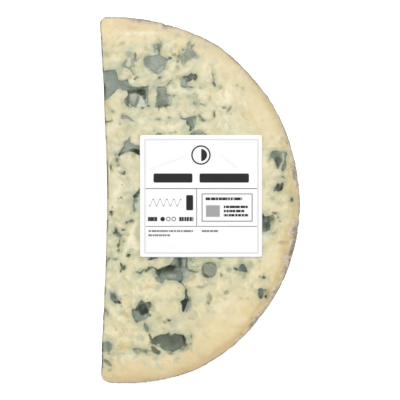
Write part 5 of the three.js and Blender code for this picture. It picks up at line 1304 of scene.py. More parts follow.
    (12.96, -25.96, 1.44, 0.5, -10, 0, "mist", 0.3),
    (15.7, -27.32, 0.65, 0.94, 0, 0, "moss", 0.5),
    (-30.46, -32.22, 1.22, 2.23, -20, 0, "mist", 0.55),
    (-29.16, -34.09, 1.08, 0.54, -12, 0, "ice", 0.9),
    (-22.54, -26.75, 1.15, 0.4, -16, 0, "white", 0.7),
    (-24.34, -25.52, 0.94, 0.36, -20, 0, "mist", 0.4),
    (-5.54, -25.81, 1.3, 1.73, -14, 0, "mist", 0.85),
    (-4.54, -27.83, 1.08, 0.58, -30, 0, "mist", 0.5),
    (-3.96, -30.56, 1.22, 1.22, 0, 0, "sand", 0.45),
    (-3.96, -22.86, 0.5, 1.66, 0, 0, "mist", 0.5),
    (-1.8, -24.66, 1.51, 0.86, -6, 0, "mist", 0.4),
    (-3.82, -37.04, 0.58, 2.66, 0, 0, "mist", 0.85),
    (-4.75, -30.92, 0.36, 0.72, 0, 0, "shade", 0.5),
    (-23.04, -37.4, 1.15, 1.58, -35, 0, "mist", 0.5),
    (-26.86, -41.22, 1.66, 0.29, -56, 0.06, "rust", 0.55),
    (-21.1, -21.35, 0.65, 0.86, 0, 0, "rust", 0.4),
    (-24.48, -30.42, 0.94, 0.5, 20, 0, "mustard", 0.45),
    (-19.08, -31.5, 0.86, 0.43, 30, 0, "mustard", 0.4),
    (-27.58, -53.03, 4.32, 0.94, 2, 0, "brown", 0.3),
    (-21.02, -53.24, 3.24, 0.29, -2, 0, "olive", 0.45),
    (-17.14, -52.96, 1.08, 0.5, -20, 0, "brown", 0.5),
    (-32.18, -52.74, 0.79, 1.94, 0, 0, "mist", 0.55),
    (-5.54, -53.24, 1.58, 0.86, 20, 0, "brown", 0.45),
    (-11.09, -54.68, 1.3, 0.43, -6, 0, "brown", 0.5),
    (-3.38, -49.5, 0.68, 2.59, 0, 0, "moss", 0.6),
    (-9.36, -45.04, 1.66, 2.74, 0, 0, "frost", 0.6),
    (-3.46, -42.52, 1.01, 0.29, -6, 0, "rust", 0.45),
    (-14.54, -41.94, 1.37, 1.08, 10, 0, "moss", 0.45),
    (-3.6, -47.92, 1.94, 4.1, 0, 0, "sand", 0.3),
    (-4.75, -50.58, 0.36, 1.8, -14, 0, "shade", 0.5),
    (-26.64, -52.74, 0.5, 0.5, 0, 0, "mustard", 0.3),
    (-16.2, -36.18, 0.94, 2.02, 0, 0, "mist", 0.35),
    (-14.26, -31.5, 1.01, 0.72, 0, 0, "mist", 0.35),
    (-34.34, -56.7, 0.94, 0.58, 0, 0, "mist", 0.5),
    (-32.9, -60.08, 0.79, 0.94, 0, 0, "mist", 0.3),
    (-33.26, -61.67, 1.22, 0.43, 20, 0, "mustard", 0.5),
    (-25.06, 0.04, 1.94, 1.44, 0, 0, "mist", 0.35),
    (-23.62, -11.34, 0.43, 5.76, -6, 0, "pale", 0.35),
    (-17.78, -24.52, 0.86, 0.5, -24, 0, "shade", 0.35),
    (-17.06, 55.4, 0.79, 1.08, 0, 0, "mist", 0.4),
    (0.18, 34.67, 1.08, 0.58, 0, 0, "moss", 0.4),
    (-34.34, 30.78, 0.5, 1.94, 0, 0, "mist", 0.25),
    (-18.72, 39.06, 0.43, 2.16, 0, 0, "ice", 0.6),
    (-19.15, 34.74, 0.5, 1.15, 0, 0, "ice", 0.5),
    (-33.34, 34.02, 0.79, 1.8, 0, 0, "mustard", 0.6),
    (-31.39, 31.79, 0.86, 0.5, -50, 0, "brown", 0.5),
    (-23.04, -37.26, 0.86, 1.66, -30, 0, "mist", 0.3),
    (-5.69, -25.6, 1.22, 1.8, -14, 0, "mist", 0.6),
    (30.1, -15.16, 1.8, 0.61, 8, 0, "brown", 0.6),
    (30.82, -18.54, 0.54, 3.24, 4, 0, "amber", 0.55),
    (31.54, -12.78, 0.43, 2.52, 6, 0, "amber", 0.5),
    (29.38, -22.14, 0.5, 2.88, 0, 0, "amber", 0.45),
    (25.34, -9.18, 0.5, 1.66, 0, 0, "moss", 0.5),
    (-5.26, -53.1, 1.8, 0.94, 24, 0, "brown", 0.55),
    (-10.8, -54.76, 1.44, 0.5, -4, 0, "brown", 0.5),
    (-3.31, -49.5, 0.65, 2.59, 0, 0, "olive", 0.35),
    (-14.76, -42.44, 1.22, 0.86, 0, 0, "olive", 0.3),
    (-12.82, -43.88, 0.58, 0.36, 0, 0, "brown", 0.6),
    (-19.44, -28.48, 2.52, 0.4, -42, 0.1, "cream", 0.7),
    (-22.68, -31.5, 0.43, 2.88, 28, 0.05, "pale", 0.6),
    (-17.28, -34.38, 2.52, 0.36, 24, -0.1, "pale", 0.6),
    (-25.92, -32.94, 0.43, 2.52, 20, 0, "cream", 0.55),
    (-28.44, -27.18, 1.8, 0.43, 40, 0, "pale", 0.5),
    (-31.32, -27.18, 0.43, 2.52, -20, 0, "cream", 0.45),
    (-12.24, -31.14, 3.24, 2.34, -14, 0, "cream", 0.5),
    (-10.08, -35.82, 2.52, 2.16, 0, 0, "yellow", 0.25),
    (-14.4, -37.98, 2.16, 1.8, 0, 0, "pale", 0.4),
    (-28.8, -43.74, 3.24, 1.08, -10, 0, "cream", 0.35),
    (-31.68, -48.42, 1.8, 1.44, 0, 0, "yellow", 0.2),
    (-25.2, -47.34, 2.88, 1.08, 10, 0, "cream", 0.3),
    (-33.12, -24.3, 1.08, 2.16, 0, 0, "mist", 0.25),
    (-19.22, -36.68, 1.44, 0.43, 10, 0, "brown", 0.4),
    (0.36, -43.74, 2.88, 2.52, 0, 0, "yellow", 0.25),
    (-10.08, -58.14, 3.24, 1.08, 6, 0, "cream", 0.35),
    (-25.92, -56.34, 3.24, 0.94, 14, 0, "pale", 0.5),
    (-18, -56.34, 2.16, 0.79, 20, 0, "pale", 0.35),
    (-25.13, 44.75, 0.86, 0.54, 40, 0, "brown", 0.55),
    (-3.82, 37.26, 0.86, 0.79, 0, 0, "olive", 0.6),
    (-7.49, 44.32, 1.08, 0.58, 0, 0, "olive", 0.6),
    (-23.62, 16.6, 1.3, 1.01, 36, 0, "olive", 0.7),
    (-28.08, -15.73, 0.72, 0.72, 0, 0, "olive", 0.6),
    (30.24, 5.94, 0.86, 1.51, -30, 0, "brown", 0.5),
    (24.12, -33.8, 1.08, 1.8, 0, 0, "brown", 0.9),
    (23.76, -35.82, 0.94, 0.79, 20, 0, "mustard", 0.6),
    (31.32, 12.06, 0.58, 1.58, 10, 0, "moss", 0.5),
    (-17.28, 40.64, 1.3, 0.94, 0, 0, "mist", 0.45),
    (-33.34, 31.86, 0.79, 1.22, 20, 0, "olive", 0.35),
    (-30.24, 55.98, 1.44, 0.86, 0, 0, "mustard", 0.45),
    (-24.12, 62.1, 1.8, 0.94, -8, 0, "mustard", 0.4),
    (-8.64, 43.74, 1.44, 1.08, 0, 0, "mist", 0.3),
    (2.16, -21.28, 1.8, 0.86, 0, 0, "mist", 0.35),
    (18.72, 29.34, 3.24, 1.08, -60, 0.1, "mustard", 0.4),
    (24.84, 33.66, 0.94, 2.88, 30, 0, "mustard", 0.45),
    (15.84, 31.5, 1.44, 1.08, 0, 0, "mustard", 0.5),
    (29.88, -16.74, 0.65, 3.24, 4, 0, "mustard", 0.55),
    (30.74, -14.22, 0.5, 2.88, 4, 0, "amber", 0.6),
    (27.72, 22.5, 1.44, 1.08, 0, 0, "cream", 0.5),
    (13.32, 27.18, 1.44, 1.08, 0, 0, "pale", 0.4),
    (-16.56, -28.84, 1.08, 1.22, 0, 0, "pale", 0.5),
    (-23.76, -56.7, 2.16, 0.94, 14, 0, "pale", 0.55),
    (-30.6, -56.7, 2.52, 1.08, 24, 0, "chalk", 0.35),
    (-28.44, -52.38, 1.44, 1.44, 0, 0, "mustard", 0.45),
    (-24.84, -37.98, 0.5, 3.24, 24, 0.1, "mustard", 0.4),
    (-26.28, -40.86, 0.43, 1.8, 30, 0, "brown", 0.35),
    (-18.72, -27.54, 3.24, 0.36, -62, 0.4, "cream", 0.7),
    (-25.92, -31.5, 2.88, 0.32, -58, 0, "cream", 0.6),
    (-15.84, -31.86, 0.36, 3.24, -6, -0.3, "cream", 0.6),
    (-21.96, -30.28, 1.08, 0.43, 10, 0, "mustard", 0.45),
    (-18.72, -30.78, 1.58, 0.65, -20, 0, "mustard", 0.3),
    (4.68, -30.06, 1.44, 0.72, 0, 0, "olive", 0.3),
    (1.8, -30.56, 0.5, 1.8, -40, 0, "olive", 0.35),
    (-8.64, -21.06, 0.72, 1.8, 0, 0, "moss", 0.3),
    (-3.96, -23.08, 0.86, 1.15, 0, 0, "mist", 0.85),
    (-24.98, -12.78, 6.84, 0.79, 79, 0, "pale", 0.6),
    (-24.34, -13.14, 0.65, 2.52, 0, 0, "pale", 0.55),
    (-28.44, 5.94, 1.08, 0.72, 0, 0, "chalk", 0.8),
    (-22.68, -5.22, 0.86, 0.94, 0, 0, "cream", 0.7),
    (-34.2, 52.74, 0.58, 1.08, 0, 0, "olive", 0.5),
    (23.54, -33.16, 0.65, 1.15, 0, 0, "brown", 0.9),
    (-8.86, -29.56, 1.44, 0.36, 0, 0, "olive", 0.6),
    (23.04, 5.65, 0.47, 1.44, 0, 0, "mist", 0.7),
    (3.24, -28.98, 1.08, 0.58, 0, 0, "cream", 0.75),
    (4.75, 46.98, 0.79, 0.79, 0, 0, "cream", 0.85),
    (-10.44, -44.46, 1.08, 0.72, 0, 0, "mist", 0.7),
    (11.52, 34.02, 1.08, 0.79, 0, 0, "cream", 0.85),
    (3.53, -23, 1.37, 0.43, 4, 0, "olive", 0.4),
    (-13.32, 44.46, 0.94, 0.72, 0, 0, "mist", 0.75),
    (-10.08, 29.34, 2.52, 1.22, 0, 0, "pale", 0.6),
    (-13.32, 29.92, 2.52, 0.79, 0, 0, "pale", 0.6),
    (2.16, -29.34, 1.08, 0.72, 0, 0, "cream", 0.8),
    (-0.72, -22.5, 0.86, 0.79, 0, 0, "pale", 0.8),
    (-33.48, 27.9, 0.65, 0.86, 0, 0, "olive", 0.55),
    (-24.48, -51.3, 0.58, 1.15, 0, 0, "brown", 0.45),
    (-10.44, 55.98, 1.58, 1.08, 0, 0, "pale", 0.7),
    (-15.84, -58.5, 1.66, 1.08, 0, 0, "pale", 0.65),
    (-25.56, -4.5, 1.44, 1.08, 0, 0, "cream", 0.7),
    (-31.32, -37.26, 0.79, 1.08, 0, 0, "mist", 0.6),
    (-27.72, 11.7, 0.79, 0.72, 0, 0, "mist", 0.65),
    (-20.52, 26.1, 1.08, 0.72, 0, 0, "chalk", 0.6),
    (-32.26, -7.38, 0.86, 1.44, 0, 0, "pale", 0.6),
    (-27.22, -41.22, 0.5, 1.44, 70, 0, "mustard", 0.65),
    (-31.68, 10.98, 0.58, 0.86, 0, 0, "olive", 0.5),
    (-32.04, -57.06, 1.08, 0.58, -30, 0, "olive", 0.5),
    (-24.48, 51.66, 0.72, 1.01, 0, 0, "shade", 0.5),
    (-23.4, 48.42, 0.79, 0.58, 0, 0, "olive", 0.45),
    (-25.92, 54.18, 0.86, 0.72, 0, 0, "pale", 0.7),
    (6.84, -23.72, 0.72, 0.65, 0, 0, "brown", 0.55),
    (10.8, -29.56, 1.58, 1.01, 0, 0, "cream", 0.75),
    (-3.82, -32.94, 0.72, 1.08, 0, 0, "olive", 0.5),
    (-32.76, -34.74, 0.86, 1.08, 0, 0, "chalk", 0.5),
    (-3.38, -28.4, 1.01, 0.94, 0, 0, "olive", 0.45),
    (-24.84, 49.14, 1.44, 1.44, 0, 0, "mist", 0.35),
    (-28.44, 13.5, 1.58, 1.44, 0, 0, "mist", 0.45),
    (-23.4, 8.1, 1.08, 1.8, 0, 0, "cream", 0.6),
    (-28.08, 24.3, 1.44, 1.44, 0, 0, "cream", 0.6),
    (28.08, 22.14, 1.58, 1.08, 0, 0, "cream", 0.65),
    (-25.2, -50.94, 1.44, 1.8, 0, 0, "mustard", 0.3),
    (29.52, -1.62, 1.8, 1.58, 0, 0, "cream", 0.55),
    (-19.44, 46.98, 1.08, 1.44, 0, 0, "pale", 0.5),
    (16.56, -40.5, 2.16, 1.8, 0, 0, "mustard", 0.35),
    (-28.44, -55.98, 1.8, 1.08, 0, 0, "pale", 0.5),
    (-12.6, 44.82, 1.8, 1.08, 0, 0, "mist", 0.3),
    (-3.6, 39.06, 0.94, 0.65, 0, 0, "pale", 0.8),
    (24.48, 2.7, 0.86, 1.08, 0, 0, "pale", 0.7),
    (-18.36, -52.16, 0.72, 0.58, 0, 0, "olive", 0.5),
    (-19.44, 55.12, 0.65, 0.79, 0, 0, "olive", 0.45),
    (-25.2, 44.1, 0.86, 0.58, 0, 0, "brown", 0.5),
    (-15.84, -58, 1.44, 0.94, 0, 0, "pale", 0.7),
    (-31.54, -52.38, 0.5, 1.08, 0, 0, "brown", 0.45),
    (-19.44, -33.66, 1.3, 0.94, 0, 0, "mustard", 0.35),
    (30.46, 5.94, 0.72, 1.3, -20, 0, "brown", 0.5),
    (-21.24, -34.6, 1.15, 0.72, 0, 0, "mist", 0.55),
    (-10.08, -45.54, 1.08, 0.86, 0, 0, "mist", 0.6),
    (-15.84, 43.02, 1.08, 0.72, 0, 0, "chalk", 0.6),
    (30.96, 7.38, 1.08, 1.08, 0, 0, "olive", 0.3),
    (-10.8, 30.42, 1.44, 0.86, 0, 0, "pale", 0.6),
    (-0.72, -22.5, 0.58, 0.86, 0, 0, "pale", 0.6),
    (2.16, -29.34, 0.79, 0.58, 0, 0, "pale", 0.6),
    (-10.44, 55.98, 1.08, 0.86, 0, 0, "pale", 0.85),
    (23.9, -33.8, 0.5, 0.94, 0, 0, "brown", 0.6),
    (-16.34, -23.58, 0.79, 0.29, 0, 0, "pale", 0.6),
    (34.34, -12.56, 0.47, 0.65, 0, 0, "blush", 0.6),
    (-31.32, -52.38, 0.58, 0.94, 0, 0, "brown", 0.5),
    (-32.76, -32.58, 0.72, 0.86, 0, 0, "chalk", 0.6),
    (-33.77, -58.72, 0.65, 0.5, 0, 0, "brown", 0.5),
    (-0.72, -27.18, 0.79, 0.58, 0, 0, "mist", 0.5),
    (-13.32, 27.18, 1.08, 0.58, 0, 0, "mist", 0.4),
    (-23.76, -11.7, 0.86, 0.65, 0, 0, "pale", 0.7),
    (-12.96, 24.16, 0.65, 0.58, 0, 0, "mist", 0.65),
    (28.8, -28.62, 0.79, 0.79, 0, 0, "umber", 0.2),
    (-23.4, -18.54, 0.79, 0.79, 0, 0, "pale", 0.55),
    (19.08, -42.66, 0.72, 0.58, 0, 0, "umber", 0.35),
    (-9.36, 28.62, 1.22, 0.65, 0, 0, "pale", 0.55),
    (-21.96, -29.7, 0.94, 0.79, 0, 0, "pale", 0.75),
    (-29.52, 40.14, 1.08, 0.72, 0, 0, "chalk", 0.45),
    (28.44, 21.78, 1.44, 1.08, 0, 0, "cream", 0.55),
    (-18.72, 26.1, 1.44, 1.08, 0, 0, "pale", 0.35),
    (24.12, 23.94, 1.44, 1.08, 0, 0, "pale", 0.4),
    (-13.32, 23.94, 1.08, 1.08, 0, 0, "moss", 0.2),
    (23.76, -34.74, 1.08, 1.08, 0, 0, "brown", 0.25),
    (-2.16, -28.98, 1.08, 1.08, 0, 0, "sand", 0.4),
    (-24.12, 50.22, 1.08, 1.08, 0, 0, "mist", 0.35),
    (29.88, -17.82, 1.08, 1.8, 0, 0, "amber", 0.35),
    (25.56, 2.34, 0.94, 1.08, 0, 0, "pale", 0.4),
]


# Marks of the crust seen from above, over crust and paste: x, y, half length, half width, turn, colour, strength
CRUST_MARKS = [
    (33.62, 9.18, 2.02, 0.43, -79, "umber", 0.85),
    (32.76, 9.9, 1.66, 0.2, -80, "chalk", 0.7),
    (34.06, 6.52, 0.94, 0.25, -68, "chalk", 0.6),
    (33.34, -8.03, 1.44, 0.61, 84, "blush", 0.8),
    (34.06, -10.26, 1.3, 0.47, 80, "umber", 0.38),
    (35.06, -11.34, 2.52, 0.25, 84, "umber", 0.4),
    (33.98, -13.14, 2.7, 0.54, 79, "umber", 0.62),
    (33.34, -16.74, 1.94, 0.72, 74, "umber", 0.55),
    (32.83, -18.9, 1.15, 0.79, 70, "umber", 0.75),
    (32.04, -12.06, 0.65, 0.29, 80, "chalk", 0.8),
    (32.54, -15.3, 0.86, 0.29, 76, "chalk", 0.55),
    (31.25, -22.14, 2.16, 0.61, 68, "clay", 0.6),
    (30.1, -25.02, 1.66, 0.43, 64, "clay", 0.5),
    (26.57, -33.01, 1.51, 0.47, 56, "clay", 0.7),
    (26.71, -32.94, 0.4, 0.29, 40, "umber", 0.7),
    (25.78, -34.67, 0.36, 0.25, 40, "umber", 0.6),
    (27.72, -31.28, 0.43, 0.29, 50, "umber", 0.5),
    (18.58, -45.18, 1.8, 0.5, 49, "umber", 0.7),
    (20.02, -42.16, 0.86, 0.36, 50, "umber", 0.15),
    (17.06, -46.4, 1.01, 0.32, 45, "chalk", 0.75),
    (14.83, -48.06, 0.54, 0.36, 0, "umber", 0.55),
    (-22.68, 64.69, 2.02, 0.5, -8, "clay", 0.65),
    (-19.44, 63.97, 1.44, 0.47, -10, "blush", 0.6),
    (-21.24, 65.2, 3.42, 0.22, -8, "umber", 0.55),
    (-25.92, 65.7, 1.8, 0.18, -3, "umber", 0.4),
    (-12.02, 61.88, 0.79, 0.25, -68, "clay", 0.7),
    (-12.6, 62.82, 0.58, 0.25, -30, "umber", 0.4),
    (-1.44, 59.58, 5.76, 0.22, -26, "umber", 0.35),
    (9, 53.46, 5.76, 0.22, -42, "umber", 0.3),
    (18, 44.46, 5.04, 0.22, -50, "umber", 0.35),
    (-18, -64.48, 3.24, 0.22, 4, "umber", 0.4),
    (-8.64, -63.18, 2.16, 0.22, 12, "umber", 0.3),
    (33.84, -8.46, 1.58, 0.72, 86, "blush", 0.6),
    (33.26, -10.98, 0.4, 0.29, 0, "umber", 0.6),
    (34.34, -9.18, 0.36, 0.5, 0, "umber", 0.5),
    (32.98, -13.5, 0.36, 0.43, 0, "umber", 0.5),
    (32.26, -17.1, 0.32, 0.47, 0, "umber", 0.5),
    (7.92, -52.74, 5.76, 0.36, 36, "clay", 0.35),
    (1.8, -56.7, 5.04, 0.36, 24, "clay", 0.3),
    (20.88, -41.8, 1.22, 0.5, 54, "chalk", 0.55),
    (33.98, 10.76, 1.3, 0.43, 80, "umber", 0.5),
    (31.32, -22.5, 1.58, 0.58, 66, "blush", 0.5),
    (33.34, -14.44, 0.43, 0.86, -10, "chalk", 0.6),
    (34.27, -7.74, 0.43, 0.36, 0, "umber", 0.6),
    (32.62, -10.48, 0.5, 0.36, 30, "chalk", 0.6),
    (33.26, -12.2, 0.32, 0.32, 0, "umber", 0.7),
    (33.7, -16.02, 0.32, 0.47, 0, "umber", 0.6),
    (18.36, -44.32, 1.08, 0.43, 50, "umber", 0.6),
    (34.56, -8.46, 1.08, 0.47, 84, "blush", 0.7),
    (-0.72, -22.5, 0.86, 0.79, 0, "pale", 0.7),
    (2.16, -29.34, 0.79, 0.65, 0, "pale", 0.65),
    (-10.44, 55.98, 0.94, 0.86, 0, "pale", 0.75),
    (-33.26, -33.16, 0.47, 0.58, 0, "chalk", 0.45),
    (-12.82, 29.63, 1.15, 0.72, 0, "pale", 0.5),
    (-15.7, 30.2, 0.72, 0.5, 0, "pale", 0.55),
    (-8.28, 32.08, 1.22, 0.94, 0, "pale", 0.55),
    (20.66, -27.4, 0.72, 0.72, 0, "pale", 0.5),
    (-3.6, 38.92, 1.08, 0.86, 0, "pale", 0.5),
    (-32.76, -11.12, 0.79, 1.01, 0, "pale", 0.5),
    (-25.56, -37.12, 0.79, 1.08, 0, "pale", 0.5),
    (-23.4, -5.22, 1.44, 1.08, 0, "pale", 0.35),
    (-29.16, 40.21, 0.72, 0.5, 0, "pale", 0.35),
    (-23.62, -55.76, 0.94, 0.72, 0, "pale", 0.45),
    (-23.76, -18.54, 1.22, 0.94, 0, "pale", 0.4),
    (-16.7, -23.58, 0.65, 0.32, 0, "pale", 0.45),
    (-32.04, 26.32, 1.44, 1.08, 0, "sand", 0.4),
    (12.24, 24.3, 0.86, 0.47, 0, "mist", 0.45),
    (-26.28, -10.98, 0.65, 0.65, 0, "moss", 0.5),
    (-27, -22.5, 0.58, 0.5, 0, "shade", 0.35),
    (2.52, 35.82, 0.72, 0.65, 0, "mist", 0.5),
    (-32.4, -46.62, 1.08, 0.72, 0, "sand", 0.5),
    (-26.64, 14.58, 1.44, 1.08, 0, "green", 0.45),
    (23.76, -34.02, 0.86, 1.08, 0, "brown", 0.25),
    (-24.12, 50.22, 1.22, 1.08, 0, "mist", 0.25),
    (29.16, -17.82, 1.08, 1.8, 0, "amber", 0.25),
    (34.27, -12.49, 0.43, 0.58, 0, "blush", 0.6),
    (-21.96, 54.54, 0.86, 0.72, 0, "sand", 0.6),
    (-25.92, 54.18, 0.86, 0.65, 0, "pale", 0.5),
    (-27, -41.94, 0.86, 0.72, 0, "moss", 0.45),
    (-33.48, 32.22, 0.72, 0.72, 0, "cream", 0.6),
    (-18.72, 64.26, 0.58, 0.32, -8, "blush", 0.5),
    (11.52, -24.66, 0.72, 0.72, 0, "mist", 0.5),
    (-34.2, -49.14, 0.72, 0.65, 0, "pale", 0.5),
    (-25.92, 22.5, 0.72, 0.58, 0, "frost", 0.55),
    (-3.6, 30.06, 0.72, 0.58, 0, "mist", 0.5),
    (30.6, -23.58, 0.54, 0.72, 0, "brown", 0.45),
    (-20.88, 44.1, 0.79, 0.65, 0, "mist", 0.45),
    (-32.62, -32.94, 0.5, 1.44, 0, "frost", 0.45),
    (28.44, 10.98, 0.61, 0.61, 0, "mist", 0.6),
    (23.4, -32.58, 0.47, 0.58, 0, "brown", 0.45),
    (-7.56, -37.62, 0.72, 0.65, 0, "moss", 0.5),
    (2.16, -31.86, 0.79, 0.65, 0, "green", 0.8),
    (-27.36, -49.5, 0.94, 0.72, 0, "sand", 0.7),
    (14.4, 39.78, 0.94, 0.86, 0, "cream", 0.7),
    (20.16, -25.74, 0.72, 0.72, 0, "sand", 0.7),
    (-23.76, 20.7, 0.54, 0.43, 0, "mist", 0.7),
    (-15.84, -58.14, 0.94, 0.58, 0, "pale", 0.5),
    (24.12, 15.66, 0.79, 0.72, 0, "pale", 0.45),
    (-11.16, 54.18, 0.72, 0.65, 0, "pale", 0.45),
    (3.24, 32.22, 0.86, 0.65, 0, "mist", 0.5),
    (-1.44, -29.34, 0.79, 0.65, 0, "sand", 0.7),
    (-29.88, 57.06, 0.94, 0.79, 0, "sand", 0.75),
    (-20.16, -43.02, 0.72, 0.5, 20, "shade", 0.55),
    (-13.68, 37.26, 0.58, 0.5, 0, "dark", 0.3),
    (-15.84, -26.1, 0.47, 0.54, 0, "dark", 0.5),
    (-28.44, -7.74, 0.72, 0.65, 0, "pale", 0.5),
    (32.76, -3.06, 0.65, 0.86, 0, "cream", 0.55),
    (-17.64, -51.3, 0.5, 0.36, 0, "dark", 0.35),
    (22.32, 28.98, 0.72, 0.65, 0, "mist", 0.5),
    (-6.12, -31.5, 0.5, 0.72, 0, "moss", 0.8),
    (-12.6, -23.94, 0.58, 0.29, 10, "shade", 0.4),
    (-18, -39.42, 0.72, 0.54, 0, "shade", 0.5),
    (-13.32, 45.9, 0.79, 0.58, 0, "mist", 0.55),
    (-32.76, 15.3, 0.65, 0.58, 0, "mist", 0.6),
    (34.56, -8.46, 0.32, 0.65, 0, "blush", 0.5),
    (-16.2, 38.7, 0.72, 0.61, 0, "mist", 0.65),
    (-20.52, 40.86, 0.54, 0.43, 0, "dark", 0.55),
    (-18.36, 45.9, 0.72, 0.58, 0, "pale", 0.45),
    (9, -31.86, 0.79, 0.65, 0, "pale", 0.55),
    (-33.48, -22.14, 0.54, 0.54, 0, "shade", 0.6),
    (-9.72, -48.42, 0.47, 0.36, 0, "dark", 0.7),
    (-32.76, 13.14, 0.65, 0.58, 0, "pale", 0.45),
    (-22.68, 14.22, 1.22, 0.94, 0, "mist", 0.25),
    (-9.22, -23.22, 0.43, 0.43, 0, "shade", 0.5),
    (33.08, 9.18, 1.58, 0.22, 88, "chalk", 0.65),
    (34.06, 6.73, 1.01, 0.25, -48, "chalk", 0.65),
    (33.95, 9.04, 1.04, 0.29, -74, "umber", 0.5),
    (33.44, 10.76, 0.32, 0.29, 0, "shade", 0.5),
    (33.37, -8.82, 1.08, 0.32, 80, "chalk", 0.6),
    (32.58, -11.7, 1.08, 0.29, 72, "chalk", 0.6),
    (34.42, -6.52, 0.32, 0.22, 0, "umber", 0.7),
    (34.24, -9.9, 0.79, 0.29, 76, "umber", 0.35),
    (32.65, -11.92, 0.22, 0.22, 0, "umber", 0.6),
    (34.09, -12.78, 0.72, 0.29, 76, "umber", 0.4),
    (32.87, -18.4, 0.94, 0.32, 62, "umber", 0.55),
    (33.84, -15.16, 1.08, 0.29, 76, "umber", 0.4),
    (31.97, -16.88, 0.94, 0.29, 68, "chalk", 0.6),
    (31.18, -21.42, 1.44, 0.43, 68, "chalk", 0.5),
    (31, -23.87, 0.32, 0.22, 0, "umber", 0.65),
    (30.82, -24.73, 0.25, 0.18, 0, "umber", 0.5),
    (29.48, -27.04, 0.61, 0.32, 42, "chalk", 0.6),
    (26.57, -31.93, 0.79, 0.4, 50, "chalk", 0.5),
    (26.75, -32.94, 0.29, 0.25, 0, "umber", 0.7),
    (28.04, -31.64, 0.94, 0.22, 55, "umber", 0.45),
    (25.63, -34.45, 1.08, 0.29, 58, "blush", 0.5),
    (23.54, -34.74, 0.36, 0.43, 0, "dark", 0.4),
    (23.47, -10.62, 0.54, 0.54, 0, "dark", 0.4),
    (10.44, 31.14, 0.65, 0.58, 0, "moss", 0.3),
    (-31.68, 46.98, 0.58, 0.5, 0, "mist", 0.5),
    (-32.76, -34.74, 0.54, 0.5, 0, "frost", 0.5),
    (29.88, 10.26, 0.54, 0.72, 0, "shade", 0.45),
    (-22.68, -1.26, 0.72, 0.58, 0, "frost", 0.5),
    (23.04, -13.72, 0.43, 0.86, 0, "frost", 0.55),
    (0.14, -22.5, 0.5, 0.58, 0, "pale", 0.5),
    (-14.04, -52.52, 0.58, 0.5, 0, "mist", 0.5),
    (-23.76, 18.54, 0.47, 0.47, 0, "shade", 0.4),
    (-26.64, 14.22, 1.22, 1.08, 0, "green", 0.4),
    (-31.32, 30.06, 2.52, 1.8, 10, "cream", 0.35),
    (-24.12, 50.22, 1.08, 0.94, 0, "mist", 0.35),
    (23.76, -34.02, 0.79, 0.94, 0, "brown", 0.3),
    (-18.36, 64.26, 0.72, 0.32, -8, "blush", 0.5),
    (-16.92, -54.54, 0.5, 0.4, -30, "dark", 0.35),
    (-24.12, 18.9, 0.58, 0.43, 0, "mist", 0.4),
    (29.88, -17.82, 0.86, 1.44, 70, "clay", 0.3),
    (33.19, -15.66, 0.32, 0.65, 70, "chalk", 0.45),
]


def crust_marks(rgb, x, y):
    q = np.column_stack([x, y, np.zeros(len(x))])
    wx, wy = x + 0.20 * noise(q, 0.9, 181) + 0.10 * noise(q, 0.45, 182), y + 0.20 * noise(q, 0.9, 183) + 0.10 * noise(q, 0.45, 184)
    crumb = 0.72 + 0.50 * noise(q, 0.6, 185) + 0.30 * noise(q, 0.35, 186)
    for X, Y, a, b, turn, ink, strength in CRUST_MARKS:
        k = np.nonzero((np.abs(wx - X) < a + b + 1) & (np.abs(wy - Y) < a + b + 1))[0]
        if len(k):
            w = step(0.35, -0.35, lobe_distance(wx[k], wy[k], (X, Y, a, b, math.radians(turn), 2.0, 0.0, 0.0)))
            rgb[k] = blend_to(rgb[k], INK[ink], w * strength * crumb[k])
    return rgb


def creases(x, y, seed):
    """Folds where curds were pressed together: a value that crosses zero along each fold, and where folds are clear."""
    q = np.column_stack([x, y, np.zeros(len(x))])
    flow = q + np.column_stack([2.4 * noise(q, 8, seed + 70), 2.4 * noise(q, 8, seed + 71), np.zeros(len(x))])
    return noise(flow, 6.8, seed + 72) + 0.12 * noise(q, 1.6, seed + 74), step(-0.15, 0.55, noise(q, 8.5, seed + 73))


def swirls(x, y, seed):
    """Streaks drawn out and curled, as soft curd smeared by the wire leaves them; they shape the relief and the paste's
    painted sheen and shade.
    """
    q = np.column_stack([x, y, np.zeros(len(x))])
    p = q + np.column_stack([3.4 * noise(q, 8.5, seed + 20), 3.4 * noise(q, 8.5, seed + 21), np.zeros(len(x))])
    p = p + np.column_stack([1.0 * noise(p, 2.8, seed + 22), 1.0 * noise(p, 2.8, seed + 23), np.zeros(len(x))])
    long = noise(p * np.array([1.0, 0.42, 1.0]), 1.7, seed + 24)
    cross = noise(p * np.array([0.42, 1.0, 1.0]), 2.1, seed + 25)
    pick = step(-0.35, 0.35, noise(q, 11, seed + 26))
    return long * pick + cross * (1 - pick), p


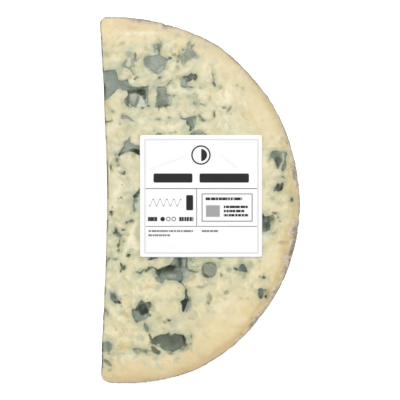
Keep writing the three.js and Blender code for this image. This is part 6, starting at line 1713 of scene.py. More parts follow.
def paste_colour(x, y, seed, smears=True, z=0.0):
    """The paste without its openings."""
    n = len(x)
    q = np.column_stack([x, y, np.full(n, float(z))])
    rgb = np.tile(PASTE, (n, 1))
    dx, dy = x - WHEEL[0], y - WHEEL[1]
    deg = np.degrees(np.arctan2(dy, dx))
    rim = rim_distance(x, y)
    cut = x - cut_x(y)
    # wide, slow changes and the curds pressed into the paste
    inner = step(60, 50, np.hypot(dx, dy) + 3 * noise(q, 12, seed + 41))
    rgb = blend_to(rgb, (217, 213, 177), inner * 0.30)
    rgb = blend_to(rgb, (192, 194, 162), inner * step(-0.02, 0.50, fbm(q, 6.4, 2, seed + 43)) * 0.60)
    rgb = blend_to(rgb, (184, 187, 156), inner * step(0.08, 0.52, fbm(q, 3.8, 2, seed + 45)) * 0.32)
    rgb = blend_to(rgb, (237, 225, 183), step(0.0, 0.6, fbm(q, 11, 2, seed)) * 0.75)
    rgb = blend_to(rgb, (206, 204, 168), step(0.0, 0.8, fbm(q, 9, 3, seed + 4)) * (0.20 + 0.26 * inner))
    swirl, flow = swirls(x, y, seed)
    south = step(-20, -38, y)
    clear = 0.55 + 0.45 * step(-0.3, 0.4, noise(q, 7, seed + 27))
    # smeared paste along the swirls: the pale streaks carry a painted sheen, the dark ones painted shade
    rgb = blend_to(rgb, (247, 239, 207), step(0.06, 0.72, swirl) * (0.64 + 0.18 * south) * clear)
    rgb = blend_to(rgb, (202, 193, 147), step(0.10, 0.78, -swirl) * 0.52 * clear)
    broad = noise(flow, 5.2, seed + 7)
    rgb = blend_to(rgb, (246, 237, 203), step(0.06, 0.66, broad) * 0.68)
    rgb = blend_to(rgb, (203, 195, 152), step(0.08, 0.72, -broad) * 0.52)
    small = fbm(flow * np.array([0.8, 1.1, 1.0]), 1.3, 3, seed + 60)
    rgb = rgb + (small * 2.2)[:, None] * np.array([1.0, 1.0, 1.3])
    rgb = rgb + (noise(q, 3.6, seed + 63) * 3.6)[:, None] * np.array([1.0, 0.1, -1.3])
    crease, where = creases(x, y, seed)
    # along each fold a pale line of painted highlight on the raised side and a dark line of painted shade on the lower
    # side
    rgb = blend_to(rgb, (247, 240, 209), np.exp(-((crease - 0.075) / 0.055) ** 2) * where * (0.42 + 0.22 * south))
    rgb = blend_to(rgb, (190, 180, 130), np.exp(-((crease + 0.045) / 0.040) ** 2) * where * 0.42)
    f1, f2, kind = cells(flow, 7.5, seed + 3)
    rgb = rgb + ((kind - 0.5) * 7)[:, None] * np.array([1, 1, 0.9])
    rgb = rgb + south[:, None] * np.array([2.0, -0.8, -3.0])
    rgb = blend_to(rgb, (208, 200, 156), step(0.07, 0.0, f2 - f1) * 0.30 * step(-0.2, 0.5, noise(q, 12, seed + 8)))
    # towards the rind the paste is warmer, then tan
    wave = rim + 0.9 * noise(q, 7, seed + 30) + 0.4 * noise(q, 2.2, seed + 31)
    low = step(-20, -62, deg)
    rgb = blend_to(rgb, lerp((229, 211, 165), (224, 204, 157), low), step(15, 4, wave) * (0.65 + 0.27 * low))
    right = np.exp(-((deg + 2) / 17) ** 2)
    rgb = blend_to(rgb, (212, 202, 156), step(11, 3, wave) * right * 0.7)
    outer = np.exp(-(np.maximum(wave, 0) / 2.7) ** 2)
    rgb = blend_to(rgb, lerp((210, 191, 152), (205, 181, 135), step(50, 0, deg)), outer * 0.82)
    right_low = step(26, 12, deg) * step(-64, -46, deg)
    rgb = blend_to(rgb, (196, 176, 136), step(5.5, 1.5, wave + 0.8 * noise(q, 3.0, seed + 34)) * right_low * step(-50, -40, deg) * step(-0.2, 0.5, noise(q, 6, seed + 32)) * 0.55)
    lower = step(-36, -47, deg)
    band = np.exp(-((wave - 2.9 + 1.7 * lower - 0.6 * noise(q, 5, seed + 33)) / (0.60 + 0.3 * lower)) ** 2)
    rgb = blend_to(rgb, (210, 178, 123), band * np.maximum(right_low, 0.8 * lower * step(-80, -66, deg)) * 0.60)
    rgb = blend_to(rgb, (197, 176, 134), step(2.7, 0.6, wave) * step(20, 27, deg) * step(50, 44, deg) * 0.45)
    rgb = blend_to(rgb, (211, 191, 153), step(5.5, 2.0, wave) * step(74, 82, deg) * 0.50)
    # bloom of the rind on the paste's outer edge: pale mauve, crumbly
    crumb = fbm(q, 1.1, 3, seed + 36)
    rgb = blend_to(rgb, (218, 206, 188), step(2.8, 0.8, wave) * step(-0.1, 0.5, crumb + 0.5 * noise(q, 5, seed + 37)) * 0.60 * (1 - 0.75 * lower))
    # the corner at the upper end is a clear yellow
    rgb = blend_to(rgb, (230, 212, 170), step(16, 3, np.hypot(x + 35, y - 64)) * 0.55)
    # the paste is painted paler and greyer along the cut edge
    rgb = blend_to(rgb, (214, 211, 192), step(1.3, 0.1, cut + 0.25 * noise(q, 1.6, seed + 35)) * 0.65)
    if smears:
        wx = x + 0.30 * noise(q, 2.2, 71) + 0.12 * noise(q, 0.8, 72)
        wy = y + 0.30 * noise(q, 2.2, 73) + 0.12 * noise(q, 0.8, 74)
        for X, Y, a, b, turn, bend, ink, strength in SMEARS:
            k = np.nonzero((np.abs(wx - X) < a * 1.5 + b * 3 + 1) & (np.abs(wy - Y) < a * 1.5 + b * 3 + 1))[0]
            if not len(k):
                continue
            t = math.radians(turn)
            u = (wx[k] - X) * math.cos(t) + (wy[k] - Y) * math.sin(t)
            v = -(wx[k] - X) * math.sin(t) + (wy[k] - Y) * math.cos(t)
            v = v - bend * u * u / max(a, 0.1)
            w = strength * np.exp(-np.abs(u / a) ** 3 * 0.9) * np.exp(-(v / b) ** 2 * 1.1)
            c = np.asarray(INK[ink], float)
            rgb[k] = rgb[k] * (1 - w[:, None]) + c * w[:, None]
    return rgb


def finish_colour(rgb, x, y, f, seed):
    """Halo, flecks, mould and the painted shade lines just inside the openings' edges, over the paste."""
    n = len(x)
    q = np.column_stack([x, y, np.zeros(n)])
    close = 1 - np.exp(-0.9 * f["bloom"])
    cloud = fbm(q, 4.8, 2, seed + 41)
    rgb = blend_to(rgb, (197, 201, 172), (1 - np.exp(-0.50 * f["bloom"])) * np.clip(0.22 + 1.1 * cloud, 0, 1))
    rgb = blend_to(rgb, (178, 178, 138), (1 - np.exp(-0.40 * f["bloom"])) * step(0.12, 0.58, fbm(q, 3.0, 2, seed + 42)) * 0.60)
    rgb = blend_to(rgb, (170, 174, 147), close * step(0.14, 0.50, fbm(q, 3.4, 2, seed + 71)) * 0.64)
    rgb = blend_to(rgb, (180, 184, 158), f["halo"] ** 1.3 * np.clip(0.66 + 0.70 * noise(q, 3.0, seed + 40), 0, 1))
    # scribbles and dirt of blue-green and olive mould near the openings
    wander = q + np.column_stack([1.2 * noise(q, 4.0, seed + 64), 1.2 * noise(q, 4.0, seed + 65), np.zeros(n)])
    thread = np.abs(noise(wander, 3.4, seed + 61) + 0.22 * noise(q, 1.0, seed + 62))
    rgb = blend_to(rgb, (150, 148, 110), step(0.11, 0.01, thread) * step(0.05, 0.5, noise(q, 4.4, seed + 63)) * close * 0.34)
    rgb = blend_to(rgb, (128, 128, 94), step(0.34, 0.62, fbm(q, 1.1, 2, seed + 66)) * step(0.14, 0.55, noise(q, 3.2, seed + 67)) * close * 0.34)
    rgb = blend_to(rgb, (164, 172, 150), step(0.26, 0.60, fbm(q, 1.9, 2, seed + 68)) * step(0.0, 0.5, noise(q, 4.2, seed + 69)) * close * 0.36)
    stain = np.exp(-np.maximum(f["near"], 0) / 0.46) * step(-0.20, 0.55, noise(q, 2.0, seed + 43) + 0.45 * noise(q, 0.6, seed + 53))
    rgb = blend_to(rgb, (148, 152, 122), stain * 0.74)
    rgb = blend_to(rgb, (150, 147, 104), f["fleck"] * (f["fleck_tone"] >= 0.45))
    rgb = blend_to(rgb, (96, 98, 70), f["fleck"] * (f["fleck_tone"] < 0.45))
    grain = fbm(q, 1.1, 3, seed + 44)
    patch = noise(q, 3.1, seed + 47)
    tone = f["tone"] + (0.06 * grain + 0.05 * patch) * (f["tone"] < 1.1)
    mould = mould_colour(tone, f["olive"] + 0.15 * patch)
    mould = mould + (noise(q, 2.8, seed + 46) * 3.5)[:, None] * np.array([-0.8, 0.3, 0.9])
    rgb = blend_to(rgb, mould, f["cover"])
    # painted shade: a dark line just inside each opening's edge, where the paste drops away
    line = np.exp(-((f["near"] + 0.10 + 0.08 * noise(q, 0.9, seed + 52)) / 0.17) ** 2) * step(0.10, 0.6, noise(q, 2.6, seed + 50) + 0.45 * noise(q, 0.7, seed + 51))
    rgb = blend_to(rgb, (88, 91, 68), line * 0.62 * step(0.95, 0.6, f["tone"]))
    # the clean paste is paler against the stained paste, most of all halfway up the slice
    level = rgb @ np.array([0.2126, 0.7152, 0.0722])
    clean = (1 - f["cover"]) * step(196, 209, level)
    middle = step(30, 18, np.abs(y))
    rgb = rgb + (clean * step(242, 226, level) * (1.0 + 2.4 * middle))[:, None]
    rgb = rgb + (clean * step(-26, 0, y) * 2.2)[:, None] * np.array([0.0, 0.0, 1.0])
    rgb = rgb - ((1 - f["cover"]) * step(150, 165, level) * step(199, 188, level) * 2.0)[:, None]
    return rgb


# ------------------------------------------------------------------ the slice as one closed mesh
def drop_points(lobes, sizes, flecks, plain=None, caves=()):
    """Points for a face: far apart where plain says so, closer elsewhere, and closest along the edges of openings."""
    out = []
    for level, size in enumerate(sizes):
        nx, ny = int(76 / size) + 2, int(136 / (size * 0.866)) + 2
        i, j = np.meshgrid(np.arange(nx), np.arange(ny), indexing="ij")
        x = -38 + (i + 0.5 * (j % 2)) * size
        y = -68 + j * size * 0.866
        x, y = x.ravel().astype(float), y.ravel().astype(float)
        k = inside_distance(x, y) > 0.2
        x, y = x[k], y[k]
        h = _hash(np.round(x * 100).astype(np.int64), np.round(y * 100).astype(np.int64), np.zeros(len(x), np.int64), 5 + level)
        x = x + ((h & np.uint64(1023)).astype(float) / 1023 - 0.5) * size * 0.42
        y = y + ((h >> np.uint64(10) & np.uint64(1023)).astype(float) / 1023 - 0.5) * size * 0.42
        if level == 0:
            keep = np.ones(len(x), bool)
        elif level == 1:
            keep = np.ones(len(x), bool) if plain is None else ~plain(x, y)
        else:
            near = np.full(len(x), 9.0)
            for lobe in lobes:
                reach = max(lobe[2], lobe[3]) * 1.4 + 2.0
                k = np.nonzero((np.abs(x - lobe[0]) < reach) & (np.abs(y - lobe[1]) < reach))[0]
                if len(k):
                    near[k] = np.minimum(near[k], np.abs(lobe_distance(x[k], y[k], lobe)))
            for cave in caves:
                k = cave[0].close(x, y, 0.6)
                if len(k):
                    near[k] = np.minimum(near[k], np.abs(cave[0].distance(x[k], y[k])))
            for X, Y, r, _, _ in flecks:
                k = np.nonzero((np.abs(x - X) < 1) & (np.abs(y - Y) < 1))[0]
                if len(k):
                    near[k] = np.minimum(near[k], np.hypot(x[k] - X, y[k] - Y) - r + 0.4)
            keep = near < 0.44
        out.append(np.column_stack([x, y])[keep])
    # a finer point removes coarser ones that lie too close
    pts = np.concatenate(out[::-1])
    key = np.floor(pts / (sizes[-1] * 0.62)).astype(np.int64)
    _, first = np.unique(key[:, 0] * 100003 + key[:, 1], return_index=True)
    first.sort()
    return pts[first]


def face_mesh(loop, interior):
    """Triangles over a face: loop (n, 2) counter-clockwise, interior (m, 2). Returns the points and the triangles."""
    tree = KDTree(len(loop))
    for i, p in enumerate(loop):
        tree.insert((p[0], p[1], 0), i)
    tree.balance()
    keep = np.ones(len(interior), bool)
    for i in np.nonzero(inside_distance(interior[:, 0], interior[:, 1]) < 5)[0]:
        keep[i] = tree.find((interior[i, 0], interior[i, 1], 0))[2] > 0.22
    points = np.concatenate([loop, interior[keep]])
    n = len(loop)
    edges = [(i, (i + 1) % n) for i in range(n)]
    verts, _, faces, orig, _, _ = delaunay_2d_cdt([Vector((float(a), float(b))) for a, b in points], edges, [], 1, 1e-6)
    where = np.array([o[0] if o else -1 for o in orig])
    tris = where[np.array([list(f) for f in faces])]
    if (tris < 0).any():
        raise RuntimeError("the outline of a face crosses itself")
    used = np.zeros(len(points), bool)
    used[tris.ravel()] = True
    used[:n] = True
    new = np.cumsum(used) - 1
    return points[used], new[tris]


def opened(x, y):
    """Where the label lies, well inside its edge: nothing shows there."""
    return np.maximum(np.abs(x - LABEL_AT[0]), np.abs(y - LABEL_AT[1])) < 20.5


def rim_top(deg):
    """The crust's upper edge stands a little proud of the paste."""
    arc = np.column_stack([np.asarray(deg, float) * 1.18, np.zeros(len(deg)), np.full(len(deg), 5.0)])
    return THICKNESS + 0.02 + 0.05 * noise(arc, 2.6, 66)


def build_body():
    """The paste: upper face, cut side and under face, closed by a plain wall behind the rind."""
    pts, normal, rind = outline(0.45, 0.36)
    n = len(pts)
    x0, y0 = pts[:, 0], pts[:, 1]
    deg = np.degrees(np.arctan2(y0 - WHEEL[1], x0 - WHEEL[0]))
    width, _ = crust_width(deg)
    inset = np.maximum(width - 0.22, 0.34) * rind + 0.30 * (1 - rind)
    drop = 0.32
    low_inset = 0.5 + 0.25 * rind
    loop_top = pts - normal * inset[:, None]
    loop_low = pts - normal * low_inset[:, None]

    top_xy, top_tri = face_mesh(loop_top, drop_points(TOP_LOBES, (1.7, 0.43, 0.215), TOP_FLECKS, opened, TOP_CAVES + TOP_CURDS))
    low_xy, low_tri = face_mesh(loop_low, drop_points(UNDER_LOBES, (1.6, 1.1, 0.42), [], None, UNDER_CAVES))

    # --- upper face
    x, y = top_xy[:, 0], top_xy[:, 1]
    f = opening_fields(x, y, TOP_LOBES, TOP_CURDS, TOP_FLECKS, 3, 1.0, TOP_CAVES, TOP_SHADING_TINTS, TOP_CURD_SHADING_TINTS)
    q = np.column_stack([x, y, np.zeros(len(x))])
    rim = rim_distance(x, y)
    label_near = step(24.5, 22.0, np.maximum(np.abs(x - LABEL_AT[0]), np.abs(y - LABEL_AT[1])))
    swirl, flow = swirls(x, y, 1)
    lift = 0.10 * fbm(q, 11, 2, 80) + 0.075 * swirl + 0.07 * noise(flow, 4.6, 8) + 0.04 * noise(q, 1.4, 83) + 0.03 * noise(q, 0.9, 86)
    fold, where = creases(x, y, 1)
    lift += 0.10 * np.tanh(fold / 0.06) * np.exp(-(fold / 0.5) ** 2) * where
    lift -= 0.10 * np.exp(-np.maximum(f["near"], 0) / 0.5) * (f["near"] > -0.1)
    lift -= 0.14 * step(2.2, 0.6, x - cut_x(y) + 0.5 * noise(q, 3, 88))
    lift = lift * (1 - 0.85 * label_near) * step(0.3, 3.0, rim)
    z = THICKNESS - 0.04 + lift - 0.10 * label_near - 0.07 * step(3.0, 0.6, rim) - f["depth"]
    rgb = crust_marks(finish_colour(paste_colour(x, y, 1), x, y, f, 2), x, y)
    cut_gap = x - cut_x(y) + 0.08 * noise(q, 0.8, 89)
    # painted shade: a grey line where the upper face rounds down into the cut side
    rgb = blend_to(rgb, (160, 156, 141), step(0.78, 0.30, cut_gap) * 0.90 * (1 - f["cover"]))
    mark = edge_marks(y, q)
    rgb = blend_to(rgb, (70, 68, 53), mark * step(0.64, 0.26, cut_gap))
    rgb = blend_to(rgb, (168, 160, 128), mark * step(1.1, 0.5, cut_gap) * (1 - f["cover"]) * 0.35)
    blocks = [np.column_stack([x, y, z])]
    colours = [rgb]
    masks = [np.column_stack([f["cover"], np.zeros(len(x))])]

    # --- cut side: rows under the upper face's edge, for the columns that aren't all rind
    block = np.nonzero(rind < 0.999)[0]
    block = np.arange(block[0], block[-1] + 1)
    ztop, cover_top, rgb_top = z[block], f["cover"][block], rgb[block]
    rows = [("top", t) for t in (0.25, 0.5, 0.75)] + [("wall", t) for t in np.linspace(0, 1, 47)] + [("low", 0.5)]
    share = rind[block]
    bx, by, bn = x0[block], y0[block], normal[block]
    for part, t in rows:
        a = t * math.pi / 2
        if part == "top":
            out, zz, body = -inset[block] * (1 - math.sin(a)), ztop - drop * (1 - math.cos(a)), t
        elif part == "wall":
            out, zz, body = np.zeros(len(block)), (ztop - drop) * (1 - t) + 0.4 * t, 1.0
        else:
            out, zz, body = -low_inset[block] * (1 - math.cos(a)), np.full(len(block), 0.4 * (1 - math.sin(a))), 0.5
        wx, wy = bx + bn[:, 0] * out, by + bn[:, 1] * out
        p = np.column_stack([wx, wy, zz])
        s = opening_fields(wy, zz, SIDE_LOBES, [], SIDE_FLECKS, 11, 1.0, SIDE_CAVES, SIDE_SHADING_TINTS)
        fold, where = creases(wy, zz, 12)
        flat = 0.05 * fbm(p, 6, 2, 101) + 0.03 * noise(p, 1.0, 103) + 0.06 * np.tanh(fold / 0.06) * np.exp(-(fold / 0.5) ** 2) * where
        solid = 1 - share
        move = solid * (flat * body - s["depth"] * body * step(0.2, 1.5, ztop - zz)) - share * 0.45 * body
        wx, wy = wx + bn[:, 0] * move, wy + bn[:, 1] * move
        side = side_colour(wy, zz, p, s)
        down = ztop - zz
        dark = edge_marks(by, p) * step(1.0, 0.3, down + 0.5 * noise(p, 1.0, 107))
        side = blend_to(side, (66, 65, 51), dark)
        run = cover_top * step(1.6, 0.2, down)
        side = blend_to(side, rgb_top, run)
        if part == "top":
            side = blend_to(side, rgb_top, np.full(len(block), (1 - t) * 0.6))
        blocks.append(np.column_stack([wx, wy, zz]))
        colours.append(side)
        masks.append(np.column_stack([np.maximum(s["cover"], run), np.zeros(len(block))]))

    # --- under face
    lx, ly = low_xy[:, 0], low_xy[:, 1]
    g = opening_fields(lx, ly, UNDER_LOBES, [], [], 7, 1.0, UNDER_CAVES, UNDER_SHADING_TINTS)
    blocks.append(np.column_stack([lx, ly, g["depth"]]))
    colours.append(finish_colour(paste_colour(lx, ly, 31, smears=False, z=-40), lx, ly, g, 33))
    masks.append(np.column_stack([g["cover"], np.zeros(len(lx))]))

    # --- join
    start = np.cumsum([0] + [len(b) for b in blocks])
    tris = np.concatenate([top_tri, low_tri[:, ::-1] + start[-2]])
    ring_top, ring_low = np.arange(n), start[-2] + np.arange(n)
    grid = [ring_top[block]] + [start[1 + i] + np.arange(len(block)) for i in range(len(rows))] + [ring_low[block]]
    quads = [np.column_stack([a[:-1], b[:-1], b[1:], a[1:]]) for a, b in zip(grid[:-1], grid[1:])]
    rest = [i for i in range(n) if not (block[0] <= i < block[-1])]
    many = []
    plain = []
    for i in rest:
        j = (i + 1) % n
        if i == block[-1]:
            many.append([g_[-1] for g_ in grid] + [ring_low[j], ring_top[j]])
        elif j == block[0]:
            many.append([ring_top[i], ring_low[i]] + [g_[0] for g_ in grid[::-1]])
        else:
            plain.append((ring_top[i], ring_low[i], ring_low[j], ring_top[j]))
    quads = np.concatenate(quads + [np.array(plain)])
    verts = np.concatenate(blocks)
    verts[:, :2] += SHIFT
    return verts, tris, quads, [[int(v) for v in m] for m in many], np.concatenate(colours), np.concatenate(masks)


def build_rind():
    """The crust: a thin closed shell round the arc, its upper edge turned in over the paste."""
    pts, normal, rind = outline(0.38, 0.38)
    mid = rind > 0.35
    # the columns start in the middle of the rind, so the covered ones are two runs: join them in order
    gap = np.nonzero(~mid)[0]
    order = np.concatenate([np.arange(gap[-1] + 1, len(pts)), np.arange(0, gap[0])])
    pts, normal, rind = pts[order], normal[order], rind[order]
    n = len(pts)
    x0, y0 = pts[:, 0], pts[:, 1]
    deg = np.degrees(np.arctan2(y0 - WHEEL[1], x0 - WHEEL[0]))
    width, pale = crust_width(deg)
    along = np.concatenate([[0], np.cumsum(np.linalg.norm(np.diff(pts, axis=0), axis=1))])
    ends = np.minimum(along, along[-1] - along)
    fade = step(0.0, 3.0, ends)                     # the relief dies out towards the two cut ends
    ztop = rim_top(deg) - 0.10 * (1 - fade)
    drop = 0.35 + 0.42 * width
    rows = [("lip", 0.0), ("lip", 1.0)]
    rows += [("top", i / 9) for i in range(1, 9)] + [("wall", i / 52) for i in range(0, 53)]
    rows += [("low", i / 4) for i in range(1, 5)] + [("in", 0.0), ("in", 0.5), ("in", 1.0)]
    blocks, colours = [], []
    for part, t in rows:
        a = t * math.pi / 2
        body, bump_up = 1.0, 0.0
        if part == "lip":
            inset, zz, body = width + 0.30 * (1 - t), ztop - 0.32 * (1 - t), 0.0
        elif part == "top":
            inset, zz, body = width * (1 - math.sin(a)), ztop - drop * (1 - math.cos(a)), t
            bump_up = math.sin(math.pi * t)
        elif part == "wall":
            inset, zz = np.zeros(n), (ztop - drop) * (1 - t) + 0.6 * t
        elif part == "low":
            inset, zz, body = np.full(n, 0.7 * (1 - math.cos(a))), np.full(n, 0.6 * (1 - math.sin(a))), 1 - 0.85 * t
        else:
            inset = 1.25 + (np.maximum(width, 0.95) + 0.30 - 1.25) * max(0.0, 2 * t - 1)
            zz, body = 0.5 + (ztop - 1.0) * t, 0.0
        x, y = x0 - normal[:, 0] * inset, y0 - normal[:, 1] * inset
        p = np.column_stack([x, y, zz])
        rough = 0.16 * fbm(p, 4.5, 2, 90) + 0.17 * fbm(p, 1.7, 3, 93) + 0.20 * np.abs(noise(p, 0.95, 97)) - 0.12
        warp = 0.6 * np.column_stack([noise(p, 2.2, 98), noise(p, 2.2, 108), noise(p, 2.2, 109)])
        f1, f2, _ = cells(p + warp, 3.4, 99)
        rough -= 0.20 * step(0.10, 0.0, f2 - f1) * step(-0.3, 0.3, noise(p, 6, 110))
        pock = cells(p, 1.5, 111)[0]
        rough -= 0.22 * step(0.30, 0.10, pock) * step(0.0, 0.5, noise(p, 5, 112))
        swell = 0.06 * fade - 0.10 * np.sin(np.pi * np.clip(zz / THICKNESS, 0, 1))
        move = body * (rough * (0.25 + 0.75 * fade) + swell) - 0.10 * (1 - fade)
        if part in ("wall", "low", "top"):
            x, y = x + normal[:, 0] * move, y + normal[:, 1] * move
        zz = zz + bump_up * rough * 0.8
        if part in ("wall", "low"):
            zz = np.maximum(zz, 0.0)
        blocks.append(np.column_stack([x, y, zz]))
        colours.append(crust_colour(p, pale, part, t))
    m = len(rows)
    start = np.arange(m) * n
    quads = []
    for k in range(m):
        a, b = start[k], start[(k + 1) % m]
        i = np.arange(n - 1)
        quads.append(np.column_stack([a + i, b + i, b + i + 1, a + i + 1]))
    caps = [[int(s_) for s_ in start[::-1]], [int(s_ + n - 1) for s_ in start]]
    verts = np.concatenate(blocks)
    verts[:, :2] += SHIFT
    return verts, np.concatenate(quads), caps, np.concatenate(colours)


def edge_marks(y, q):
    """Where mould shows along the upper edge of the cut side."""
    out = np.zeros(len(y))
    wobble = 0.30 * noise(q, 0.9, 105)
    for ya, yb, strength in EDGE_MARKS:
        out = np.maximum(out, strength * step(0.25, -0.2, np.abs(y - (ya + yb) / 2) - abs(yb - ya) / 2 + wobble))
    return out * step(-1.0, -0.4, noise(q, 1.8, 106))


def crust_colour(p, pale, part, t):
    n = len(p)
    rgb = np.tile(np.array((178.0, 164.0, 142.0)), (n, 1))
    a = fbm(p, 7, 3, 120)
    b = fbm(p, 2.2, 3, 125)
    c = noise(p, 0.8, 130)
    rgb = blend_to(rgb, (194, 170, 126), step(0.05, 0.6, a) * 0.70)
    rgb = blend_to(rgb, (156, 145, 136), step(0.05, 0.6, -a) * 0.65)
    high = p[:, 2] if part == "wall" else np.full(n, 12.0)
    wide_bloom = fbm(p * np.array([0.6, 0.6, 1.0]), 11, 3, 133)
    rgb = blend_to(rgb, (209, 204, 194), step(0.06, 0.42, wide_bloom) * np.clip(0.75 + 0.6 * c, 0, 1) * 0.75)
    rgb = blend_to(rgb, (146, 128, 102), step(0.08, 0.45, -fbm(p, 9, 3, 134)) * np.clip(0.8 + 0.4 * c, 0, 1) * 0.55)
    rgb = blend_to(rgb, (168, 166, 158), step(0.22, 0.5, noise(p, 6.5, 135)) * 0.5)
    # the wall is painted darker towards its foot
    rgb = blend_to(rgb, (138, 124, 104), step(2.4, 0.4, high + 0.8 * noise(p, 3, 137)) * 0.5)
    rgb = blend_to(rgb, (210, 202, 190), step(0.10, 0.55, b) * 0.70)
    rgb = blend_to(rgb, (128, 117, 103), step(0.15, 0.7, -b) * 0.60)
    rgb = blend_to(rgb, (202, 184, 174), step(0.2, 0.7, noise(p, 3.4, 132)) * 0.45)
    rgb = blend_to(rgb, (96, 89, 78), step(0.42, 0.75, -c + 0.3 * b) * 0.65)
    rgb = blend_to(rgb, (224, 218, 206), step(0.45, 0.8, c + 0.3 * b) * 0.60)
    if part in ("lip", "top"):
        # seen from above: crumbly mauve crust with a whitish inner edge in places, a broken grey line elsewhere
        out = 0.0 if part == "lip" else t
        wide = step(0.40, 0.80, pale + 0.25 * noise(p, 1.5, 136))
        fine = noise(p, 0.75, 139) + 0.5 * noise(p, 0.4, 140)
        patch = np.tile(np.array((196.0, 182.0, 160.0)), (n, 1))
        patch = blend_to(patch, (222, 208, 180), step(0.40, 0.10, np.full(n, out) + 0.25 * fine) * 0.7)
        patch = blend_to(patch, (222, 211, 194), step(0.15, 0.7, fine) * 0.55)
        patch = blend_to(patch, (124, 113, 96), step(0.0, 0.60, -fine + 1.3 * (out - 0.40)) * 0.80)
        patch = blend_to(patch, (182, 162, 122), step(0.1, 0.6, noise(p, 2.4, 141)) * 0.55)
        line = lerp((215, 198, 164), (152, 143, 131), step(0.06, 0.42, np.full(n, out) + 0.14 * fine))
        line = blend_to(line, (98, 92, 84), step(0.25, 0.75, np.full(n, out)) * step(-0.05, 0.45, noise(p, 1.7, 142) + 0.4 * noise(p, 0.7, 143)) * 0.72)
        line = blend_to(line, (224, 215, 205), step(0.2, 0.7, np.full(n, out)) * step(0.14, 0.55, noise(p, 2.1, 144)) * 0.70)
        around = np.degrees(np.arctan2(p[:, 1] - WHEEL[1], p[:, 0] - WHEEL[0]))
        line = blend_to(line, (196, 192, 182), step(48, 58, around) * step(0.1, 0.6, np.full(n, out)) * 0.55)
        rgb = crust_marks(line * (1 - wide)[:, None] + patch * wide[:, None], p[:, 0], p[:, 1])
    return rgb


def side_colour(y, z, p, s):
    n = len(y)
    rgb = np.tile(PASTE, (n, 1))
    q = np.column_stack([y, z, np.full(n, 70.0)])
    rgb = blend_to(rgb, (238, 226, 184), step(0.1, 0.8, fbm(q, 15, 2, 140)) * 0.6)
    rgb = blend_to(rgb, (217, 212, 174), step(0.0, 0.8, fbm(q, 10, 3, 143)) * 0.55)
    flow = q + np.column_stack([2.2 * noise(q, 9, 146), 2.2 * noise(q, 9, 147), np.zeros(n)])
    rgb = blend_to(rgb, (243, 233, 198), step(0.2, 0.9, noise(flow * np.array([1, 0.55, 1]), 2.4, 148)) * 0.5)
    rgb = blend_to(rgb, (211, 202, 158), step(0.30, 0.95, -noise(flow, 2.9, 149)) * 0.35)
    end = np.minimum(np.abs(y - 65.8), np.abs(y + 66.0)) + 1.2 * noise(q, 5, 150)
    rgb = blend_to(rgb, (232, 214, 168), step(15, 4, end) * 0.6)
    rgb = blend_to(rgb, (214, 190, 142), step(4.5, 0.8, end) * 0.85)
    return finish_colour(rgb, y, z, s, 152)


# Where mould shows along the upper edge of the straight cut: from y to y
EDGE_MARKS = [
    (63.6, 64.8, 0.30),
    (57.7, 59.3, 0.65),
    (56.0, 57.2, 0.35),
    (51.7, 54.8, 0.50),
    (46.3, 47.9, 0.70),
    (36.3, 41.9, 0.95),
    (29.0, 30.0, 0.40),
    (27.6, 29.0, 0.85),
    (21.8, 23.3, 0.65),
    (0.6, 14.3, 0.80),
    (-11.0, -7.0, 0.85),
    (-21.2, -20.2, 0.50),
    (-23.9, -21.2, 1.0),
    (-34.0, -31.3, 0.80),
    (-41.6, -38.7, 0.85),
    (-43.0, -41.8, 0.40),
    (-46.8, -44.6, 0.40),
    (-54.6, -51.2, 0.85),
    (-60.3, -55.6, 0.85),
]

def ragged(x, y, a, b, turn, seed):
    """A torn outline about a long opening: lobed, with a few drawn-out tips."""
    random = Sequence(seed)
    p2, p3, p5 = (2 * math.pi * random() for _ in range(3))
    count = 13 + int(6 * random())
    out = []
    for i in range(count):
        t = 2 * math.pi * (i + 0.5 * (random() - 0.5)) / count
        r = 1 + 0.20 * math.sin(2 * t + p2) + 0.17 * math.sin(3 * t + p3) + 0.11 * math.sin(5 * t + p5) + 0.26 * (random() - 0.5)
        if random() < 0.16:
            r *= 1.32
        u, v = a * r * math.cos(t), b * r * math.sin(t)
        out.append((x + u * math.cos(turn) - v * math.sin(turn), y + u * math.sin(turn) + v * math.cos(turn)))
    return out


def torn(lobes, least=0.8):
    """Outlines, and painted shade and light inside them, for the larger lobes; the smaller ones stay as they are."""
    caves, shading_tints, small = [], [], []
    for i, row in enumerate(lobes):
        x, y, a, b, turn = row[:5]
        tone, depth, olive = row[8:11]
        if math.sqrt(a * b) < least:
            small.append(row)
            continue
        b = min(b, 0.72 * a)
        tone = 0.30 + 0.55 * (tone - 0.2)
        caves.append((Outline(ragged(x, y, a * 1.05, b * 1.1, turn, 31 * i + 5)), tone, depth, olive, 0.09))
        c, s = math.cos(turn), math.sin(turn)
        # painted shade along one side, painted light along the other, and a darker, more olive spot at one end
        if a > 1.2:
            side = 1.0 if (37 * i) % 10 > 3 else -1.0
            shading_tints.append((x - s * b * 0.55 * side, y + c * b * 0.55 * side, a * 0.75, b * 0.34, turn, max(0.02, tone - 0.30), -1, 0.22))
            shading_tints.append((x + s * b * 0.35 * side, y - c * b * 0.35 * side, a * 0.55, b * 0.40, turn, tone + 0.16, -1, 0.40))
            shading_tints.append((x + c * a * 0.6, y + s * a * 0.6, a * 0.3, b * 0.5, turn + 0.7, tone - 0.15, 0.3, 0.25))
    return caves, shading_tints, small


# Openings of the under face and the cut side: the solid's own, and many small mould spots round them.
UNDER_LOBES = under_lobes()
SIDE_LOBES = side_lobes()


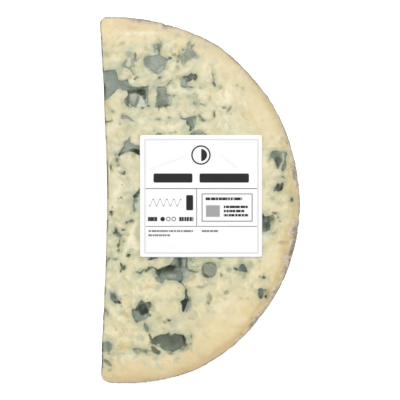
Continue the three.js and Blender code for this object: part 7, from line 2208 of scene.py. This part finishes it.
def small_lobes(count, inside, big):
    out = []
    while len(out) < count:
        p = inside()
        if p is None:
            continue
        size = 0.35 + 1.5 * rng.random() ** 2.4
        a = size * (1 + 0.9 * rng.random())
        b = a * (0.28 + 0.55 * rng.random())
        if any(math.hypot(p[0] - r[0], p[1] - r[1]) < max(r[2], r[3]) * 0.8 for r in big):
            continue
        tone = 0.15 + 0.7 * rng.random()
        hue = max(0.0, 0.9 * rng.random() - 0.3)
        out.append((p[0], p[1], a, b, math.pi * rng.random(), 2.0 + 0.8 * rng.random(), 0.4 * rng.random(),
                    0.25 * (rng.random() - 0.5), tone, 0.3 + 0.9 * b, hue))
        # a spot often has a darker crevice or a paler neighbour
        if rng.random() < 0.45:
            t = 2 * math.pi * rng.random()
            out.append((p[0] + a * math.cos(t), p[1] + a * math.sin(t), a * 0.6, b * 0.5, math.pi * rng.random(), 2.2, 0.2, 0.0,
                        float(np.clip(tone + 0.3 * (rng.random() - 0.4), 0.1, 0.9)), 0.3 + 0.7 * b, hue))
    return out


def clustered(ex, ey, ok):
    """Places in loose groups, as mould grows."""
    centres = [(ex[0] + (ex[1] - ex[0]) * rng.random(), ey[0] + (ey[1] - ey[0]) * rng.random()) for _ in range(26)]

    def draw():
        if rng.random() < 0.75:
            c = centres[rng.integers(len(centres))]
            x, y = c[0] + rng.normal() * 4.5, c[1] + rng.normal() * 4.5
        else:
            x, y = ex[0] + (ex[1] - ex[0]) * rng.random(), ey[0] + (ey[1] - ey[0]) * rng.random()
        return (x, y) if ok(x, y) else None
    return draw


def in_face(x, y, margin):
    return float(rim_distance(np.array([x]), np.array([y]))[0]) > margin and x - float(cut_x(y)) > 1.0


UNDER_LOBES = UNDER_LOBES + small_lobes(120, clustered((-34, 32), (-60, 60), lambda x, y: in_face(x, y, 8)), UNDER_LOBES)
SIDE_LOBES = SIDE_LOBES + small_lobes(60, clustered((-60, 58), (1, 24), lambda x, y: -57 < x < 56 and 1.2 < y < 23.6), SIDE_LOBES)
# the openings that the upper edge cuts through run on down the side
for number, (ya, yb, strength) in enumerate(EDGE_MARKS):
    reach = Sequence(number + 40)
    long = abs(yb - ya) / 2
    parts = max(1, int(long / 1.6))
    for part in range(parts):
        at = min(ya, yb) + (2 * part + 1) * long / parts
        deep = 0.5 + (0.5 + 2.4 * reach()) * min(1.0, long / parts)
        SIDE_LOBES.append((at, THICKNESS - 0.4 - 0.45 * deep, max(1.25 * long / parts, 0.8), deep, 0.5 * (reach() - 0.5), 2.2, 0.0, 0.0,
                           0.35 + 0.3 * reach(), 1.2, 0.2))
# and a few low on the side, where the paste is as open as above
for y, z, a, b, turn in [(-56.5, 10.2, 1.5, 0.8, 0.9), (-49.6, 4.4, 2.1, 1.1, 0.3), (-37.2, 5.2, 1.2, 0.7, 1.2), (-30.4, 3.4, 1.7, 0.9, -0.4),
                         (-17.2, 4.2, 2.5, 1.2, 0.2), (-6.1, 3.0, 1.0, 0.6, 0.1), (4.8, 4.6, 1.6, 1.0, 0.7), (21.6, 4.2, 2.3, 1.2, -0.3),
                         (30.2, 6.3, 1.2, 0.8, 1.3), (38.4, 3.5, 1.7, 1.0, 0.4), (48.9, 6.8, 2.0, 1.1, 1.0), (53.6, 13.6, 1.3, 0.8, -0.5)]:
    SIDE_LOBES.append((y, z, a, b, turn, 2.2, 0.1, 0.0, 0.35 + 0.3 * ((y * 5.7 + z * 2.3) % 1), 0.9 + 0.6 * b, 0.15))
UNDER_CAVES, UNDER_SHADING_TINTS, UNDER_LOBES = torn(UNDER_LOBES)
SIDE_CAVES, SIDE_SHADING_TINTS, SIDE_LOBES = torn(SIDE_LOBES)


def clear_top(x, y):
    return in_face(x, y, 6.5) and not (abs(x - 0.36) < 21.5 and abs(y - 1.6) < 21.5)


TOP_FLECKS = sow(120, lambda: (-37 + 72 * rng.random(), -62 + 124 * rng.random()), clear_top)
SIDE_FLECKS = sow(40, lambda: (-60 + 118 * rng.random(), 24 * rng.random()), lambda x, y: 1 < y < 24)


# ------------------------------------------------------------------ materials
class Nodes:
    """Short calls for building a material's nodes."""

    def __init__(self, name):
        self.mat = bpy.data.materials.new(name)
        self.mat.use_nodes = True
        self.tree = self.mat.node_tree
        for node in list(self.tree.nodes):
            self.tree.nodes.remove(node)
        self.out = self.new("ShaderNodeOutputMaterial")
        self.bsdf = self.new("ShaderNodeBsdfPrincipled")
        self.tree.links.new(self.bsdf.outputs[0], self.out.inputs["Surface"])

    def new(self, kind, **settings):
        node = self.tree.nodes.new(kind)
        for key, value in settings.items():
            setattr(node, key, value)
        return node

    def put(self, socket, value):
        if isinstance(value, bpy.types.NodeSocket):
            self.tree.links.new(value, socket)
        elif value is not None:
            socket.default_value = value

    def math(self, op, a, b=None, c=None, clamp=False):
        node = self.new("ShaderNodeMath", operation=op, use_clamp=clamp)
        for socket, value in zip(node.inputs, (a, b, c)):
            self.put(socket, value)
        return node.outputs[0]

    def add(self, a, b):
        return self.math("ADD", a, b)

    def sub(self, a, b):
        return self.math("SUBTRACT", a, b)

    def mul(self, a, b):
        return self.math("MULTIPLY", a, b)

    def ramp(self, value, a, b, to0=0.0, to1=1.0, smooth=True):
        """value from a..b mapped to to0..to1, clamped."""
        node = self.new("ShaderNodeMapRange", interpolation_type="SMOOTHSTEP" if smooth else "LINEAR")
        for socket, v in zip(node.inputs[:5], (value, a, b, to0, to1)):
            self.put(socket, v)
        return node.outputs[0]

    def mix(self, a, b, t, kind="MIX"):
        node = self.new("ShaderNodeMix", data_type="RGBA", blend_type=kind, clamp_factor=True)
        self.put(node.inputs[0], t)
        self.put(node.inputs[6], a)
        self.put(node.inputs[7], b)
        return node.outputs[2]

    def attribute(self, name):
        return self.new("ShaderNodeAttribute", attribute_name=name)

    def place(self, stretch=(1, 1, 1), turn=(0, 0, 0)):
        coord = self.new("ShaderNodeTexCoord").outputs["Object"]
        node = self.new("ShaderNodeMapping")
        self.put(node.inputs["Vector"], coord)
        node.inputs["Scale"].default_value = stretch
        node.inputs["Rotation"].default_value = turn
        return node.outputs[0]

    def noise(self, at, size_mm, detail=3.0, rough=0.55, warp=0.0):
        node = self.new("ShaderNodeTexNoise")
        self.put(node.inputs["Vector"], at)
        node.inputs["Scale"].default_value = 1000.0 / size_mm
        node.inputs["Detail"].default_value = detail
        node.inputs["Roughness"].default_value = rough
        node.inputs["Distortion"].default_value = warp
        return node.outputs["Fac"]

    def voronoi(self, at, size_mm, feature="F1", out="Distance"):
        node = self.new("ShaderNodeTexVoronoi", feature=feature)
        self.put(node.inputs["Vector"], at)
        node.inputs["Scale"].default_value = 1000.0 / size_mm
        return node.outputs[out]

    def bump(self, height, distance_mm, strength=1.0, normal=None):
        node = self.new("ShaderNodeBump")
        node.inputs["Strength"].default_value = strength
        node.inputs["Distance"].default_value = distance_mm * MM
        self.put(node.inputs["Height"], height)
        if normal is not None:
            self.put(node.inputs["Normal"], normal)
        return node.outputs[0]


def rgb(r, g, b):
    return tuple(float(v) for v in linear(np.array([[r, g, b]], float))[0]) + (1.0,)


def cheese_material():
    m = Nodes("paste_mould_rind")
    paint = m.attribute("paint").outputs["Color"]
    marks = m.attribute("marks").outputs["Vector"]
    split = m.new("ShaderNodeSeparateXYZ")
    m.put(split.inputs[0], marks)
    mould, rind = split.outputs[0], split.outputs[1]
    at = m.place()
    # fine colour: soft clouding in the paste, dusty grain in the mould, coarse grain in the rind
    cloud = m.noise(at, 2.2, 4, 0.6, 0.6)
    grit = m.noise(at, 0.5, 3, 0.7)
    dust = m.noise(at, 0.34, 3, 0.75)
    tuft = m.voronoi(at, 0.42)
    paste_c = m.mix(paint, m.mix(paint, rgb(255, 248, 226), 0.55, "MIX"), m.ramp(cloud, 0.50, 0.72, 0.0, 0.16))
    paste_c = m.mix(paste_c, rgb(196, 184, 132), m.ramp(cloud, 0.46, 0.28, 0.0, 0.14))
    paste_c = m.mix(paste_c, rgb(188, 172, 118), m.ramp(grit, 0.36, 0.22, 0.0, 0.22))
    mould_c = m.mix(paint, rgb(206, 212, 202), m.ramp(dust, 0.55, 0.80, 0.0, 0.34))
    mould_c = m.mix(mould_c, rgb(52, 60, 50), m.ramp(dust, 0.44, 0.22, 0.0, 0.42))
    mould_c = m.mix(mould_c, rgb(84, 98, 84), m.ramp(tuft, 0.30, 0.62, 0.0, 0.22))
    crust_n = m.noise(at, 0.8, 5, 0.68)
    crust_c = m.mix(paint, rgb(232, 226, 214), m.ramp(crust_n, 0.54, 0.74, 0.0, 0.5))
    crust_c = m.mix(crust_c, rgb(86, 78, 66), m.ramp(crust_n, 0.46, 0.28, 0.0, 0.5))
    colour = m.mix(m.mix(paste_c, mould_c, mould), crust_c, rind)
    m.put(m.bsdf.inputs["Base Color"], colour)
    # surface
    smear = m.noise(m.place((1.0, 0.30, 1.0), (0, 0, 0.5)), 1.1, 3, 0.55, 0.8)
    fine = m.noise(at, 0.22, 2, 0.6)
    paste_h = m.add(m.mul(smear, 0.7), m.mul(fine, 0.18))
    mould_h = m.add(m.mul(dust, 1.1), m.mul(m.math("SUBTRACT", 1.0, tuft), 0.5))
    crust_h = m.add(m.mul(crust_n, 1.8), m.mul(m.noise(at, 0.3, 3, 0.7), 0.6))
    height = m.add(m.add(m.mul(m.sub(1.0, mould), m.mul(paste_h, 0.16)), m.mul(mould, m.mul(mould_h, 0.30))), m.mul(rind, m.mul(crust_h, 0.55)))
    m.put(m.bsdf.inputs["Normal"], m.bump(height, 0.45, 0.8))
    rough = m.ramp(smear, 0.3, 0.7, 0.40, 0.56)
    rough = m.add(rough, m.mul(m.math("MAXIMUM", mould, rind), 0.42))
    m.put(m.bsdf.inputs["Roughness"], rough)
    m.bsdf.inputs["Specular IOR Level"].default_value = 0.32
    m.bsdf.inputs["Subsurface Weight"].default_value = 0.12
    m.bsdf.inputs["Subsurface Radius"].default_value = (1.0, 0.75, 0.45)
    m.bsdf.inputs["Subsurface Scale"].default_value = 0.0016
    return m.mat


def label_material():
    m = Nodes("printed_paper")
    at = m.new("ShaderNodeTexCoord").outputs["Object"]
    split = m.new("ShaderNodeSeparateXYZ")
    m.put(split.inputs[0], at)
    x = m.sub(m.mul(split.outputs[0], 1000.0), LABEL_CX)
    y = m.sub(m.mul(split.outputs[1], 1000.0), LABEL_CY)
    bleed = m.noise(at, 0.25, 2, 0.6)
    fuzz = m.mul(m.sub(bleed, 0.5), 0.05)

    def box_distance(X, Y, hx, hy, r=0.0):
        dx = m.sub(m.math("ABSOLUTE", m.sub(x, X)), hx - r)
        dy = m.sub(m.math("ABSOLUTE", m.sub(y, Y)), hy - r)
        px, py = m.math("MAXIMUM", dx, 0.0), m.math("MAXIMUM", dy, 0.0)
        far = m.math("SQRT", m.add(m.mul(px, px), m.mul(py, py)))
        near = m.math("MINIMUM", m.math("MAXIMUM", dx, dy), 0.0)
        return m.sub(m.add(far, near), r)

    def disc_distance(X, Y, r):
        dx, dy = m.sub(x, X), m.sub(y, Y)
        return m.sub(m.math("SQRT", m.add(m.mul(dx, dx), m.mul(dy, dy))), r)

    def shade(dark):
        """Share of ink that gives this darkness to the eye."""
        return min(1.0, (1 - (1 - dark) ** 2.2) * 1.01)

    def ink(distance, dark, half_line=None, soft=0.06):
        strength = shade(dark)
        d = m.add(distance, fuzz)
        if half_line is not None:
            d = m.sub(m.math("ABSOLUTE", d), half_line)
        return m.ramp(d, soft, -soft, 0.0, strength)

    layers = []
    for kind, *v in SHAPES:
        if kind == "bar":
            X, Y, hx, hy, r, dark = v
            layers.append(ink(box_distance(X, Y, hx, hy, r), dark))
        elif kind == "frame":
            X, Y, hx, hy, r, line, dark = v
            layers.append(ink(box_distance(X, Y, hx, hy, r), dark, line))
        elif kind == "disc":
            X, Y, r, dark = v
            layers.append(ink(disc_distance(X, Y, r), dark))
        elif kind == "ring":
            X, Y, r, line, dark = v
            layers.append(ink(disc_distance(X, Y, r), dark, line))
        elif kind == "half":
            X, Y, r, dark = v
            side = m.ramp(m.sub(x, X), 0.02, 0.10, 0.0, 1.0)
            layers.append(m.mul(ink(disc_distance(X, Y, r), dark), side))
        elif kind == "wave":
            X, Y, hx, amp, length, line, dark = v
            up = m.mul(m.math("SINE", m.mul(m.sub(x, X), 2 * math.pi / length)), amp)
            d = m.math("ABSOLUTE", m.sub(m.sub(y, Y), up))
            inside = m.ramp(m.math("ABSOLUTE", m.sub(x, X)), hx, hx - 0.3, 0.0, 1.0)
            layers.append(m.mul(m.ramp(d, line + 0.07, line - 0.05, 0.0, shade(dark)), inside))
        elif kind == "words":
            # a row of small dashes of uneven length, as small print looks from afar
            X, Y, hx, hy, dark = v
            run = m.new("ShaderNodeTexNoise", noise_dimensions="1D")
            m.put(run.inputs["W"], m.add(m.mul(x, 2.1), Y * 7.7))
            run.inputs["Scale"].default_value = 1.0
            run.inputs["Detail"].default_value = 1.0
            gaps = m.ramp(run.outputs["Fac"], 0.36, 0.44, 0.25, 1.0)
            layers.append(m.mul(ink(box_distance(X, Y, hx, hy), dark), gaps))
    total = layers[0]
    for layer in layers[1:]:
        total = m.math("MAXIMUM", total, layer)
    fibre = m.noise(at, 0.35, 4, 0.7)
    cloudy = m.noise(at, 9.0, 2, 0.5)
    paper = m.mix(rgb(251, 251, 251), rgb(246, 246, 245), m.ramp(fibre, 0.35, 0.7, 0.0, 0.5))
    paper = m.mix(paper, rgb(248, 248, 246), m.ramp(cloudy, 0.45, 0.7, 0.0, 0.5))
    # the folds' painted shade darkens the paper
    crease = m.attribute("crease").outputs["Fac"]
    paper = m.mix(paper, rgb(214, 215, 216), crease)
    colour = m.mix(paper, rgb(16, 16, 17), total)
    m.put(m.bsdf.inputs["Base Color"], colour)
    m.put(m.bsdf.inputs["Roughness"], m.ramp(total, 0.0, 1.0, 0.62, 0.42))
    m.bsdf.inputs["Specular IOR Level"].default_value = 0.25
    m.put(m.bsdf.inputs["Normal"], m.bump(m.add(m.mul(fibre, 1.0), m.mul(total, -0.15)), 0.02, 0.5))
    return m.mat


def floor_material():
    m = Nodes("studio_floor")
    at = m.new("ShaderNodeTexCoord").outputs["Object"]
    n = m.noise(at, 40.0, 3, 0.5)
    m.put(m.bsdf.inputs["Base Color"], m.mix((0.97, 0.97, 0.97, 1.0), (0.95, 0.95, 0.947, 1.0), n))
    m.bsdf.inputs["Roughness"].default_value = 0.9
    m.bsdf.inputs["Specular IOR Level"].default_value = 0.0
    m.bsdf.inputs["Emission Color"].default_value = (1.0, 1.0, 1.0, 1.0)
    m.bsdf.inputs["Emission Strength"].default_value = 0.34
    return m.mat


# ------------------------------------------------------------------ objects
def make_object(name, verts_mm, tris, quads=None, many=()):
    nt = len(tris)
    nq = 0 if quads is None else len(quads)
    parts = [tris.ravel()] + ([quads.ravel()] if nq else []) + [np.array(m) for m in many]
    sizes = np.concatenate([np.full(nt, 3), np.full(nq, 4), np.array([len(m) for m in many], int)]).astype(int)
    loops = np.concatenate(parts)
    mesh = bpy.data.meshes.new(name)
    mesh.vertices.add(len(verts_mm))
    mesh.vertices.foreach_set("co", (verts_mm * MM).astype(np.float32).ravel())
    mesh.loops.add(len(loops))
    mesh.loops.foreach_set("vertex_index", loops.astype(np.int32))
    mesh.polygons.add(len(sizes))
    mesh.polygons.foreach_set("loop_start", np.concatenate([[0], np.cumsum(sizes)[:-1]]).astype(np.int32))
    mesh.update(calc_edges=True)
    mesh.validate()
    mesh.polygons.foreach_set("use_smooth", np.ones(len(mesh.polygons), bool))
    obj = bpy.data.objects.new(name, mesh)
    bpy.context.scene.collection.objects.link(obj)
    return obj


def paint(obj, colours, marks):
    attr = obj.data.attributes.new("paint", "FLOAT_COLOR", "POINT")
    attr.data.foreach_set("color", np.column_stack([linear(colours), np.ones(len(colours))]).astype(np.float32).ravel())
    attr = obj.data.attributes.new("marks", "FLOAT_VECTOR", "POINT")
    attr.data.foreach_set("vector", np.column_stack([marks, np.zeros(len(marks))]).astype(np.float32).ravel())


verts, tris, quads, many, colours, marks = build_body()
body = make_object("paste_body", verts, tris, quads, many)
paint(body, colours, marks)
finish = cheese_material()
body.data.materials.append(finish)
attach(body, "root")
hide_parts("cheese_slice")
print("paste triangles", sum(len(p.vertices) - 2 for p in body.data.polygons), "points", len(verts))

verts, quads, caps, colours = build_rind()
rind = make_object("rind", verts, np.zeros((0, 3), int), quads, caps)
paint(rind, colours, np.tile((0.0, 1.0), (len(verts), 1)))
rind.data.materials.append(finish)
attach(rind, "root")
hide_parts("cheese_slice")
print("rind triangles", sum(len(p.vertices) - 2 for p in rind.data.polygons), "points", len(verts))

lo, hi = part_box("label")
LABEL_CX, LABEL_CY = (lo.x + hi.x) / 2 * 1000, (lo.y + hi.y) / 2 * 1000

# Print, in mm about the label's centre: plain bars, frames, dots and rules only.
SHAPES = [
    ("frame", 0.18, -0.09, 20.34, 20.39, 0.11, 0.27, 0.11),
    ("bar", 0.13, 2.68, 20.03, 0.13, 0, 0.85),
    ("bar", 0.13, -10.91, 20.03, 0.11, 0, 0.8),
    ("bar", -1.55, -4.1, 0.11, 6.8, 0, 0.8),
    ("ring", 0, 14.76, 3.24, 0.27, 0.95),
    ("half", 0, 14.76, 2.23, 0.95),
    ("bar", -10.08, 6.48, 7.02, 1.66, 0.58, 0.93),
    ("bar", 8.37, 6.48, 8.91, 1.66, 0.58, 0.93),
    ("wave", -12.87, -2.34, 6.03, 1.22, 2.48, 0.15, 0.85),
    ("bar", -4.07, -2.39, 1.26, 2.75, 0.43, 0.93),
    ("words", -17.37, -8.28, 1.71, 0.76, 0.85),
    ("disc", -13.79, -8.28, 0.83, 0.95),
    ("ring", -11.77, -8.28, 0.68, 0.14, 0.85),
    ("ring", -9.79, -8.28, 0.68, 0.14, 0.85),
    ("words", -5.4, -8.28, 2.7, 0.76, 0.85),
    ("frame", 9.4, -4.14, 9.0, 4.9, 0.0, 0.14, 0.8),
    ("words", 8.2, -1.0, 6.6, 0.5, 0.85),
    ("bar", 4.3, -5.4, 2.5, 2.1, 0.0, 0.35),
    ("words", 12.6, -3.9, 4.4, 0.45, 0.85),
    ("words", 11.9, -5.4, 3.7, 0.45, 0.85),
    ("words", 12.6, -6.9, 4.4, 0.45, 0.85),
    ("words", -10.91, -12.6, 8.03, 0.36, 0.5),
    ("words", -15.05, -14.11, 3.89, 0.36, 0.5),
    ("words", 3.15, -12.6, 2.97, 0.36, 0.5),
]
# Soft folds in the paper, with painted shade: from x, y to x, y, half width, height, grey of the painted shade
FOLDS = [
    (-20.4, 8.9, -4.2, 14.4, 1.3, 0.10, 0.30),
    (6.1, 15.4, 13.3, 9.3, 1.5, 0.12, 0.34),
    (0.5, -8.5, 16.0, -11.5, 1.6, 0.06, 0.12),
    (-18.0, -14.0, -9.0, -19.0, 1.2, 0.05, 0.08),
]


def build_label():
    size = 0.5
    half = LABEL_SIZE / 2
    k = int(LABEL_SIZE / size) + 1
    s = np.linspace(-half, half, k)
    gx, gy = np.meshgrid(s, s, indexing="ij")
    x, y = gx.ravel().copy(), gy.ravel().copy()
    # round the corners by moving the outer points in
    r = LABEL_CORNER
    ax, ay = np.abs(x) - (half - r), np.abs(y) - (half - r)
    corner = (ax > 0) & (ay > 0)
    long = np.hypot(ax, ay)
    pull = np.where(corner & (long > r), r / np.maximum(long, 1e-9), 1.0)
    x = np.where(corner, np.sign(x) * ((half - r) + ax * pull), x)
    y = np.where(corner, np.sign(y) * ((half - r) + ay * pull), y)
    q = np.column_stack([x, y, np.zeros(len(x))])
    wave = 0.05 * fbm(q, 14, 2, 200) + 0.02 * noise(q, 4, 203)
    # grey is the painted shade along each fold
    grey = np.zeros(len(x))
    for xa, ya, xb, yb, w, h, g in FOLDS:
        length = math.hypot(xb - xa, yb - ya)
        ux, uy = (xb - xa) / length, (yb - ya) / length
        u = ((x - xa) * ux + (y - ya) * uy) / length
        v = -(x - xa) * uy + (y - ya) * ux
        spread = w * (0.25 + 0.75 * np.clip(u, 0, 1))
        ends = step(-0.02, 0.15, u) * step(1.05, 0.8, u)
        one = np.where(v < 0, np.exp(v / (spread * 0.25)), np.exp(-(v / spread) ** 2)) * ends
        wave += h * one
        grey = np.maximum(grey, g * np.where(v < 0, np.exp(v / 0.15), np.exp(-(v / spread) ** 2)) * ends)
    edge = np.minimum(half - np.abs(x), half - np.abs(y))
    curl = 0.05 * step(1.2, 0.0, edge) * (0.6 + 0.4 * noise(q, 9, 205))
    zt = 25.36 + wave + curl
    zb = zt - 0.20
    zb = np.maximum(zb, 25.09)
    zt = np.maximum(zt, zb + 0.12)
    nloc = len(x)
    top = np.column_stack([x + LABEL_CX, y + LABEL_CY, zt])
    low = np.column_stack([x + LABEL_CX, y + LABEL_CY, zb])
    ids = np.arange(nloc).reshape(k, k)
    a, b, c, d = ids[:-1, :-1].ravel(), ids[1:, :-1].ravel(), ids[1:, 1:].ravel(), ids[:-1, 1:].ravel()
    quads_top = np.column_stack([a, b, c, d])
    quads_low = quads_top[:, ::-1] + nloc
    rim = np.concatenate([ids[:-1, 0], ids[-1, :-1], ids[:0:-1, -1], ids[0, :0:-1]])
    nxt = np.roll(rim, -1)
    side = np.column_stack([rim, rim + nloc, nxt + nloc, nxt])
    quads_all = np.concatenate([quads_top, quads_low, side])
    return np.concatenate([top, low]), quads_all, np.concatenate([grey, grey])


lv, lq, fold_shade_values = build_label()
label = make_object("label_sheet", lv, np.zeros((0, 3), int), lq)
attr = label.data.attributes.new("crease", "FLOAT", "POINT")
attr.data.foreach_set("value", fold_shade_values.astype(np.float32))
label.data.materials.append(label_material())
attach(label, "root")
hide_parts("label")

# ------------------------------------------------------------------ studio
bpy.ops.mesh.primitive_plane_add(size=6.0, location=(0, 0, -0.0004))
floor = bpy.context.object
floor.name = "studio_floor"
floor.data.materials.append(floor_material())

scene = bpy.context.scene
scene.view_settings.view_transform = "Standard"
scene.view_settings.look = "None"
scene.view_settings.exposure = 0.0
scene.view_settings.gamma = 1.0
world = bpy.data.worlds.new("studio")
scene.world = world
world.use_nodes = True
back = world.node_tree.nodes["Background"]
back.inputs[0].default_value = (1.0, 1.0, 1.0, 1.0)
back.inputs[1].default_value = 0.90


def area(name, where, aim, size, power):
    light = bpy.data.lights.new(name, "AREA")
    light.shape = "DISK"
    light.size = size
    light.energy = power
    obj = bpy.data.objects.new(name, light)
    obj.location = where
    obj.rotation_euler = (Vector(aim) - Vector(where)).to_track_quat("-Z", "Y").to_euler()
    scene.collection.objects.link(obj)
    return obj


area("key", (0.06, 0.46, 1.05), (0, 0, 0.02), 0.45, 5.6)

camera_data = bpy.data.cameras.new("camera")
camera_data.lens = 120.0
camera_data.sensor_fit = "AUTO"
camera_data.sensor_width = 36.0
camera = bpy.data.objects.new("camera", camera_data)
camera.location = (SHIFT[0] * MM, (0.18 + SHIFT[1]) * MM, 0.025 + 0.480)
camera.rotation_euler = (0.0, 0.0, 0.0)
camera_data.clip_start = 0.01
camera_data.clip_end = 20.0
scene.collection.objects.link(camera)
scene.camera = camera

bpy.context.view_layer.update()
